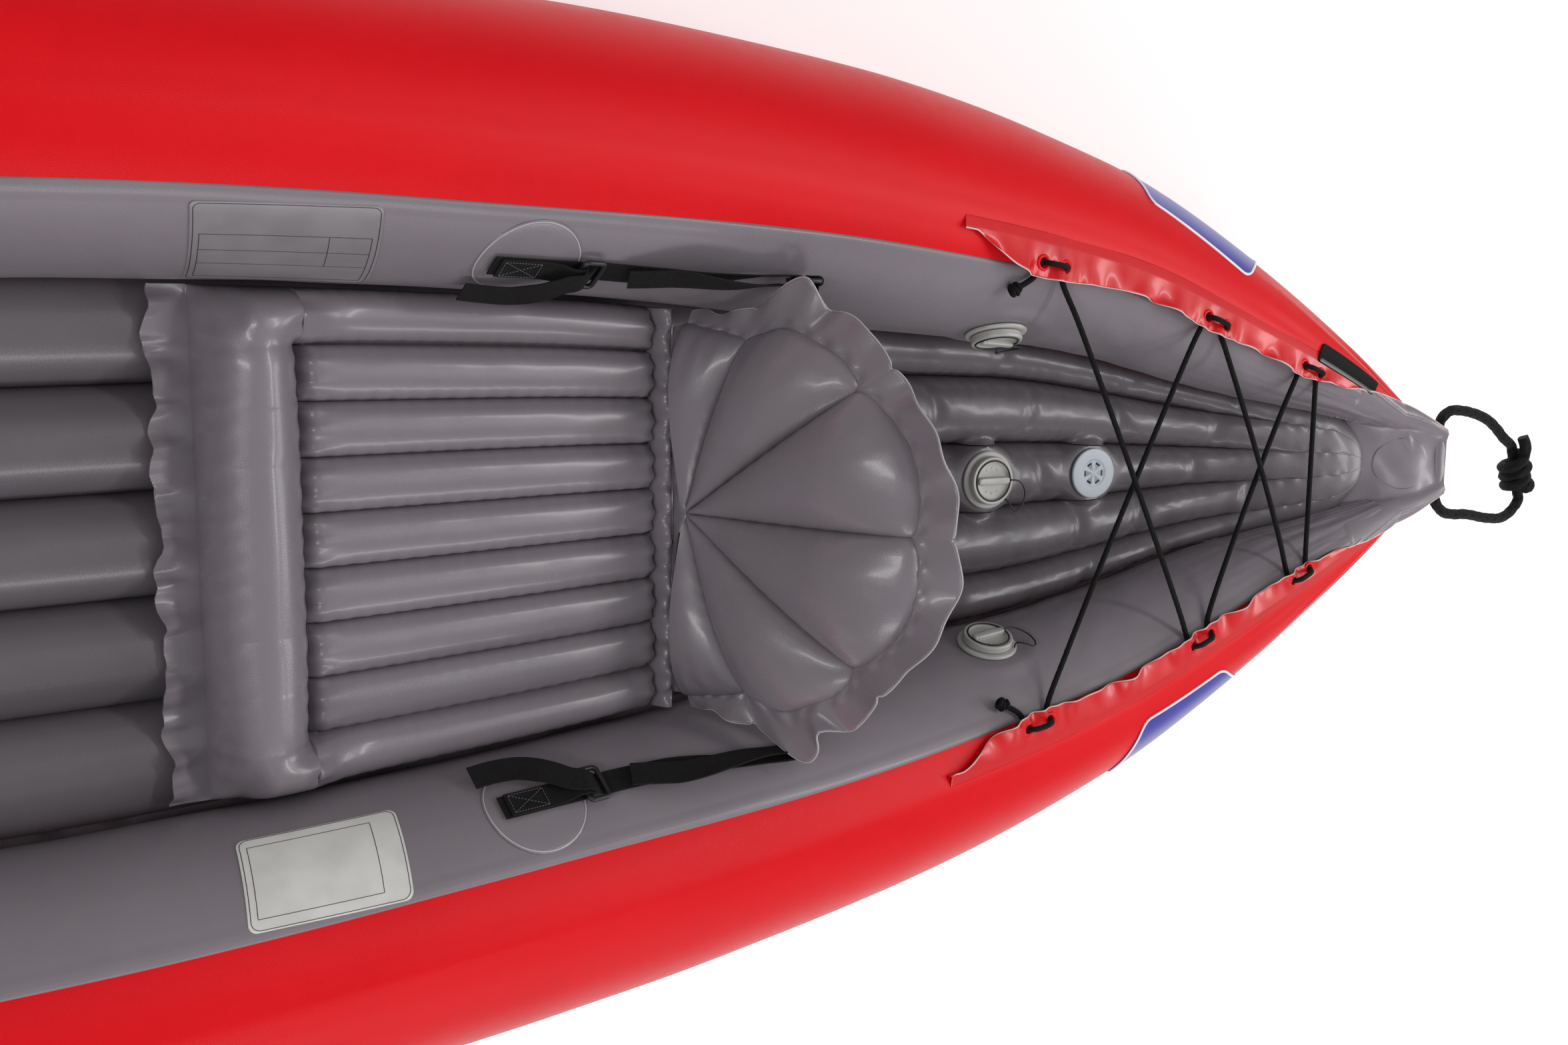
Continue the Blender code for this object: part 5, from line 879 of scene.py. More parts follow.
# Dents across the floor's channels behind the backrest: station, lane, depth and half width
FLOOR_DENTS = ((0.725, 1, 0.0050, 0.007), (0.742, 3, 0.0045, 0.006), (0.690, 2, 0.0030, 0.007),
               (0.865, 2, 0.0040, 0.007), (0.905, 1, 0.0036, 0.006), (0.955, 3, 0.0042, 0.007),
               (0.985, 1, 0.0050, 0.008), (1.045, 2, 0.0040, 0.008), (1.060, 3, 0.0046, 0.007),
               (1.105, 1, 0.0034, 0.007), (0.850, 3, 0.0026, 0.005), (0.640, 1, 0.0024, 0.006),
               (0.655, 3, 0.0024, 0.006), (0.780, 0, 0.0030, 0.008), (0.930, 0, 0.0034, 0.008),
               (0.815, 4, 0.0030, 0.008), (0.970, 4, 0.0034, 0.008), (1.010, 0, 0.0030, 0.007),
               (1.090, 4, 0.0030, 0.007))


def floor_drop(x, y, lane, swell):
    """How far dents, seam puckers and waves lower the floor's skin."""
    rising = np.maximum(swell, 0.0)
    drop = np.zeros_like(y)
    for at, which, depth, half in FLOOR_DENTS:
        for sign in (1, -1):
            bend = 0.006 * np.sin(y * 60 + at * 40)
            in_lane = lane == (which if sign > 0 else 4 - which)
            drop += depth * np.exp(-((x - sign * at - bend) / half) ** 2) * in_lane * rising ** 0.8
    to_end = FLOOR_END - np.abs(x)
    loose = ease((np.abs(x) - 0.55) / 0.25)
    near_seam = (1 - np.abs(swell)) * (lane >= 0) * (lane < 5) * (swell >= 0) * ease(to_end / 0.09)
    pucker = 0.0016 * near_seam * np.sin(x * 330 + 2.0 * np.sin(x * 71 + lane * 2.1)) * (0.25 + 0.75 * loose)
    drop -= pucker * (rising > 0.02)
    calm = ease(to_end / 0.10)
    drop -= 0.0008 * calm * loose * ripple(x * 62, y * 50, 0.4) * rising
    return drop - 0.0005 * ripple(x * 17, y * 26, 3.1) * rising


def make_floor():
    """The inflated floor: five round channels, welded seams, edge flanges and the creases of its rise."""
    stations = np.concatenate([np.linspace(-FLOOR_END, -0.6, 150, endpoint=False),
                               np.linspace(-0.6, 0.55, 130, endpoint=False),
                               np.linspace(0.55, FLOOR_END, 190)])
    data = np.array([floor_section(x) for x in stations])
    y, z, lane, swell = (data[..., k] for k in range(4))
    x = stations[:, None] + 0 * y
    z = z - floor_drop(x, y, lane, swell)
    in_flange = (lane < 0) | (lane >= 5)
    z = z + np.where(in_flange, 0.0009 * np.sin(x * 95 + 2 * np.sin(x * 31)), 0.0)
    points = np.stack([x, y, np.maximum(z, 0.0)], axis=-1)
    middle = (data[..., 1].min(axis=1) + data[..., 1].max(axis=1))[:, None] / 2
    for place, radius, level in ((valve_frame("floor_valve"), VALVE_FLANGE_RADIUS, -0.0001),
                                 (relief_frame(), RELIEF_FLANGE_RADIUS, -0.0012)):
        flat = flatten_seat(points, place, radius + FLAT_RIM, radius + 0.014, level)
        points = np.where((points[..., 2] > middle)[..., None], flat, points)
    uvs = np.stack([x, y], axis=-1)
    # The floor takes the darker grey with its painted shade.
    made = grid_piece("floor_tube_mat", points, SHADED_FLOOR_GREY, wrap=True, uvs=uvs, caps=True, smooth_deg=75.0)
    cut_round(made, valve_frame("floor_valve"), VALVE_CUP_RADIUS + 0.001)
    cut_round(made, relief_frame(), 0.0165)
    return made


# End pieces

def floor_levels(x):
    """Height of the floor's side seam and of its crown at a station."""
    unused, height, radius = (float(v) for v in tube_at(x))
    seam = float(tube_surface(1, x, FLOOR_TUBE_ANGLE_DEG)[2])
    return seam, height - radius * FACET_SHRINK + FLOOR_HEIGHT * (radius / TUBE_RADIUS) ** 0.6


def deck_bottom():
    """Height of the deck along the keel line: hidden in the floor, then rising behind it to the sleeve."""
    inside = FLOOR_END - 0.026
    seam, crown = floor_levels(FLOOR_END)
    levels = ((TIP_START, floor_levels(TIP_START)[0]), (inside, floor_levels(inside)[0]),
              (FLOOR_END, seam + (crown - seam) * 0.25), (TUBE_END, TIP_HEIGHT - 0.0040),
              (1.272, SLEEVE.z - 0.0050), (SLEEVE.x - SLEEVE_RADIUS * 1.1, SLEEVE.z + SLEEVE_RADIUS * 0.20),
              (SLEEVE.x, SLEEVE.z + SLEEVE_RADIUS))
    return smooth_curve(*zip(*levels))


def deck_height(x, y):
    """Height of the deck's top: over the tubes' tips at the sides and a shallow dish between them."""
    if x <= TUBE_END:
        centre, height, radius = (float(v) for v in tube_at(x))
        radius *= FACET_SHRINK
    else:
        past = (x - TUBE_END) / (SLEEVE.x - TUBE_END)
        radius = TIP_RADIUS * FACET_SHRINK
        radius += (SLEEVE_RADIUS - radius) * past
        height = TIP_HEIGHT + (SLEEVE.z - TIP_HEIGHT) * past
        centre = float(deck_edge(x)) - radius * (TIP_COVER - (TIP_COVER - 0.3) * past)
    reach = np.abs(y)
    radius += DECK_CLEAR
    over = height + np.sqrt(np.maximum(radius ** 2 - (reach - centre) ** 2, 0.0)) + SKIN
    low = float(DECK_BOTTOM(x))
    power = 8.0 - 5.6 * float(ease((x - FLOOR_END + 0.020) / 0.034))
    rim = height + radius + SKIN
    dish = low + (rim - low) * np.minimum(reach / (centre - radius * 0.10), 1.0) ** power
    dish = np.where(reach > centre, -1.0, dish)
    over = np.where(reach < centre - radius * 1.04, -1.0, over)
    joined = 0.5 * (over + dish + np.sqrt((over - dish) ** 2 + DECK_JOIN ** 2))
    return np.where(np.minimum(over, dish) < 0, np.maximum(over, dish), joined)


DECK_BOTTOM = deck_bottom()


def deck_relief(x, across, y, z):
    """Small waves, the round patch and the folds of the deck at one station."""
    wrinkle = 0.0010 * np.sin(across * 9 + x * 150) * np.exp(-((x - TUBE_END) / 0.012) ** 2)
    z = z + wrinkle * (1 - np.abs(across)) + 0.0005 * ripple(across * 5, x * 130 + 0 * across, 0.8)
    spot = np.hypot(x - DECK_PATCH_X, y + 0.001)
    z = z + 0.0006 * ease((DECK_PATCH_RADIUS - spot) / 0.0010 + 0.5) * (z < SLEEVE.z + 0.0085)
    z = z - 0.0040 * float(ease(1 - (x - TIP_START - 0.004) / 0.016))
    fold = (x - 1.262) + (y - 0.020) * 0.35
    return z + 0.0022 * np.exp(-(fold / 0.0035) ** 2) * np.exp(-((y - 0.022) / 0.008) ** 2)


def make_end_piece(name, sign):
    """The deck behind the floor: a dished sheet between the tubes' tips that flattens into the sleeve."""
    across = np.linspace(-1.0, 1.0, 161)
    rows = []
    for x in np.linspace(TIP_START + 0.004, SLEEVE.x, 150):
        y = float(deck_edge(x)) * across
        z = deck_relief(float(x), across, y, deck_height(float(x), y))
        rows.append(np.stack([np.full_like(y, sign * x), y, z], axis=-1))
    grid = np.array(rows)
    under = grid.copy()
    under[..., 2] -= DECK_THICKNESS
    made = grid_piece(name, np.concatenate([grid, under[:, ::-1]], axis=1), GREY_LOOSE, wrap=True, caps=True)
    edges = []
    for column, label in ((0, "port"), (-1, "starboard")):
        line = [tuple(p) for p in grid[::3, column] + np.array([0, 0, -DECK_THICKNESS * 0.4])]
        edges.append(fine_line(name + "_" + label + "_cut_edge", line, 0.0008, RAW_EDGE))
    # A thin dark grey line round the deck's round patch: painted shade in the groove at the patch's edge.
    ring = []
    for angle in np.linspace(0, 2 * math.pi, 73):
        x = DECK_PATCH_X + DECK_PATCH_RADIUS * math.cos(angle)
        y = DECK_PATCH_RADIUS * math.sin(angle) - 0.001
        ring.append((sign * x, y, float(deck_height(x, np.array([y]))[0]) + 0.0002))
    edges.append(fine_line(name + "_patch_edge_shade_line", ring, 0.0004, THREAD_AND_SHADE_LINE, sides=6))
    return made, edges


def make_end_gusset(name, sign):
    """The folded body under the deck, between the tube tips and the sleeve."""
    rows = []
    for x in np.linspace(TUBE_END + SEAT_GAP, SLEEVE.x - SLEEVE_RADIUS * 0.6, 30):
        share = (x - TUBE_END) / (SLEEVE.x - TUBE_END)
        wide = float(deck_edge(x)) - 0.0014
        tip_low = TIP_HEIGHT - TIP_RADIUS
        low = tip_low + (SLEEVE.z - SLEEVE_RADIUS - tip_low) * share
        y = np.linspace(-wide, wide, 49)
        top = deck_height(float(x), y) - DECK_THICKNESS - 0.0008
        round_off = 1 - np.abs(y / wide) ** 6
        bottom = top + (np.minimum(low, top - 0.004) - top) * (0.35 + 0.65 * round_off ** 0.5)
        upper = np.stack([np.full_like(y, sign * x), y, top], axis=-1)
        lower = np.stack([np.full_like(y, sign * x), y, bottom], axis=-1)[::-1]
        rows.append(np.concatenate([upper, lower], axis=0))
    return grid_piece(name, np.array(rows), GREY_LOOSE, wrap=True, caps=True, smooth_deg=55.0)


def make_sleeve(name, sign):
    """The folded and welded sleeve that the rope runs through: a flat loop of fabric with an open bore."""
    angles = 2 * math.pi * np.arange(40) / 40
    rows = np.linspace(-END_HALF_WIDTH, END_HALF_WIDTH, 29)
    layers = []
    for size in (SLEEVE_RADIUS, SLEEVE_BORE_RADIUS):
        x = SLEEVE.x + size * np.cos(angles)[None, :] * (1 + 0.03 * np.sin(rows * 170))[:, None]
        z = SLEEVE.z + size * np.sin(angles)[None, :] + 0 * x
        layers.append(np.stack([sign * x, rows[:, None] + 0 * x, z], axis=-1))
    outer, inner = layers
    loops = np.concatenate([outer, inner[::-1], outer[:1]], axis=0)
    return grid_piece(name, loops, GREY_LOOSE, wrap=True, smooth_deg=50.0)


# Edge flaps and lacing

def flap_width(x):
    """Width of a flap's free part at stations, wavy between the lacing slots."""
    x = np.abs(np.asarray(x, float))
    at = np.clip((x - FLAP_START) / (FLAP_END - FLAP_START), 0.0, 1.0)
    width = FLAP_WIDTH + (FLAP_END_WIDTH - FLAP_WIDTH) * at
    taper = np.minimum(1.0, 4 * at + 0.25) * np.minimum(1.0, 4 * (1 - at) + 0.35)
    wave = 0.0
    for slot in LACING_SLOT_X:
        wave = np.maximum(wave, np.exp(-((x - slot) / (2 * LACING_HOLE_SPACING)) ** 2))
    return (width - FLAP_SCALLOP * (1 - wave)) * taper


def flap_points(side, x, reach, lift=0.0):
    """Points on a flap; a reach of zero is where it leaves the tube's top."""
    x, reach, lift = np.broadcast_arrays(*(np.asarray(v, float) for v in (x, reach, lift)))
    place, inward, up, radius = tube_frame(side, x)
    half = FACET / 2
    root = place + inward * (math.sin(half) * radius)[..., None] + up * (math.cos(half) * radius)[..., None]
    level = inward * np.array([1.0, 1.0, 0.0])
    level = level / np.linalg.norm(level, axis=-1, keepdims=True)
    made = root + level * reach[..., None] + up * (RUN_GAP + lift)[..., None]
    made[..., 2] += FLAP_RISE * np.maximum(reach, 0) / FLAP_WIDTH
    behind = np.maximum(-reach, 0)
    return made - up * (behind ** 2 / (2 * radius) * 0.5)[..., None]


def slot_frame(side, index):
    """Frame at the middle of a lacing slot, +Z up out of the flap and +X to the stern."""
    x = LACING_SLOT_X[index]
    inset = min(LACING_SLOT_INSET, float(flap_width(x)) * 0.58)
    place = Vector(flap_points(side, x, inset, FLAP_THICKNESS / 2))
    aft = Vector(flap_points(side, x + LACING_HOLE_SPACING / 2, inset, FLAP_THICKNESS / 2))
    return frame_at(place, (0, 0, 1), aft - place)


def slot_pass(side, index, first_sign):
    """Route points down-up-over-down through the two holes of one slot."""
    place = slot_frame(side, index)
    half = LACING_HOLE_SPACING / 2
    points = []
    for share, lift in ((1.0, -0.36), (1.0, 0.0), (0.93, 0.45), (0.60, 0.92), (0.0, 1.0),
                        (-0.60, 0.92), (-0.93, 0.45), (-1.0, 0.0), (-1.0, -0.36)):
        point = place @ Vector((first_sign * share * half, 0, lift * LACING_ARC_HEIGHT))
        points.append(point + Vector((0, side * min(lift, 0.0) * LACING_ARC_HEIGHT * 0.5, 0)))
    return points


def knot_run(side):
    """The cord's turn towards its stopper knot."""
    inward = Vector((0, -side, 0))
    reach = -LACING_HOLE_SPACING / 2 - LACING_DIP * 0.7
    return slot_frame(side, 0) @ Vector((reach, 0, -LACING_DIP * 0.8)) + inward * LACING_DIP * 1.6


def knot_place(side):
    """End of the cord at its stopper knot under the flap, ahead of the first slot."""
    return knot_run(side) + Vector((-LACING_DIP * 0.9, -side * LACING_DIP * 0.5, -LACING_DIP * 0.2))


def under_slot(side, index, first):
    """Where the cord leaves a hole under the flap."""
    inward = Vector((0, -side, 0))
    half = LACING_HOLE_SPACING / 2 + LACING_DIP * 0.2
    return slot_frame(side, index) @ Vector((first * half, 0, -LACING_DIP * 0.55)) + inward * LACING_DIP


def lacing_route():
    """The elastic cord from its starboard knot through all slots to its port knot."""
    order = ((1, 0, -1), (-1, 1, -1), (1, 2, -1), (-1, 2, 1), (1, 1, 1), (-1, 0, 1))
    cross = LACING_RADIUS * 1.6
    levels = (1, -1, 0, 1, -1)
    route = [knot_place(1), knot_run(1)]
    dense = [14.0, 14.0]
    for k, (side, index, first) in enumerate(order):
        route.append(under_slot(side, index, first))
        route += slot_pass(side, index, first)
        route.append(under_slot(side, index, -first))
        dense += [14.0] * 11
        if k < len(order) - 1:
            start = route[-1]
            end = under_slot(*order[k + 1])
            for share in (0.05, 0.3, 0.5, 0.7, 0.95):
                bump = cross * levels[k] * (1.0 - abs(2 * share - 1)) ** 0.4
                route.append(start.lerp(end, share) + Vector((0, 0, bump)))
                dense.append(1.0)
    route += [knot_run(-1), knot_place(-1)]
    dense += [14.0, 14.0]
    return smooth_route(route, LACING_POINT_COUNT, dense)


ROPE_KNOT_AXIS = Vector((-0.35, 1.0, 0.0)).normalized()
ROPE_KNOT_PLACE = SLEEVE + Vector((ROPE_REACH, -ROPE_HALF_WIDTH * 0.56, -ROPE_DROOP))


def rope_route():
    """The rope's two halves, each from the sleeve's middle to the knot."""
    reach = ROPE_REACH
    wide = ROPE_HALF_WIDTH
    turn = ROPE_RADIUS * 3.4
    exit_side = END_HALF_WIDTH + ROPE_RADIUS * 2.6
    places = [(reach * 0.80, wide * 0.30), (reach * 0.58, wide * 0.76), (reach * 0.34, wide * 1.02),
              (turn * 1.25, wide * 1.10), (turn * 0.25, exit_side), (0, END_HALF_WIDTH),
              (0, END_HALF_WIDTH * 0.75), (0, 0), (0, -END_HALF_WIDTH * 0.75), (0, -END_HALF_WIDTH),
              (turn * 0.25, -exit_side), (turn * 1.25, -wide * 1.22), (reach * 0.38, -wide * 1.34),
              (reach * 0.64, -wide * 1.52), (reach * 0.90, -wide * 1.56)]
    near = ROPE_KNOT_LENGTH / 2
    far = near + ROPE_RADIUS * 2.4
    mid = (near + far) / 2
    route = [ROPE_KNOT_PLACE + ROPE_KNOT_AXIS * away for away in (near, mid, far)]
    for x, y in places:
        fall = ROPE_DROOP * (max(0.0, x) / reach) ** 2
        route.append(SLEEVE + Vector((x, y, -fall)))
    route += [ROPE_KNOT_PLACE - ROPE_KNOT_AXIS * away for away in (far, mid, near)]
    dense = [4.0, 4.0, 3.0] + [1.0] * len(places) + [3.0, 4.0, 4.0]
    return smooth_route(route, ROPE_POINT_COUNT, dense)


def dress(piece, body, slot, *nodes):
    """Ties a piece to its body and hides the solids that it stands for; its slot is not used."""
    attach(piece, body)
    if nodes:
        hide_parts(*nodes)
    return piece


def coil_knot(name, place, axis, radius, length, cord_radius, turns, tail=None):
    """A barrel knot: the cord wound round itself, with its end tucked through or left as a tail."""
    near = Vector((0, 0, 1)) if abs(axis.z) < 0.8 else Vector((1, 0, 0))
    knot = frame_at(place, axis, near)
    reach = radius - cord_radius
    half = length / 2 - cord_radius
    steps = int(18 * turns)
    points = [(reach * 0.35, -reach * 0.7, -half * 0.55)]
    for k in range(steps + 1):
        t = k / steps
        angle = 2 * math.pi * turns * t
        size = reach * (1 + 0.09 * math.sin(angle * 1.5 + 0.6))
        z = -half + 2 * half * t + 0.10 * reach * math.sin(angle + 0.9)
        points.append((size * math.cos(angle), size * math.sin(angle), z))
    points += tail or [(reach * 0.3, reach * 0.75, half * 0.55)]
    return braided_cord(name, [knot @ Vector(p) for p in points], cord_radius, BRAID, sides=28,
                        depth_share=0.24, step_share=0.40)[0]


# Cords

def make_rope():
    """The braided grab rope: one length from the sleeve, through its knot and back into the sleeve."""
    route = rope_route()
    middle = int(np.argmin(np.linalg.norm(route - np.array(SLEEVE), axis=1)))
    path = list(route[:middle + 1][::-1]) + [tuple(ROPE_KNOT_PLACE)] + list(route[middle:][::-1])
    rope, points = braided_cord("braided_grab_rope", path, ROPE_RADIUS * 1.12, BRAID, sides=40,
                                depth_share=0.30)
    tail = [(0.009, 0.004, ROPE_KNOT_LENGTH * 0.40), (0.0125, 0.005, ROPE_KNOT_LENGTH * 0.62),
            (0.0135, 0.0045, ROPE_KNOT_LENGTH * 0.85), (0.012, 0.004, ROPE_KNOT_LENGTH * 1.05)]
    lump = coil_knot("rope_barrel_knot", ROPE_KNOT_PLACE, ROPE_KNOT_AXIS, 0.0178, ROPE_KNOT_LENGTH * 1.2,
                     0.0062, 3.3, tail)
    for piece, node in ((rope, "grab_rope"), (lump, "grab_rope_knot")):
        dress(piece, "hull", "cord", node)


def make_lacing():
    """The elastic lacing over the stern and its stopper knots."""
    route = lacing_route()
    cord, points = braided_cord("elastic_lacing_cord", route, LACING_RADIUS, BRAID, sides=20,
                                depth_share=0.10, step_share=0.8)
    for label, end, before in (("starboard", route[0], route[1]), ("port", route[-1], route[-2])):
        out = (Vector(end) - Vector(before)).normalized()
        knot = coil_knot(label + "_stopper_knot", Vector(end) + out * KNOT_RADIUS, out, KNOT_RADIUS * 1.1,
                         KNOT_RADIUS * 2.1, LACING_RADIUS * 0.8, 2.0)
        dress(knot, "hull", "cord", label + "_lacing_knot")
    dress(cord, "hull", "cord", "stern_lacing")


# Sizes of the main valves, in a frame with +Z out of the chamber
VALVE_FLANGE_THICKNESS = 0.0030
VALVE_BORE_RADIUS = 0.016
VALVE_DEPTH = 0.024
VALVE_FLOOR = 0.0025
VALVE_AIR_HOLE_RADIUS = 0.0030
VALVE_AIR_CIRCLE = 0.0088
STEM_RADIUS = 0.0026
GASKET_RADIUS = 0.0174
GASKET_CORD_RADIUS = 0.0010
CAP_RADIUS = 0.0225
CAP_DISH_RADIUS = 0.0175
CAP_LIP = 0.0065
CAP_DISH_DEPTH = 0.0025
CAP_SKIRT_RADIUS = 0.0155
CAP_SKIRT_WALL = 0.0030
CAP_SKIRT_DEPTH = 0.0072
CAP_TOP_WALL = 0.0028
CAP_BAR_WIDTH = 0.0070
CAP_BAR_HEIGHT = 0.0050
CAP_BAR_LENGTH = 0.0350
LANYARD_RADIUS = 0.00075
SPRING_WIRE_RADIUS = 0.00045
SPRING_CURLS = 3
FLANGE_TOP = SEAT_GAP + VALVE_FLANGE_THICKNESS
CAP_TOP = FLANGE_TOP + RUN_GAP + CAP_LIP


def make_lanyard(label, place):
    """The thin tether from the cap's grip to the valve's flange, with its loop round the grip."""
    start_z = max(CAP_TOP - CAP_DISH_DEPTH + CAP_BAR_HEIGHT * 0.75, CAP_TOP + LANYARD_RADIUS + SEAT_GAP)
    start_x = CAP_BAR_LENGTH / 2 + SEAT_GAP
    landing = (CAP_RADIUS + VALVE_FLANGE_RADIUS) / 2
    angle = math.radians(-48.0)
    foot = (landing * math.cos(angle), landing * math.sin(angle))
    out = VALVE_FLANGE_RADIUS
    places = [(start_x, 0, start_z), (start_x + out * 0.22, -out * 0.01, start_z + out * 0.02)]
    for x, y, z in ((1.12, -0.10, -0.02), (1.36, -0.42, -0.10), (1.34, -0.86, -0.16), (1.06, -1.10, -0.12),
                    (0.80, -0.98, -0.04)):
        places.append((out * x, out * y, start_z + out * z))
    places.append((foot[0] * 1.03, foot[1] * 1.05, (start_z + FLANGE_TOP) / 2 + out * 0.04))
    places.append((foot[0], foot[1], FLANGE_TOP + SEAT_GAP))
    route = smooth_route([place @ Vector(p) for p in places], 17)
    looks = {"strands": 4, "depth_share": 0.05, "step_share": 1.0}
    cord, points = braided_cord(label + "_tether", route, LANYARD_RADIUS, LANYARD, sides=12, **looks)
    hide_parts(label + "_lanyard")
    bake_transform(cord)
    ring = []
    size = start_x + LANYARD_RADIUS
    for angle in np.linspace(0, 2 * math.pi, 49):
        on_ring = Vector((size * math.cos(angle), size * math.sin(angle), CAP_TOP + LANYARD_RADIUS * 0.2))
        ring.append(place @ on_ring)
    loop = braided_cord(label + "_tether_loop", ring, LANYARD_RADIUS, LANYARD, sides=10, **looks)[0]
    dress(loop, label + "_gasket", "cord")


make_rope()
make_lacing()
for valve in VALVES:
    make_lanyard(valve, valve_frame(valve))


# Hull

for side_name, side_sign in SIDES.items():
    dress(make_tube(side_name + "_side_tube", side_sign), "hull", "red_fabric", side_name + "_tube")
    dress(make_panel(side_name + "_inner_skin", side_sign), "hull", "grey_fabric", side_name + "_inner_panel")
floor_mat = dress(make_floor(), "hull", "grey_fabric", "floor_chamber")
for end_name, end_sign in ENDS.items():
    deck, edges = make_end_piece(end_name + "_deck", end_sign)
    dress(deck, "hull", "grey_fabric", end_name + "_end_piece")
    for edge in edges:
        dress(edge, "hull", "grey_fabric")
    dress(make_end_gusset(end_name + "_gusset", end_sign), "hull", "grey_fabric")
    dress(make_sleeve(end_name + "_rope_sleeve", end_sign), "hull", "grey_fabric")


def flap_lift(side, sign, at, free, wide):
    """Height of a flap's waves and puckers at stations and shares of its width."""
    wave = 0.0030 * np.sin(at * 88 + side) + 0.0018 * np.sin(at * 171 + 1.1 * sign)
    pull = 0.0
    for slot in LACING_SLOT_X:
        near = np.exp(-((at - slot) / 0.030) ** 2)
        pull = pull + near
        wave = wave + 0.0030 * near * np.sin((at - slot) * 330)
    pull = np.minimum(pull, 1.0) if sign > 0 else 0.0
    curl = 0.0015 * free ** 4 * np.sin(at * 123 + 0.7 * side)
    return 0.0012 + free ** 1.3 * wave * (1 - 0.45 * pull) * ease(wide / 0.02) + curl


def cut_lacing_holes(made, side):
    """Opens a flap at its lacing holes."""
    slots = [slot_frame(side, index).inverted() for index in range(len(LACING_SLOT_X))]

    def in_hole(middle):
        for place in slots:
            local = place @ middle
            for end in (-1, 1):
                away = math.hypot(local.x - end * LACING_HOLE_SPACING / 2, local.y)
                if away < LACING_HOLE_OPENING and abs(local.z) < 0.01:
                    return True
        return False
    delete_faces(made, in_hole)


def make_flap(name, side, sign):
    """The free red edge at one end of a tube: wavy, puckered at its slots and pale at its cut edge."""
    rear = FLAP_END + 0.010
    x = sign * np.linspace(FLAP_START + FLAP_LEAD, rear, 420)[:, None]
    at = np.abs(x)
    share = np.concatenate([np.linspace(-0.55, 0.0, 10, endpoint=False), np.linspace(0.0, 1.0, 26)])[None, :]
    wide = flap_width(x) * ease((at - FLAP_START - FLAP_LEAD) / 0.060) * ease((rear - at) / 0.035)
    wide = np.maximum(wide, 0.0015)
    reach = np.where(share < 0, share * 0.016, share * wide)
    lift = flap_lift(side, sign, at, np.clip(share, 0.0, 1.0), wide)
    points = flap_points(side, x + 0 * share, reach, lift)
    points[..., 2] -= np.where(share < 0, 0.0022 * -share / 0.55, 0.0)
    uvs = np.stack([x + 0 * reach, reach], axis=-1)
    made = grid_piece(name, points, RED_LOOSE, uvs=uvs, smooth_deg=75.0)
    if sign > 0:
        cut_lacing_holes(made, side)
    thicken(made, FLAP_THICKNESS * 0.8)
    edge = list(points[::2, -1] + np.array([0, 0, FLAP_THICKNESS * 0.4]))
    return made, fine_line(name + "_cut_edge", edge, 0.00062, RAW_EDGE)


def eyelet(name, place, mat, hole, wide, high):
    """A welded reinforcing ring round a hole."""
    profile = []
    for k in range(14):
        angle = 2 * math.pi * k / 14
        profile.append(((hole + wide) / 2 + (wide - hole) / 2 * math.cos(angle), high * math.sin(angle)))
    return turned(name, profile, mat, place, sides=36, closed=True)


def make_eyelets(label, side):
    """The reinforcing rings round a flap's lacing holes."""
    for index in range(len(LACING_SLOT_X)):
        for hole_sign in (-1, 1):
            shift = Matrix.Translation((hole_sign * LACING_HOLE_SPACING / 2, 0, 0.0008))
            ring = eyelet("%s_eyelet_%d_%d" % (label, index, hole_sign + 1), slot_frame(side, index) @ shift,
                          RED, 0.0040, 0.0072, 0.0013)
            dress(ring, "hull", "red_fabric")


for side_name, side_sign in SIDES.items():
    for end_name, end_sign in ENDS.items():
        label = side_name + "_" + end_name
        flap, trim = make_flap(label + "_edge_flap", side_sign, end_sign)
        dress(flap, "hull", "red_fabric", label + "_flap")
        dress(trim, "hull", "red_fabric")
    make_eyelets(side_name + "_stern", side_sign)


# Valves

def make_housing(label, place):
    """A main valve's housing: flange, threaded bore and the floor that guides the stem."""
    chamfer = VALVE_FLANGE_THICKNESS * 0.4
    thread = []
    for k in range(11):
        thread.append((VALVE_BORE_RADIUS + (0.0006 if k % 2 else 0.0), FLANGE_TOP - 0.002 - k * 0.0009))
    outer = round_corners([(VALVE_CUP_RADIUS, -VALVE_DEPTH), (VALVE_CUP_RADIUS, SEAT_GAP),
                           (VALVE_FLANGE_RADIUS, SEAT_GAP), (VALVE_FLANGE_RADIUS, FLANGE_TOP - chamfer),
                           (VALVE_FLANGE_RADIUS - chamfer, FLANGE_TOP),
                           (VALVE_BORE_RADIUS + 0.0008, FLANGE_TOP)], 0.0006)
    floor_top = VALVE_FLOOR - VALVE_DEPTH
    inner = thread + [(VALVE_BORE_RADIUS, floor_top), (STEM_RADIUS + SEAT_GAP, floor_top),
                      (STEM_RADIUS + SEAT_GAP, -VALVE_DEPTH)]
    made = turned(label + "_screw_seat", outer + inner, VALVE_PLASTIC, place, sides=72, closed=True,
                  smooth_deg=35)
    pin = [(0, 0.004), (VALVE_AIR_HOLE_RADIUS, 0.004), (VALVE_AIR_HOLE_RADIUS, -0.004), (0, -0.004)]
    for k in range(3):
        turn = Matrix.Rotation(2 * math.pi * (k + 0.5) / 3, 4, "Z")
        hole = place @ turn @ Matrix.Translation((VALVE_AIR_CIRCLE, 0, floor_top - VALVE_FLOOR / 2))
        cut_out(made, turned("cutter", pin, VALVE_PLASTIC, hole, sides=24))
    return made


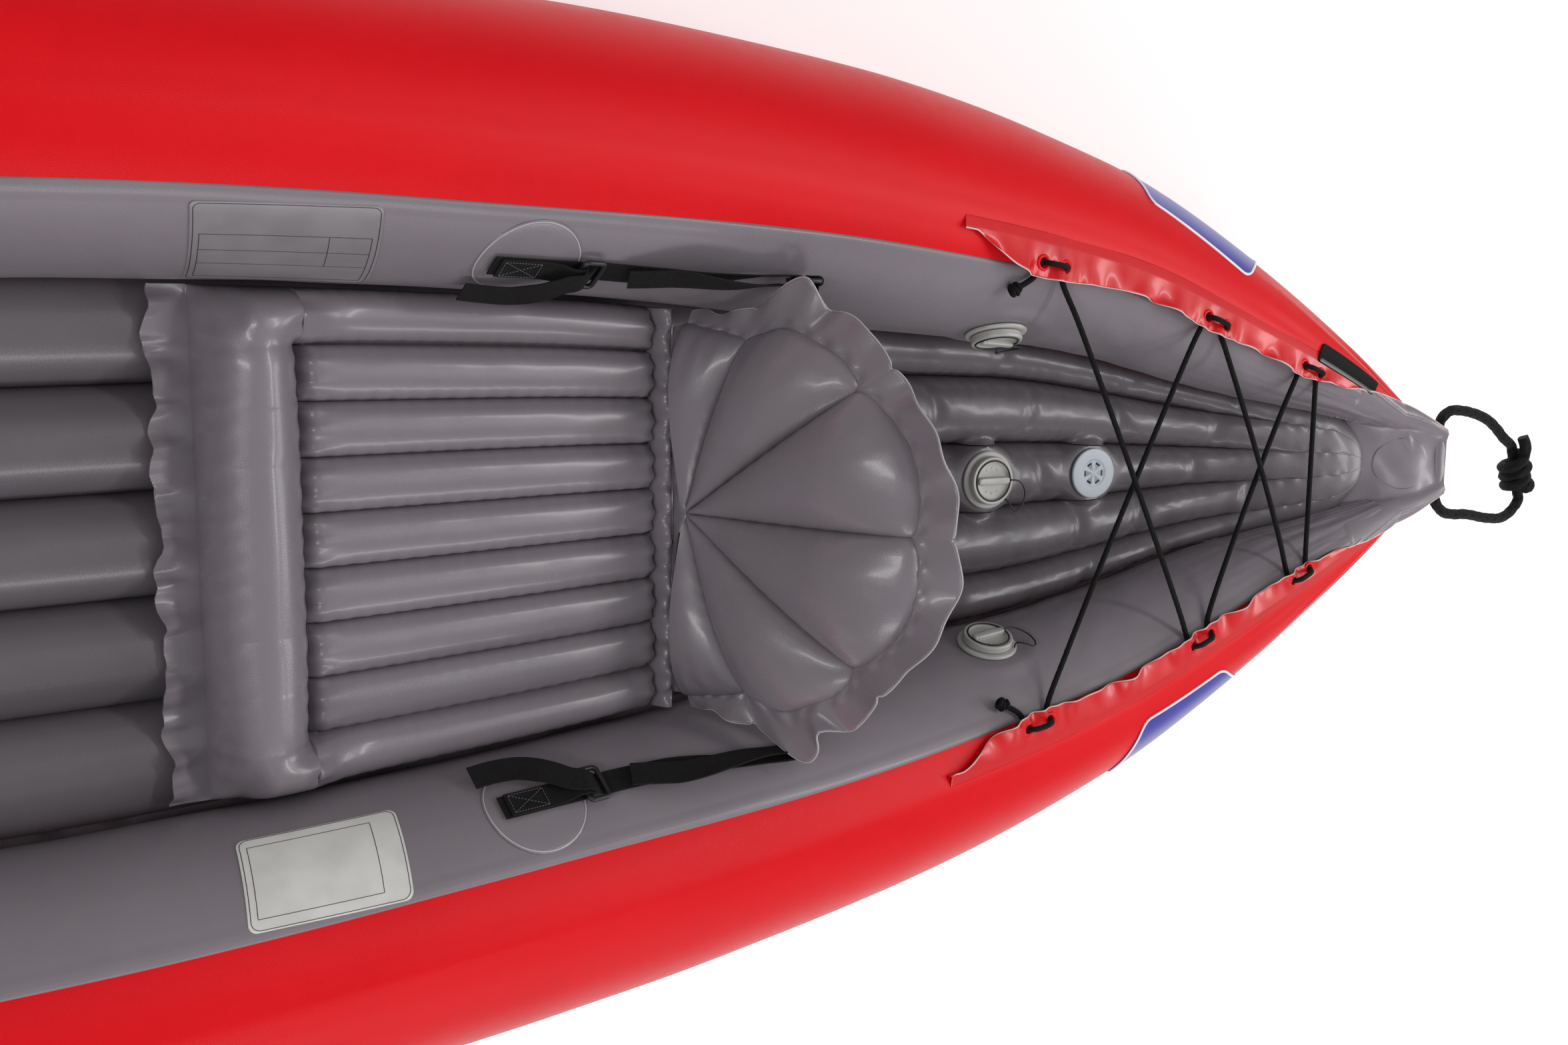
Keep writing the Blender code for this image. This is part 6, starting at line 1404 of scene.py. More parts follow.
def rounded_bar(name, place, length, width, low, high, round_size, mat, knurls=0):
    """A grip bar with rounded ends and edges and shallow finger ribs along its sides."""
    levels = [(low, 0.0), (high - round_size, 0.0)]
    for k in range(1, 6):
        angle = math.pi / 2 * k / 5
        levels.append((high - round_size + round_size * math.sin(angle), round_size * (1 - math.cos(angle))))
    rings = []
    for z, pull in levels:
        ring = []
        for k in range(96):
            angle = 2 * math.pi * k / 96
            c, s = math.cos(angle), math.sin(angle)
            x = math.copysign(abs(c) ** 0.28, c) * (length / 2 - pull)
            rib = 0.00025 * math.sin(2 * math.pi * knurls * x / length) if knurls and abs(s) > 0.5 else 0.0
            y = math.copysign(abs(s) ** 0.5, s) * (width / 2 - pull * 0.7 - rib)
            ring.append(tuple(place @ Vector((x, y, z))))
        rings.append(ring)
    return grid_piece(name, np.array(rings), mat, wrap=True, caps=True, smooth_deg=50)


def join(pieces):
    """Joins meshes into the first one."""
    with bpy.context.temp_override(active_object=pieces[0], object=pieces[0], selected_objects=pieces,
                                   selected_editable_objects=pieces):
        bpy.ops.object.join()
    return pieces[0]


def make_cap(label, place):
    """The screw cap: dished top, raised rim, grip bar, ribbed skirt."""
    dish = CAP_TOP - CAP_DISH_DEPTH
    low = FLANGE_TOP + RUN_GAP
    gasket_top = FLANGE_TOP + SEAT_GAP + 2 * GASKET_CORD_RADIUS + SEAT_GAP
    groove = GASKET_RADIUS + GASKET_CORD_RADIUS + RUN_GAP
    skirt_low = gasket_top - CAP_SKIRT_DEPTH - CAP_DISH_DEPTH
    inner = CAP_SKIRT_RADIUS - CAP_SKIRT_WALL
    under = min(dish - CAP_TOP_WALL, gasket_top)
    thread = []
    for k in range(7):
        thread.append((CAP_SKIRT_RADIUS - (0.0005 if k % 2 else 0.0), gasket_top - 0.0016 - k * 0.0008))
    top = round_corners([(0, dish), (CAP_DISH_RADIUS * 0.70, dish), (CAP_DISH_RADIUS * 0.96, dish + 0.0003),
                         (CAP_DISH_RADIUS * 1.10, CAP_TOP - 0.0002), (CAP_DISH_RADIUS * 1.16, CAP_TOP),
                         (CAP_RADIUS - 0.0007, CAP_TOP), (CAP_RADIUS, CAP_TOP - 0.0016),
                         (CAP_RADIUS, low + 0.0005), (CAP_RADIUS - 0.0006, low), (groove, low),
                         (groove, gasket_top), (CAP_SKIRT_RADIUS, gasket_top)], 0.0009)
    rest = [(CAP_SKIRT_RADIUS, skirt_low), (inner, skirt_low), (inner, under), (0, under)]
    pieces = [turned(label + "_screw_cap", top + thread + rest, VALVE_PLASTIC, place, sides=96,
                     smooth_deg=35)]
    pieces.append(rounded_bar(label + "_cap_grip", place, CAP_BAR_LENGTH * 0.985, CAP_BAR_WIDTH, dish - 0.001,
                              dish + CAP_BAR_HEIGHT, 0.0018, VALVE_PLASTIC, knurls=9))
    mark = round_corners([(0, 0.00035), (0.0011, 0.00035), (0.0013, -0.0002)], 0.0002)
    for degrees in (-60, -90, -120, 60, 90, 120):
        turn = Matrix.Rotation(math.radians(degrees), 4, "Z")
        spot = place @ turn @ Matrix.Translation((CAP_DISH_RADIUS * 0.66, 0, dish))
        pieces.append(turned("mark", mark, VALVE_PLASTIC, spot, sides=20))
    return join(pieces)


for valve in VALVES:
    valve_place = valve_frame(valve)
    dress(make_housing(valve, valve_place), "hull", "valve_plastic", valve + "_housing")
    dress(make_cap(valve, valve_place), valve + "_cap", "valve_plastic", valve + "_cap")
    gasket_place = valve_place @ Matrix.Translation((0, 0, FLANGE_TOP + SEAT_GAP + GASKET_CORD_RADIUS))
    gasket = eyelet(valve + "_seal_ring", gasket_place, RUBBER, GASKET_RADIUS - GASKET_CORD_RADIUS,
                    GASKET_RADIUS + GASKET_CORD_RADIUS, GASKET_CORD_RADIUS)
    dress(gasket, valve + "_gasket", "rubber", valve + "_gasket")


def make_relief_housing(place):
    """The relief valve's disc with its six short slots."""
    top = SEAT_GAP + RELIEF_THICKNESS
    rim = RELIEF_FLANGE_RADIUS
    profile = round_corners([(0, top - 0.0004), (0.0125, top - 0.0004), (0.0135, top), (rim - 0.0008, top),
                             (rim, top - 0.0008), (rim, SEAT_GAP), (0.0150, SEAT_GAP), (0.0150, -0.0160),
                             (0.0080, -0.0160), (0.0080, -0.0140), (0.0125, -0.0140), (0.0125, SEAT_GAP),
                             (0, SEAT_GAP)], 0.0005)
    made = turned("relief_disc", profile, RELIEF_PLASTIC, place, sides=96, smooth_deg=35)
    quarter = Matrix.Rotation(math.pi / 2, 4, "Z")
    for k in range(RELIEF_SLOT_COUNT):
        turn = Matrix.Rotation(2 * math.pi * k / RELIEF_SLOT_COUNT, 4, "Z")
        at = place @ turn @ Matrix.Translation((RELIEF_SLOT_CIRCLE, 0, 0)) @ quarter
        cut_out(made, rounded_bar("cutter", at, 0.0055, 0.0018, -0.004, top + 0.004, 0.0001, RELIEF_PLASTIC))
    return made


dress(make_relief_housing(relief_frame()), "hull", "relief_plastic", "relief_valve_housing")


def make_coil(node_name, place):
    """A smooth round-wire spring in the solid spring's place."""
    node = frame["nodes"][node_name]
    local = np.array([place.inverted() @ (node.matrix_world @ v.co) for v in node.data.vertices])
    first = local.min(axis=0) + SPRING_WIRE_RADIUS
    last = local.max(axis=0) - SPRING_WIRE_RADIUS
    x, y = (float(v) for v in (first + last)[:2] / 2)
    reach = float(last[0] - first[0]) / 2
    low, high = float(first[2]), float(last[2])
    points = []
    steps = 60 * SPRING_CURLS
    for k in range(steps + 1):
        angle = 2 * math.pi * SPRING_CURLS * k / steps
        z = low + (high - low) * k / steps
        points.append(place @ Vector((x + reach * math.cos(angle), y + reach * math.sin(angle), z)))
    coil = braided_cord(node_name + "_coil", points, SPRING_WIRE_RADIUS, STEEL, strands=2, sides=10,
                        depth_share=0.0, step_share=0.6)[0]
    dress(coil, "hull", "steel", node_name)
    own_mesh(coil)


for valve in VALVES:
    make_coil(valve + "_spring", valve_frame(valve))
make_coil("relief_valve_spring", relief_frame())


# Seat and backrest sizes
SEAT_FRONT = 0.060
SEAT_REAR = 0.445
SEAT_FLANGE = 0.028
SEAT_BOLSTER = 0.064
SEAT_SIDE_GAP = 0.0022
SEAT_CHANNELS = 9
SEAT_CHANNEL_HEIGHT = 0.030
SEAT_BOLSTER_HEIGHT = 0.062
SEAT_SEAM_THICKNESS = 0.009
SEAT_FLANGE_THICKNESS = 0.0025
SEAT_END_ROUND = 0.016
SEAT_VALLEY_SHARE = 0.42
BACKREST_RECLINE_DEG = 68.0
BACKREST_FOOT = 0.0010
BACKREST_RADIUS = 0.245
BACKREST_THICKNESS = 0.046
BACKREST_EDGE = 0.0024
BACKREST_RUFFLE = 0.0070
BACKREST_FOLDS_DEG = (37.0, 141.0)
BACKREST_HUB_HEIGHT = 0.014
BACKREST_SEAM_DEG = (0.0, 22.0, 56.0, 90.0, 124.0, 158.0, 180.0)
BACKREST_ANGLES_DEG = (0.0, 8.0, 15.0, 25.0, 32.0, 40.0, 50.0, 60.0, 75.0, 90.0)
BACKREST_CORE_SHARES = (0.612, 0.604, 0.612, 0.660, 0.720, 0.745, 0.790, 0.815, 0.865, 0.870)
BACKREST_FLANGE_SHARES = (0.640, 0.645, 0.672, 0.782, 0.885, 0.862, 0.900, 0.915, 0.970, 0.985)
BACKREST_SEAM_DEPTH_SHARE = 0.34
BACKREST_SCALLOP_SHARE = 0.055
BACKREST_PUFF = 0.003
BACKREST_FOOT_ROWS = ((0.66, 0.66), (0.36, 0.44), (0.14, 0.24))
FOOT_POINTS = 41
HINGE = Vector(JOINTS["backrest_fold"]["pos_m"])
SEAT_BASE = float(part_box("seat_pad")[0][2])

# How the seat's and the backrest's skins are blown up
INFLATE_SMOOTHING = 14
INFLATE_FRAMES = 18
INFLATE_SETTINGS = {"quality": 7, "mass": 0.2, "tension_stiffness": 18.0, "compression_stiffness": 18.0,
                    "shear_stiffness": 7.2, "bending_stiffness": 0.25, "tension_damping": 10.0,
                    "compression_damping": 10.0, "air_damping": 6.0, "use_pressure": True,
                    "uniform_pressure_force": 5.0}


def pull_smooth(made, move, held):
    """Evens out the moves of a mesh's points along its edges, with the held ones at rest."""
    ends = np.array([edge.vertices[:] for edge in made.data.edges])
    degree = np.bincount(ends.ravel(), minlength=len(move))[:, None]
    loose = np.ones((len(move), 1))
    loose[list(held)] = 0.0
    for unused in range(INFLATE_SMOOTHING):
        total = np.zeros_like(move)
        np.add.at(total, ends[:, 0], move[ends[:, 1]])
        np.add.at(total, ends[:, 1], move[ends[:, 0]])
        move = (0.4 * move + 0.6 * total / np.maximum(degree, 1)) * loose
    return move


def inflate(made, held, growth, cap):
    """Blows up a fabric skin between its held seams as cloth and keeps the result in its mesh."""
    start = np.zeros(len(made.data.vertices) * 3)
    made.data.vertices.foreach_get("co", start)
    group = made.vertex_groups.new(name="held")
    group.add([int(k) for k in held], 1.0, "REPLACE")
    step = made.modifiers.new("inflate", "CLOTH")
    for key, value in INFLATE_SETTINGS.items():
        setattr(step.settings, key, value)
    step.settings.vertex_group_mass = "held"
    step.settings.shrink_min = -growth
    step.settings.effector_weights.gravity = 0.0
    step.collision_settings.use_collision = False
    step.collision_settings.use_self_collision = False
    step.point_cache.frame_start = 1
    step.point_cache.frame_end = INFLATE_FRAMES
    scene = bpy.context.scene
    for at in range(1, INFLATE_FRAMES + 1):
        scene.frame_set(at)
    done = made.evaluated_get(bpy.context.evaluated_depsgraph_get())
    fresh = np.zeros_like(start)
    done.data.vertices.foreach_get("co", fresh)
    made.modifiers.clear()
    made.vertex_groups.clear()
    start = start.reshape(-1, 3)
    move = pull_smooth(made, np.nan_to_num(fresh.reshape(-1, 3) - start), held)
    away = np.linalg.norm(move, axis=1, keepdims=True)
    move *= np.minimum(1.0, cap / np.maximum(away, 1e-9))
    made.data.vertices.foreach_set("co", (start + move).ravel())
    made.data.update()
    scene.frame_set(1)


def merged_index(made, points, chosen):
    """Indexes of the chosen points in a mesh whose doubles were merged."""
    def key(place):
        return tuple(round(float(c), 6) for c in place)
    lookup = {}
    for v in made.data.vertices:
        lookup.setdefault(key(v.co), v.index)
    keys = [key(np.float32(points[k])) for k in chosen]
    return sorted({lookup[k] for k in keys if k in lookup})


def seat_half_width(x):
    """Half width of the seat, close against the inner panels."""
    centre, unused, radius = tube_at(x)
    return centre - radius - SKIN - SEAT_SIDE_GAP


def seat_thickness(x, share):
    """Thickness of the seat at a station and at a share of its half width."""
    start = SEAT_FRONT + SEAT_FLANGE
    end = start + SEAT_BOLSTER
    if x <= start:
        return SEAT_FLANGE_THICKNESS
    lane = (share + 1) / 2 * SEAT_CHANNELS
    u = 2 * (lane - math.floor(min(lane, SEAT_CHANNELS - 1e-6))) - 1
    u = max(-1.0, min(1.0, u))
    side_lane = lane < 1 or lane > SEAT_CHANNELS - 1
    front = start + SEAT_BOLSTER * 0.25 if side_lane else end
    swell = max(0.0, 1 - abs(u) ** 2.2) ** 0.5
    ends = 1.0
    for gap in (x - front, SEAT_REAR - x):
        t = min(max(gap / SEAT_END_ROUND, 0.0), 1.0)
        ends *= math.sqrt(max(0.0, 1 - (1 - t) ** 2))
    top = SEAT_CHANNEL_HEIGHT
    if side_lane:
        near = math.exp(-(max(0.0, x - end + SEAT_BOLSTER * 0.3) / (SEAT_BOLSTER * 0.55)) ** 2)
        top += (SEAT_BOLSTER_HEIGHT * 0.9 - SEAT_CHANNEL_HEIGHT) * near
    swell = swell if side_lane else SEAT_VALLEY_SHARE + (1 - SEAT_VALLEY_SHARE) * swell
    channel = SEAT_SEAM_THICKNESS * (0.3 + 0.4 * ends) + (top - SEAT_SEAM_THICKNESS * 0.7) * swell * ends
    if x >= end:
        return channel
    v = 2 * (x - start) / SEAT_BOLSTER - 1
    rim = min(1.0, (1 - abs(share)) * 3.2)
    roll = (SEAT_BOLSTER_HEIGHT - SEAT_FLANGE_THICKNESS) * math.sqrt(max(0.0, 1 - v * v))
    roll = SEAT_FLANGE_THICKNESS + roll * math.sqrt(max(0.0, 1 - (1 - rim) ** 2))
    if v > 0.9 and not side_lane:
        roll = max(roll, SEAT_SEAM_THICKNESS * 0.6)
    if not side_lane:
        return roll
    return (roll ** 6 + channel ** 6) ** (1 / 6)


def seat_wrinkles(x, share):
    """How far the seat's fabric rises and shifts: the ruffled front edge, seam puckers and roll folds."""
    start = SEAT_FRONT + SEAT_FLANGE
    end = start + SEAT_BOLSTER
    flange = np.clip((start - x) / SEAT_FLANGE, 0, 1)
    wave = 0.0050 * np.sin(share * 21 + 0.8) + 0.0032 * np.sin(share * 47 + 1.9) + 0.0016 * np.sin(share * 83)
    rise = flange ** 1.2 * (wave + 0.0052)
    shift = flange ** 2 * (0.0026 * np.sin(share * 13 + 0.4) + 0.0012 * np.sin(share * 37))
    x = x + shift
    inner = (x > end) & (x < SEAT_REAR)
    lane = (share + 1) / 2 * SEAT_CHANNELS
    off = np.abs(lane - np.round(lane))
    ends = np.exp(-((x - end) / 0.018) ** 2) + np.exp(-((SEAT_REAR - x) / 0.014) ** 2)
    rise = rise + 0.0009 * np.exp(-(off / 0.13) ** 2) * np.sin(x * 410 + 3 * np.sin(lane * 2.2)) * inner
    rise = rise + 0.0030 * ends * np.sin(lane * 15.5 + 1.2) * inner * (off > 0.06)
    edge = np.exp(-((x - start) / 0.010) ** 2) + np.exp(-((end - x) / 0.008) ** 2)
    rise = rise + 0.0022 * edge * np.sin(share * 62 + 1.5 * np.sin(share * 9)) * ((x > start) & (x < end))
    return rise, shift


def seat_skirt(points, start):
    """The points under the seat's rim, and the faces that close it down to its base."""
    rows, columns = points.shape[:2]
    flat = list(points.reshape(-1, 3))
    border = list(range(columns)) + [i * columns + columns - 1 for i in range(1, rows)]
    border += [(rows - 1) * columns + j for j in reversed(range(columns - 1))]
    border += [i * columns for i in reversed(range(1, rows - 1))]
    low = len(flat)
    for k in border:
        under = SEAT_BASE if flat[k][0] > start - 0.001 else flat[k][2] - SEAT_FLANGE_THICKNESS * 0.7
        flat.append((flat[k][0], flat[k][1], under))
    faces = []
    for i, here in enumerate(border):
        j = (i + 1) % len(border)
        faces.append((here, low + i, low + j, border[j]))
    return flat, faces, low


def make_seat():
    """The seat: ruffled front flange, front roll that turns into the side channels, seven inner channels."""
    start = SEAT_FRONT + SEAT_FLANGE
    end = start + SEAT_BOLSTER
    rows = list(np.linspace(SEAT_FRONT, start, 16, endpoint=False))
    rows += list(start + SEAT_BOLSTER * (0.5 - 0.5 * np.cos(math.pi * np.linspace(0, 1, 30, endpoint=False))))
    rows += list(np.linspace(end, end + SEAT_END_ROUND, 12, endpoint=False))
    rows += list(np.linspace(end + SEAT_END_ROUND, SEAT_REAR - SEAT_END_ROUND, 56, endpoint=False))
    rows += list(np.linspace(SEAT_REAR - SEAT_END_ROUND, SEAT_REAR, 13))
    per_lane = 14
    lanes = []
    for lane in range(SEAT_CHANNELS):
        for k in range(per_lane):
            lanes.append(-1 + 2 * (lane + 0.5 - 0.5 * math.cos(math.pi * k / per_lane)) / SEAT_CHANNELS)
    lanes.append(1.0)
    columns = len(lanes)
    points = np.zeros((len(rows), columns, 3))
    held = []
    for i, x in enumerate(rows):
        wide = float(seat_half_width(x))
        for j, share in enumerate(lanes):
            points[i, j] = (x, wide * share, SEAT_BASE + seat_thickness(x, share))
            inner = per_lane <= j <= columns - 1 - per_lane
            seam = inner and (j % per_lane == 0 and x >= end - 1e-6 or abs(x - end) < 1e-6)
            rim = j in (0, columns - 1) or i == len(rows) - 1
            if seam or rim:
                held.append(i * columns + j)
    rise, shift = seat_wrinkles(points[..., 0], np.array(lanes)[None, :])
    points[..., 0] += shift
    points[..., 2] += rise
    held += [int(k) for k in np.flatnonzero(points[..., 0].ravel() <= start + 1e-6)]
    flat, skirt, low = seat_skirt(points, start)
    held += list(range(low, len(flat)))
    faces = grid_faces(len(rows), columns) + skirt
    made = make_mesh("seat_cushion", flat, faces, GREY_LOOSE, smooth_deg=80.0)
    inflate(made, merged_index(made, flat, set(held)), 0.006, 0.004)
    for v in made.data.vertices:
        v.co.z = max(v.co.z, SEAT_BASE)
    return made


def backrest_point(across, up, out):
    """World place of a point given in the backrest's own directions."""
    lean = math.radians(BACKREST_RECLINE_DEG)
    along = np.array([math.cos(lean), 0.0, math.sin(lean)])
    rear = np.array([math.sin(lean), 0.0, -math.cos(lean)])
    return np.array(HINGE) + np.array([0.0, across, 0.0]) + along * (up + BACKREST_FOOT) + rear * out


def fan_point(radius, angle, out):
    """World place of a point of the backrest given round its hub."""
    turn = math.radians(angle)
    return backrest_point(radius * math.cos(turn), BACKREST_HUB_HEIGHT + radius * math.sin(turn), out)


core_share = smooth_curve(BACKREST_ANGLES_DEG, BACKREST_CORE_SHARES)


def lobe_share(angle):
    """How far between two radial seams an angle is, as a swell from 0 to 1."""
    for low, high in zip(BACKREST_SEAM_DEG, BACKREST_SEAM_DEG[1:]):
        if low <= angle <= high:
            u = 2 * (angle - low) / (high - low) - 1
            if low == 0.0:
                u = 0.5 + 0.5 * u
            elif high == 180.0:
                u = 0.5 - 0.5 * u
            return math.sqrt(max(0.0, 1 - u * u))
    return 0.0


def backrest_core(angle):
    """Distance from the hub to the welded seam round the fan, drawn in where the spokes end."""
    mirrored = min(angle, 180.0 - angle)
    drawn = 1 - BACKREST_SCALLOP_SHARE * (1 - lobe_share(angle)) * ease((mirrored - 8.0) / 14.0)
    return BACKREST_RADIUS * float(core_share(mirrored)) * float(drawn)


def fan_half_thickness(rho, angle):
    """Half thickness of the fan at a share of the outline radius."""
    swell = max(0.0, math.sin(math.pi * min(1.0, 0.10 + 0.90 * rho) ** 1.7)) ** 0.6 if rho < 1 else 0.0
    seam = BACKREST_SEAM_DEPTH_SHARE + (1 - BACKREST_SEAM_DEPTH_SHARE) * lobe_share(angle)
    return BACKREST_EDGE / 2 + (BACKREST_THICKNESS / 2 + BACKREST_PUFF - BACKREST_EDGE / 2) * swell * seam


def fan_waves(rho, angle, face):
    """Small folds of the fan: along its spokes and round its rim."""
    lobe = lobe_share(angle)
    spoke = 0.0022 * (1 - lobe) ** 2 * math.sin(rho * 66 + face + angle) * min(1.0, rho * 2) * (1 - rho)
    rim = 0.0034 * math.exp(-((1 - rho) / 0.16) ** 2) * (1 - rho) ** 0.4 * lobe
    return spoke + rim * math.sin(math.radians(angle) * 52 + 0.7 * face)


def fan_skin(face, base, angles, rhos, per_lobe):
    """One skin of the backrest with its foot: points, faces and the numbers of those held by seams."""
    count = len(angles)
    rings = len(rhos)
    points, held = [], []
    for i, rho in enumerate(rhos):
        for j, angle in enumerate(angles):
            half = fan_half_thickness(rho, angle) + fan_waves(rho, angle, face)
            if j % per_lobe == 0 or i in (0, rings - 1):
                held.append(base + len(points))
            points.append(fan_point(backrest_core(angle) * rho, angle, face * half))
    faces = grid_faces(rings, count, start=base)
    hub = base + len(points)
    held.append(hub)
    points.append(backrest_point(0, BACKREST_HUB_HEIGHT, face * fan_half_thickness(0, 90)))
    for j in range(count - 1):
        faces.append((hub, base + j, base + j + 1))
    half = backrest_core(0.0)
    top = [base + i * count for i in reversed(range(rings))] + [hub]
    top += [base + i * count + count - 1 for i in range(rings)]
    marks = np.linspace(0, len(top) - 1, FOOT_POINTS).round().astype(int)
    top_rhos = list(reversed(rhos)) + [0.0] + list(rhos)
    first = base + len(points)
    for up_share, thick_share in BACKREST_FOOT_ROWS:
        for mark, across in zip(marks, np.linspace(1, -1, FOOT_POINTS)):
            thick = fan_half_thickness(top_rhos[mark], 0.0) if abs(across) < 1 else BACKREST_EDGE / 2
            points.append(backrest_point(half * 0.985 * across, BACKREST_HUB_HEIGHT * up_share,
                                         face * max(BACKREST_EDGE / 2, thick * thick_share)))
    for across in np.linspace(1, -1, FOOT_POINTS):
        held.append(base + len(points))
        points.append(backrest_point(half * 0.97 * across, 0, face * BACKREST_EDGE / 2))
    faces += grid_faces(len(BACKREST_FOOT_ROWS) + 1, FOOT_POINTS, start=first)
    for k in range(FOOT_POINTS - 1):
        joined = [top[n] for n in range(marks[k + 1], marks[k] - 1, -1)]
        faces.append((first + k, first + k + 1, *joined))
    return points, faces, held


def make_backrest():
    """The fan-shaped backrest: two skins sewn together along five spokes and welded round the edge."""
    per_lobe = 18
    angles = []
    for low, high in zip(BACKREST_SEAM_DEG, BACKREST_SEAM_DEG[1:]):
        for k in range(per_lobe):
            angles.append(low + (high - low) * (0.5 - 0.5 * math.cos(math.pi * k / per_lobe)))
    angles.append(180.0)
    steps = 40
    rhos = [0.04 + 0.96 * k / steps for k in range(steps + 1)]
    count = len(angles)
    points, faces, held = [], [], []
    for face in (-1, 1):
        skin, skin_faces, skin_held = fan_skin(face, len(points), angles, rhos, per_lobe)
        points += skin
        faces += skin_faces
        held += skin_held
    half_count = len(points) // 2
    foot = range(half_count - FOOT_POINTS, half_count)
    loop = [steps * count + j for j in range(count)] + list(reversed(foot))
    for i, here in enumerate(loop):
        after = loop[(i + 1) % len(loop)]
        faces.append((here, after, half_count + after, half_count + here))
    made = make_mesh("backrest_fan", points, faces, GREY_LOOSE, smooth_deg=85.0)
    inflate(made, merged_index(made, points, held), 0.014, 0.007)
    return made


def make_backrest_flange():
    """The thin welded edge round the fan, ruffled where the pressure gathers it."""
    angles = np.linspace(0.0, 180.0, 541)
    shares = np.linspace(0.0, 1.0, 17)
    points = np.zeros((len(angles), len(shares), 3))
    outer_curve = smooth_curve(BACKREST_ANGLES_DEG, BACKREST_FLANGE_SHARES)
    for i, angle in enumerate(angles):
        inner = backrest_core(angle) - 0.0012
        outer = BACKREST_RADIUS * float(outer_curve(min(angle, 180.0 - angle)))
        outer = max(outer, inner + BACKREST_EDGE)
        turn = math.radians(angle)
        wave = BACKREST_RUFFLE * math.sin(turn * 8.0 + math.radians(40.0))
        wave += 0.0030 * math.sin(turn * 19.0 + math.radians(10.0)) + 0.0016 * math.sin(turn * 37.0)
        scallop = 0.0085 * (lobe_share(angle) - 0.75) + 0.0014 * math.sin(turn * 27.0)
        for fold in BACKREST_FOLDS_DEG:
            near = math.exp(-((angle - fold) / 2.6) ** 2)
            wave += 0.013 * near * (1 if fold < 90 else -1)
            scallop -= 0.009 * near
        for j, share in enumerate(shares):
            radius = inner + (outer + scallop - inner) * share
            gather = 0.0012 * math.sin(turn * 62.0) * math.exp(-((share - 0.12) / 0.12) ** 2)
            points[i, j] = fan_point(radius, angle, wave * share ** 1.3 + gather)
    made = grid_piece("backrest_ruffled_edge", points, GREY_LOOSE, smooth_deg=75.0)
    thicken(made, 0.0015, 0.0)
    rim = [tuple(p) for p in points[::3, -1]]
    return made, fine_line("backrest_cut_edge", rim, 0.0008, EDGE_GREY)


def make_hinge_strip():
    """The welded strip that the backrest folds on, gathered where the seat's channels end."""
    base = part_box("backrest_hinge_strip")[0][2]
    front = SEAT_REAR - 0.004
    rear = HINGE.x - SEAT_GAP
    half = float(seat_half_width(HINGE.x))
    corner = (rear - 0.0012, HINGE.z + 0.0006)
    outline = [(front, base), (rear, base), (rear, HINGE.z - 0.0008), corner]
    for share in np.linspace(0.1, 1.0, 10):
        x = corner[0] + (front - corner[0]) * share
        rise = (base + 0.016 - HINGE.z) * share ** 2 + 0.0035 * math.sin(math.pi * share)
        outline.append((x, corner[1] + rise))
    y = np.linspace(-half, half, 241)
    points = np.zeros((len(y), len(outline), 3))
    for i, across in enumerate(y):
        lane = across / half * SEAT_CHANNELS * math.pi
        fold = 0.0022 * math.sin(lane + 0.4 * math.sin(across * 40)) + 0.0009 * math.sin(lane * 2.7 + 1.0)
        for j, (x, z) in enumerate(outline):
            up = float(ease((z - base) / max(HINGE.z - base, 1e-6))) * float(ease((rear - x) / 0.004))
            points[i, j] = (x + 0.0008 * up * math.sin(lane * 1.5), across, z + fold * up)
    return grid_piece("backrest_hinge_fabric", points, GREY_LOOSE, wrap=True, caps=True, smooth_deg=70.0)


seat = dress(make_seat(), "hull", "grey_fabric", "seat_pad")
fan = dress(make_backrest(), "backrest", "grey_fabric", "backrest")
flange, flange_trim = make_backrest_flange()
dress(flange, "backrest", "grey_fabric", "backrest_flange")
dress(flange_trim, "backrest", "grey_fabric")
strip = dress(make_hinge_strip(), "hull", "grey_fabric", "backrest_hinge_strip")
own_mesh(fan)
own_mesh(seat)
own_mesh(strip)

# Solids that already have their right shape and only take a better material
FINE_SOLIDS = {"relief_valve_poppet": RUBBER, "seat_valve": VALVE_PLASTIC, "seat_valve_plug": VALVE_PLASTIC}
for valve in VALVES:
    FINE_SOLIDS[valve + "_seal"] = RUBBER
    FINE_SOLIDS[valve + "_stem"] = VALVE_PLASTIC
for node, mat in FINE_SOLIDS.items():
    frame["nodes"][node].material_slots[0].material = mat


# Seat straps, from the joints that their rings turn on
WEBBING_WIDTH = 0.020
WEBBING_THICKNESS = 0.0015
WEBBING_STEP = 0.0011
STITCH_PITCH = 0.0024
PATCH_RADIUS = 0.040
PATCH_THICKNESS = 0.0010
PATCH_X = 0.300
PATCH_DEG = 54.0
RING_BAR_RADIUS = 0.0020
RING_WINDOW = 0.0120
RING_SIDE_GAP = 0.0020
LOOP_GAP = 0.0006
TAB_LENGTH = 0.066
STRAP_SAG = 0.008
STRAP_FAN = 0.013
TAIL_LENGTH = 0.085
TAIL_SPREAD = 0.031
BACK_TAB_SPREAD = 0.046
WEBBING_LOOP = RING_BAR_RADIUS + LOOP_GAP + WEBBING_THICKNESS / 2


def upright_from(vector, run):
    """The part of a direction that stands square to a run."""
    return (vector - run * vector.dot(run)).normalized()


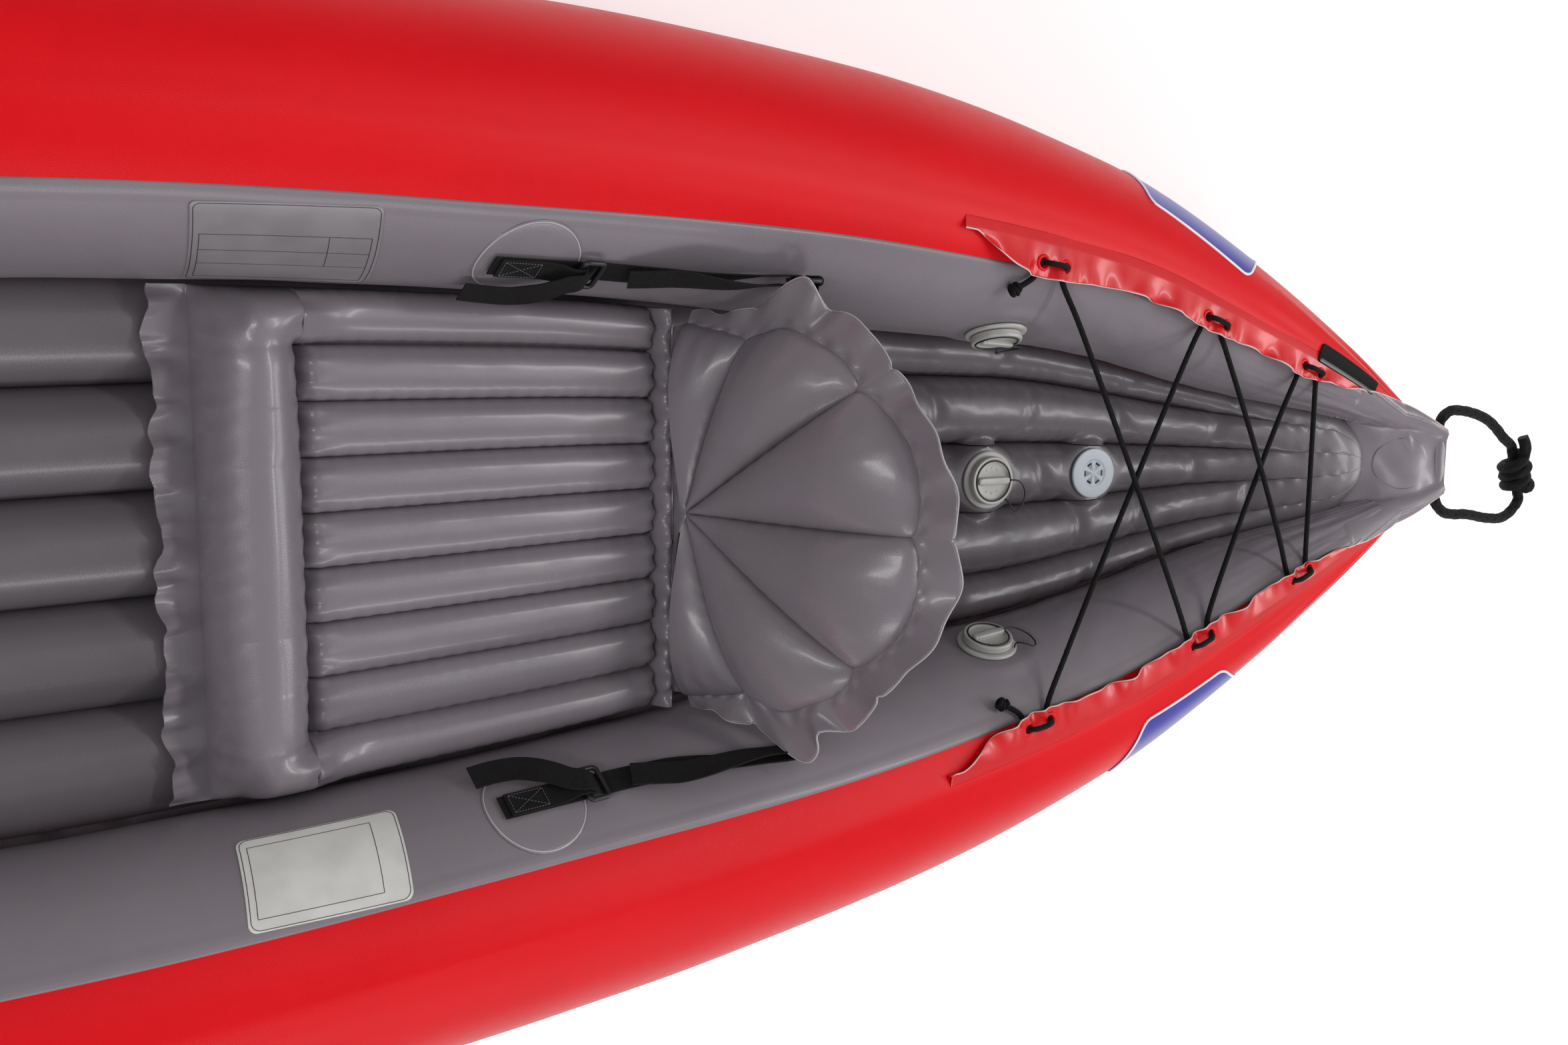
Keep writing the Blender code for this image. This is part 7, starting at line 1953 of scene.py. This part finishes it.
def strap_ends(label, side):
    """Front bar, rear bar and far end of a strap, with the directions at each."""
    turn = JOINTS[label + "_front_ring_turn"]
    front = Vector(turn["pos_m"])
    across = -Vector(turn["axis"]).normalized()
    ahead = tube_surface(side, PATCH_X + TUBE_RADIUS * 0.02, PATCH_DEG)
    ahead = ahead - tube_surface(side, PATCH_X, PATCH_DEG)
    along = upright_from(Vector([float(c) for c in np.ravel(ahead)]), across)
    out = along.cross(across).normalized()
    normal = Vector([float(c) for c in np.ravel(tube_normal(side, PATCH_X, PATCH_DEG))])
    if out.dot(normal) < 0:
        across = -across
        out = along.cross(across).normalized()
    bars = RING_WINDOW + 2 * RING_BAR_RADIUS
    rear_bar = front + along * bars
    far = Vector(JOINTS[label + "_back_ring_turn"]["pos_m"])
    run = (far - rear_bar).normalized()
    upright = upright_from(Vector((0, 0, -1 if across.z < 0 else 1)), run)
    return SimpleNamespace(front=front, rear_bar=rear_bar, back=far - run * bars, far=far, along=along,
                           across=across, out=out, run=run, upright=upright, outward=run.cross(upright))


def half_turn(centre, along, out, radius, steps=10):
    """Points of a half circle from the underside of a bar to its upper side."""
    points = []
    for k in range(steps + 1):
        angle = -math.pi / 2 + math.pi * k / steps
        points.append(centre + along * (radius * math.cos(angle)) + out * (radius * math.sin(angle)))
    return points


def webbing_ring():
    """Cross-section of the webbing as shares of its half width and half thickness, with rounded selvedges."""
    face = [(u, 1.0 if abs(u) > 0.8 else 0.86) for u in (-0.93, -0.86, -0.6, -0.3, 0.0, 0.3, 0.6, 0.86, 0.93)]
    edge = [(0.985, 0.6), (1.0, 0.0), (0.985, -0.6)]
    ring = face + edge + [(-u, -t) for u, t in face] + [(-u, -t) for u, t in edge]
    return np.array(ring) * np.array([WEBBING_WIDTH / 2, WEBBING_THICKNESS / 2])


def webbing_strip(name, points, turns):
    """A woven strap along points, flat across the given directions."""
    line = [np.asarray(p, float) for p in points]
    count = max(24, int(route_length(line) / WEBBING_STEP))
    fine = smooth_route(line, count)
    marks = [0]
    for k in range(1, len(line) - 1):
        low = marks[-1]
        gaps = np.linalg.norm(fine[low:low + count // 2] - line[k], axis=1)
        limit = max(4, int(np.linalg.norm(line[k] - line[k - 1]) * 1.6 / WEBBING_STEP) + 3)
        marks.append(low + int(np.argmin(gaps[:limit])))
    marks.append(count - 1)
    index = np.arange(count)
    turn = np.stack([np.interp(index, marks, [t[i] for t in turns]) for i in range(3)], axis=1)
    tangent = np.gradient(fine, axis=0)
    tangent /= np.maximum(np.linalg.norm(tangent, axis=1), 1e-9)[:, None]
    turn -= tangent * np.sum(turn * tangent, axis=1)[:, None]
    turn /= np.linalg.norm(turn, axis=1)[:, None]
    normal = np.cross(tangent, turn)
    ring = webbing_ring()
    rows = fine[:, None, :] + turn[:, None, :] * ring[None, :, 0:1] + normal[:, None, :] * ring[None, :, 1:2]
    uvs = np.stack(np.broadcast_arrays(route_run(fine)[:, None], ring[None, :, 0]), axis=-1)
    return grid_piece(name, rows, WEBBING, wrap=True, uvs=uvs, caps=True, smooth_deg=70.0)


def stitches(name, places):
    """Short raised threads: each from one point to the next, bowed up along its normal."""
    points, faces = [], []
    radius = 0.00028
    for start, end, normal in places:
        start, end, normal = (np.asarray(v, float) for v in (start, end, normal))
        ahead = end - start
        side = np.cross(normal, ahead / np.linalg.norm(ahead))
        base = len(points)
        for t, lift, fat in ((0.0, -0.2, 0.4), (0.2, 0.6, 1.0), (0.5, 0.9, 1.1), (0.8, 0.6, 1.0),
                             (1.0, -0.2, 0.4)):
            centre = start + ahead * t + normal * radius * lift
            for k in range(6):
                angle = 2 * math.pi * k / 6
                points.append(centre + (side * math.cos(angle) + normal * math.sin(angle)) * radius * fat)
        faces += grid_faces(5, 6, wrap=True, start=base)
        faces.append(tuple(base + k for k in range(6)))
        faces.append(tuple(base + 24 + k for k in range(6)))
    return make_mesh(name, points, faces, THREAD_AND_SHADE_LINE, smooth_deg=80.0)


def box_stitch(centre, along, across, normal, length, width):
    """Places of a stitched box with its cross."""
    corners = [(-1, -1), (1, -1), (1, 1), (-1, 1)]
    lines = [(corners[k], corners[(k + 1) % 4]) for k in range(4)] + [((-1, -1), (1, 1)), ((-1, 1), (1, -1))]
    places = []
    for (ax, ay), (bx, by) in lines:
        start = centre + along * (ax * length / 2) + across * (ay * width / 2)
        end = centre + along * (bx * length / 2) + across * (by * width / 2)
        count = max(2, round((end - start).length / STITCH_PITCH))
        for k in range(count):
            places.append((start.lerp(end, (k + 0.14) / count), start.lerp(end, (k + 0.86) / count), normal))
    return places


def ring_piece(name, centre, along, across):
    """A moulded rectangular ring, its first bar on its joint."""
    along = along.normalized()
    across = (across - along * across.dot(along)).normalized()
    out = along.cross(across)
    bar = RING_BAR_RADIUS
    half = WEBBING_WIDTH / 2 + RING_SIDE_GAP + bar
    deep = RING_WINDOW + 2 * bar
    corner = bar * 1.8
    outline = []
    for cx, cy, start in ((deep - corner, half - corner, 0), (corner, half - corner, 90),
                          (corner, corner - half, 180), (deep - corner, corner - half, 270)):
        for k in range(9):
            angle = math.radians(start + 90 * k / 8)
            outline.append((cx + corner * math.cos(angle), cy + corner * math.sin(angle)))
    rows = []
    for i, (px, py) in enumerate(outline):
        before, after = outline[i - 1], outline[(i + 1) % len(outline)]
        tangent = Vector((after[0] - before[0], after[1] - before[1], 0)).normalized()
        side = Vector((tangent.y, -tangent.x, 0))
        row = []
        for k in range(16):
            angle = 2 * math.pi * k / 16
            a = math.copysign(abs(math.cos(angle)) ** 0.8, math.cos(angle)) * bar * 0.96
            b = math.copysign(abs(math.sin(angle)) ** 0.8, math.sin(angle)) * bar * 0.96
            flat = Vector((px, py, 0)) + side * a
            row.append(centre + along * flat.x + across * flat.y + out * b)
        rows.append([tuple(p) for p in row])
    rows.append(rows[0])
    return grid_piece(name, np.array(rows), BLACK_PLASTIC, wrap=True, smooth_deg=60.0)


def make_strap_patch(label, side):
    """The round welded patch with its thin pale glue line, following the tube."""
    radius = float(tube_frame(side, np.array(PATCH_X))[3]) * FACET_SHRINK
    low = SKIN + SEAT_GAP

    def follow(size, angle, lift):
        turn = math.degrees(size * math.sin(angle) / radius)
        place = tube_surface(side, PATCH_X + size * math.cos(angle), PATCH_DEG + turn, lift)
        return tuple(float(c) for c in np.ravel(place))
    rows = []
    for size_share, lift_share in ((0.0, 1.0), (0.4, 1.0), (0.8, 1.0), (0.93, 1.0), (0.985, 0.8), (1.0, 0.3),
                                   (1.0, 0.0)):
        size = max(PATCH_RADIUS * size_share, 1e-5)
        lift = low + PATCH_THICKNESS * lift_share
        rows.append([follow(size, 2 * math.pi * k / 96, lift) for k in range(96)])
    made = grid_piece(label + "_round_patch", np.array(rows), GREY_LOOSE, wrap=True, smooth_deg=70.0)
    dress(made, "hull", "grey_fabric", label + "_strap_patch")
    glue_lift = low + PATCH_THICKNESS * 0.92
    line = [follow(PATCH_RADIUS * 0.965, angle, glue_lift) for angle in np.linspace(0, 2 * math.pi, 121)]
    dress(fine_line(label + "_patch_glue_line", line, 0.00042, PALE_LINE), "hull", "grey_fabric")


def make_patch_tab(label, at):
    """The webbing tab on the patch, folded round the front ring's first bar and sewn to itself."""
    loop = WEBBING_LOOP
    points = [at.front - at.along * TAB_LENGTH * share - at.out * loop for share in (1.0, 0.5)]
    points += half_turn(at.front, at.along, at.out, loop)
    upper = -loop + WEBBING_THICKNESS + SEAT_GAP
    for share, rise in ((0.10, loop * 1.5), (0.22, loop * 0.6), (0.38, WEBBING_THICKNESS * 0.1), (0.93, 0.0)):
        points.append(at.front - at.along * TAB_LENGTH * share + at.out * (upper + rise))
    tab = webbing_strip(label + "_patch_tab", points, [at.across] * len(points))
    dress(tab, "hull", "webbing", label + "_strap_tab")
    middle = at.front - at.along * TAB_LENGTH * 0.68 + at.out * (upper + WEBBING_THICKNESS / 2)
    sewn = box_stitch(middle, at.along, at.across, at.out, TAB_LENGTH * 0.42, WEBBING_WIDTH * 0.78)
    dress(stitches(label + "_tab_stitching", sewn), "hull", "webbing")


def strap_tail(at):
    """Points of the strap's loose end, from its tip to its pass through the front ring."""
    window = at.front + at.along * (RING_WINDOW / 2 + RING_BAR_RADIUS)
    inward = at.across if at.across.z < 0 else -at.across
    high = WEBBING_LOOP + WEBBING_THICKNESS * 2 + SEAT_GAP * 3
    tail = []
    for back_share, spread, lift in ((1.0, 1.0, -0.35), (0.78, 1.0, -0.15), (0.58, 0.86, 0.3),
                                     (0.38, 0.5, 0.85), (0.20, 0.12, 1.0), (0.06, 0.0, 0.92)):
        tail.append(window - at.along * TAIL_LENGTH * back_share + inward * TAIL_SPREAD * spread
                    + at.out * high * lift)
    tail.append(window + at.along * RING_WINDOW * 0.16 + at.out * WEBBING_LOOP * 0.2)
    tail.append(at.rear_bar - at.along * RING_BAR_RADIUS * 0.8 - at.out * WEBBING_LOOP * 0.94)
    return tail


def make_strap(label, at):
    """The strap: loose end, lower run, turn round the back ring and upper run back to the front ring."""
    count = 15
    loop = WEBBING_LOOP
    middle = (at.rear_bar + at.back) / 2 + at.out * STRAP_SAG * 0.5 - Vector((0, 0, STRAP_SAG * 0.6))
    route = [at.rear_bar, at.rear_bar + at.along * RING_WINDOW, middle, at.back - at.run * RING_WINDOW,
             at.back]
    centre = [Vector(p) for p in smooth_route(route, count)]
    turns, lower, higher = [], [], []
    for i, place in enumerate(centre):
        share = min(max((i / (count - 1) - 0.36) / 0.50, 0.0), 1.0)
        turn = at.across.lerp(at.upright, share).normalized()
        ahead = centre[min(i + 1, count - 1)] - centre[max(i - 1, 0)]
        normal = ahead.normalized().cross(turn)
        if normal.dot(at.out) < 0:
            normal = -normal
        swell = math.sin(math.pi * i / (count - 1)) ** 2
        rise = turn * (-STRAP_FAN if turn.z < 0 else STRAP_FAN) * swell
        turns.append(turn)
        lower.append(place - normal * loop)
        higher.append(place + normal * loop * (1 + 0.9 * swell) + rise)
    end_run = (centre[-1] - centre[-2]).normalized()
    bend = half_turn(centre[-1], end_run, (higher[-1] - lower[-1]).normalized(), loop)
    tail = strap_tail(at)
    points = tail + lower[1:-1] + bend + list(reversed(higher))[1:-2]
    widths = [at.across] * len(tail) + turns[1:-1] + [turns[-1]] * len(bend) + list(reversed(turns))[1:-2]
    strap = webbing_strip(label + "_seat_webbing", points, widths)
    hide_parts(label + "_seat_strap")
    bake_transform(strap)


def make_backrest_tab(label, side, at):
    """The webbing tab that holds the back ring on the backrest."""
    inner = at.outward if at.outward.y * side < 0 else -at.outward
    bend = half_turn(at.far, at.run, inner, WEBBING_LOOP)
    reach = side * (abs(at.far.y) - BACK_TAB_SPREAD)
    up = (at.far.z - HINGE.z) / math.sin(math.radians(BACKREST_RECLINE_DEG)) - BACKREST_FOOT
    angle = math.degrees(math.atan2(up - BACKREST_HUB_HEIGHT, abs(reach)))
    away = math.hypot(up - BACKREST_HUB_HEIGHT, reach) / backrest_core(angle)
    half = fan_half_thickness(min(away, 1.0), angle)
    foot = Vector(backrest_point(reach, up, half + WEBBING_THICKNESS * 1.4))
    points = [foot, foot.lerp(bend[-1], 0.5) + at.run * WEBBING_THICKNESS * 2.4]
    points += list(reversed(bend)) + [bend[0] - at.run * RING_BAR_RADIUS]
    tab = webbing_strip(label + "_backrest_tab", points, [at.upright] * len(points))
    dress(tab, "backrest", "webbing", label + "_back_tab")


def make_strap_set(label, side):
    """Patch, tab, rings, strap and back tab of one side."""
    at = strap_ends(label, side)
    make_strap_patch(label, side)
    make_patch_tab(label, at)
    for end, place, along, across in (("front", at.front, at.along, at.across),
                                      ("back", at.far, -at.run, at.upright)):
        ring = ring_piece(label + "_" + end + "_loop", place, along, across)
        dress(ring, label + "_" + end + "_ring", "black_plastic", label + "_" + end + "_ring")
    make_strap(label, at)
    make_backrest_tab(label, side, at)


for side_name, side_sign in SIDES.items():
    make_strap_set(side_name, side_sign)


# Strip patch, badges and labels, all left blank

def rounded_loop(inset, corner_u, corner_v, corner_steps=8, edge_steps=10):
    """A rounded rectangle in shares of a patch, as a closed list of (u, v) places."""
    loop = []
    far = 1 - inset
    for u, v, start in ((inset, inset, 180), (far, inset, 270), (far, far, 0), (inset, far, 90)):
        middle_u = u + corner_u * (1 if u < 0.5 else -1)
        middle_v = v + corner_v * (1 if v < 0.5 else -1)
        for step in range(corner_steps + 1):
            angle = math.radians(start + 90 * step / corner_steps)
            loop.append((middle_u + corner_u * math.cos(angle), middle_v + corner_v * math.sin(angle)))
    fine = []
    for k, (p, q) in enumerate(zip(loop, loop[1:] + loop[:1])):
        steps = edge_steps if k % (corner_steps + 1) == corner_steps else 1
        for step in range(steps):
            t = step / steps
            fine.append((p[0] + (q[0] - p[0]) * t, p[1] + (q[1] - p[1]) * t))
    return fine


def patch_place(side, corners, u, v, lift):
    """Point on a tube at shares across and along a patch whose corners are (station, angle) pairs."""
    a, b, c, d = [np.array(p, float) for p in corners]
    x = (1 - v) * ((1 - u) * a[0] + u * b[0]) + v * ((1 - u) * d[0] + u * c[0])
    angle = (1 - v) * ((1 - u) * a[1] + u * b[1]) + v * ((1 - u) * d[1] + u * c[1])
    return tube_surface(side, x, angle, lift)


def patch_corner(side, corners, corner):
    """Shares of a patch's width and height that a corner radius takes."""
    ends = [patch_place(side, corners, u, v, 0.0) for u, v in ((0, 0.5), (1, 0.5), (0.5, 0), (0.5, 1))]
    wide = max(float(np.linalg.norm(ends[1] - ends[0])), corner * 2.2)
    tall = max(float(np.linalg.norm(ends[3] - ends[2])), corner * 2.2)
    return corner / wide, corner / tall


def surface_patch(name, side, corners, mat, low, thickness, corner, inner_rise=0.0):
    """A thin patch with rounded corners that follows a tube."""
    corner_u, corner_v = patch_corner(side, corners, corner)
    loop = np.array(rounded_loop(0.0, corner_u, corner_v))
    rows = [(1.0, low), (1.0, low + thickness * 0.5), (0.994, low + thickness * 0.9),
            (0.985, low + thickness)]
    rows += [(size, low + thickness) for size in (0.94, 0.86, 0.74, 0.60, 0.45, 0.30, 0.15, 0.02)]
    points, uvs = [], []
    for size, lift in rows:
        u = 0.5 + (loop[:, 0] - 0.5) * size
        v = 0.5 + (loop[:, 1] - 0.5) * size
        points.append(patch_place(side, corners, u, v, lift + inner_rise * ease(v) * (lift > low)))
        uvs.append(np.stack([u, v], axis=-1) * 0.1)
    return grid_piece(name, np.array(points), mat, wrap=True, uvs=np.array(uvs), smooth_deg=60.0, caps=True)


def border_line(name, side, corners, inset, low, mat, size, corner):
    """A raised border line inside a patch's edge, with rounded corners."""
    loop = rounded_loop(inset, *patch_corner(side, corners, corner))
    route = [tuple(float(c) for c in patch_place(side, corners, u, v, low)) for u, v in loop + loop[:1]]
    return fine_line(name, route, size, mat, sides=6)


def rule_lines(name, side, corners, rows, low, mat, size):
    """Fine rules across a blank label, each given as (start u, end u, start v, end v)."""
    pieces = []
    for u0, u1, v0, v1 in rows:
        route = []
        for t in np.linspace(0, 1, 24):
            place = patch_place(side, corners, u0 + (u1 - u0) * t, v0 + (v1 - v0) * t, low)
            route.append(tuple(float(c) for c in place))
        pieces.append(fine_line("rule", route, size, mat, sides=6, step_share=6.0))
    made = join(pieces)
    made.name = name
    return made


STRIP_CORNERS = ((1.122, -14.0), (1.206, -22.0), (1.201, 11.0), (1.118, 9.0))
STRIP_INNER = ((1.124, -3.0), (1.204, -6.0), (1.200, 10.0), (1.120, 8.0))
STRIP_THICKNESS = 0.0016
STRIP_INNER_RISE = 0.0022
LABEL_THICKNESS = 0.0006
strip = surface_patch("stern_black_patch", 1, STRIP_CORNERS, WEBBING, SEAT_GAP, STRIP_THICKNESS, 0.002,
                      STRIP_INNER_RISE)
dress(strip, "hull", "webbing", "stern_strip_patch")
band = surface_patch("stern_patch_band", 1, STRIP_INNER, BLACK_PLASTIC, SEAT_GAP + STRIP_THICKNESS * 0.9,
                     LABEL_THICKNESS, 0.002, STRIP_INNER_RISE)
dress(band, "hull", "webbing")

BADGES = {"starboard": ((0.882, -38.0), (1.010, -25.0), (1.046, -74.0), (0.878, -80.0)),
          "port": ((0.898, -13.0), (1.002, -17.0), (1.040, -64.0), (0.868, -58.0))}
for side_name, corners in BADGES.items():
    side_sign = SIDES[side_name]
    badge = surface_patch(side_name + "_blank_badge", side_sign, corners, BADGE, SEAT_GAP, LABEL_THICKNESS,
                          0.010)
    dress(badge, "hull", "red_fabric")
    edge = border_line(side_name + "_badge_border", side_sign, corners, 0.012, SEAT_GAP + LABEL_THICKNESS,
                       BADGE_EDGE, 0.0013, 0.009)
    dress(edge, "hull", "red_fabric")

LABELS = {
    "starboard": (((0.060, 33.0), (0.184, 31.0), (0.198, 80.0), (0.074, 80.0)), LABEL_GREY, 0.0045,
                  [(0.05, 0.95, 0.29, 0.29), (0.05, 0.95, 0.46, 0.46), (0.05, 0.95, 0.64, 0.64),
                   (0.05, 0.95, 0.90, 0.90), (0.05, 0.05, 0.29, 0.90), (0.95, 0.95, 0.29, 0.90),
                   (0.72, 0.72, 0.29, 0.64)]),
    "port": (((0.086, 69.0), (0.200, 68.0), (0.190, 28.5), (0.076, 30.5)), LABEL_PALE, 0.0060,
             [(0.82, 0.82, 0.12, 0.88), (0.06, 0.82, 0.12, 0.12), (0.06, 0.82, 0.88, 0.88),
              (0.06, 0.06, 0.12, 0.88)])}
for side_name, (corners, mat, corner, rules) in LABELS.items():
    side_sign = SIDES[side_name]
    low = SKIN + SKIN_CLEAR
    label = surface_patch(side_name + "_blank_label", side_sign, corners, mat, low, LABEL_THICKNESS, corner)
    dress(label, "hull", "grey_fabric")
    low += LABEL_THICKNESS
    outline = border_line(side_name + "_label_outline", side_sign, corners, 0.018, low, LABEL_LINE, 0.00028,
                          corner)
    dress(outline, "hull", "grey_fabric")
    ruled = rule_lines(side_name + "_label_rules", side_sign, corners, rules, low, LABEL_LINE, 0.00026)
    dress(ruled, "hull", "grey_fabric")


# Studio: a white floor and surround, with broad soft lamps for the long highlights on the tubes

WORLD_STRENGTH = 0.40
FLOOR_COLOUR = (0.97, 0.97, 0.97, 1)
FLOOR_GLOW = 0.09


def make_world():
    """White to the camera and a dimmer, even light to everything else."""
    world = bpy.data.worlds.new("studio_white")
    bpy.context.scene.world = world
    world.use_nodes = True
    tree = world.node_tree
    for node in list(tree.nodes):
        tree.nodes.remove(node)
    mix = tree.nodes.new("ShaderNodeMixShader")
    path = tree.nodes.new("ShaderNodeLightPath")
    tree.links.new(path.outputs["Is Camera Ray"], mix.inputs[0])
    for socket, strength in ((1, WORLD_STRENGTH), (2, 1.0)):
        light = tree.nodes.new("ShaderNodeBackground")
        light.inputs["Color"].default_value = (1, 1, 1, 1)
        light.inputs["Strength"].default_value = strength
        tree.links.new(light.outputs[0], mix.inputs[socket])
    out = tree.nodes.new("ShaderNodeOutputWorld")
    tree.links.new(mix.outputs[0], out.inputs[0])


def make_studio_floor():
    """The pale floor just under the hull."""
    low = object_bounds()[0][2] - 0.002
    lines = np.linspace(-LENGTH * 2, LENGTH * 2, 9)
    material, unused, shader = new_material("white_floor")
    for socket, value in (("Base Color", FLOOR_COLOUR), ("Roughness", 0.9), ("Emission Color", (1, 1, 1, 1)),
                          ("Emission Strength", FLOOR_GLOW), ("Specular IOR Level", 0.0)):
        shader.inputs[socket].default_value = value
    points = np.array([[(x, y, low) for y in lines] for x in lines])
    grid_piece("studio_floor", points, material)


def make_lamp(name, place, aim, size, energy):
    """A broad rectangular lamp aimed at a place."""
    light = bpy.data.lights.new(name, "AREA")
    light.shape = "RECTANGLE"
    light.size, light.size_y = size
    light.energy = energy
    lamp = bpy.data.objects.new(name, light)
    bpy.context.scene.collection.objects.link(lamp)
    lamp.location = place
    lamp.rotation_euler = (Vector(aim) - Vector(place)).to_track_quat("-Z", "Y").to_euler()


make_world()
make_studio_floor()
for lamp_name, lamp_place, lamp_aim, lamp_size, lamp_energy in (
        ("overhead_softbox", (2.2, 0.45, 3.0), (0.7, 0.0, 0.1), (2.2, 0.28), 35.0),
        ("port_softbox", (0.6, -2.6, 1.9), (0.6, 0.0, 0.1), (3.0, 0.5), 30.0),
        ("bow_softbox", (-2.3, 0.4, 2.5), (0.3, 0.0, 0.1), (0.35, 1.8), 32.0),
        ("stern_softbox", (3.4, -0.2, 2.0), (0.8, 0.0, 0.1), (1.2, 1.2), 26.0)):
    make_lamp(lamp_name, lamp_place, lamp_aim, lamp_size, lamp_energy)
bpy.context.scene.view_settings.view_transform = "Standard"
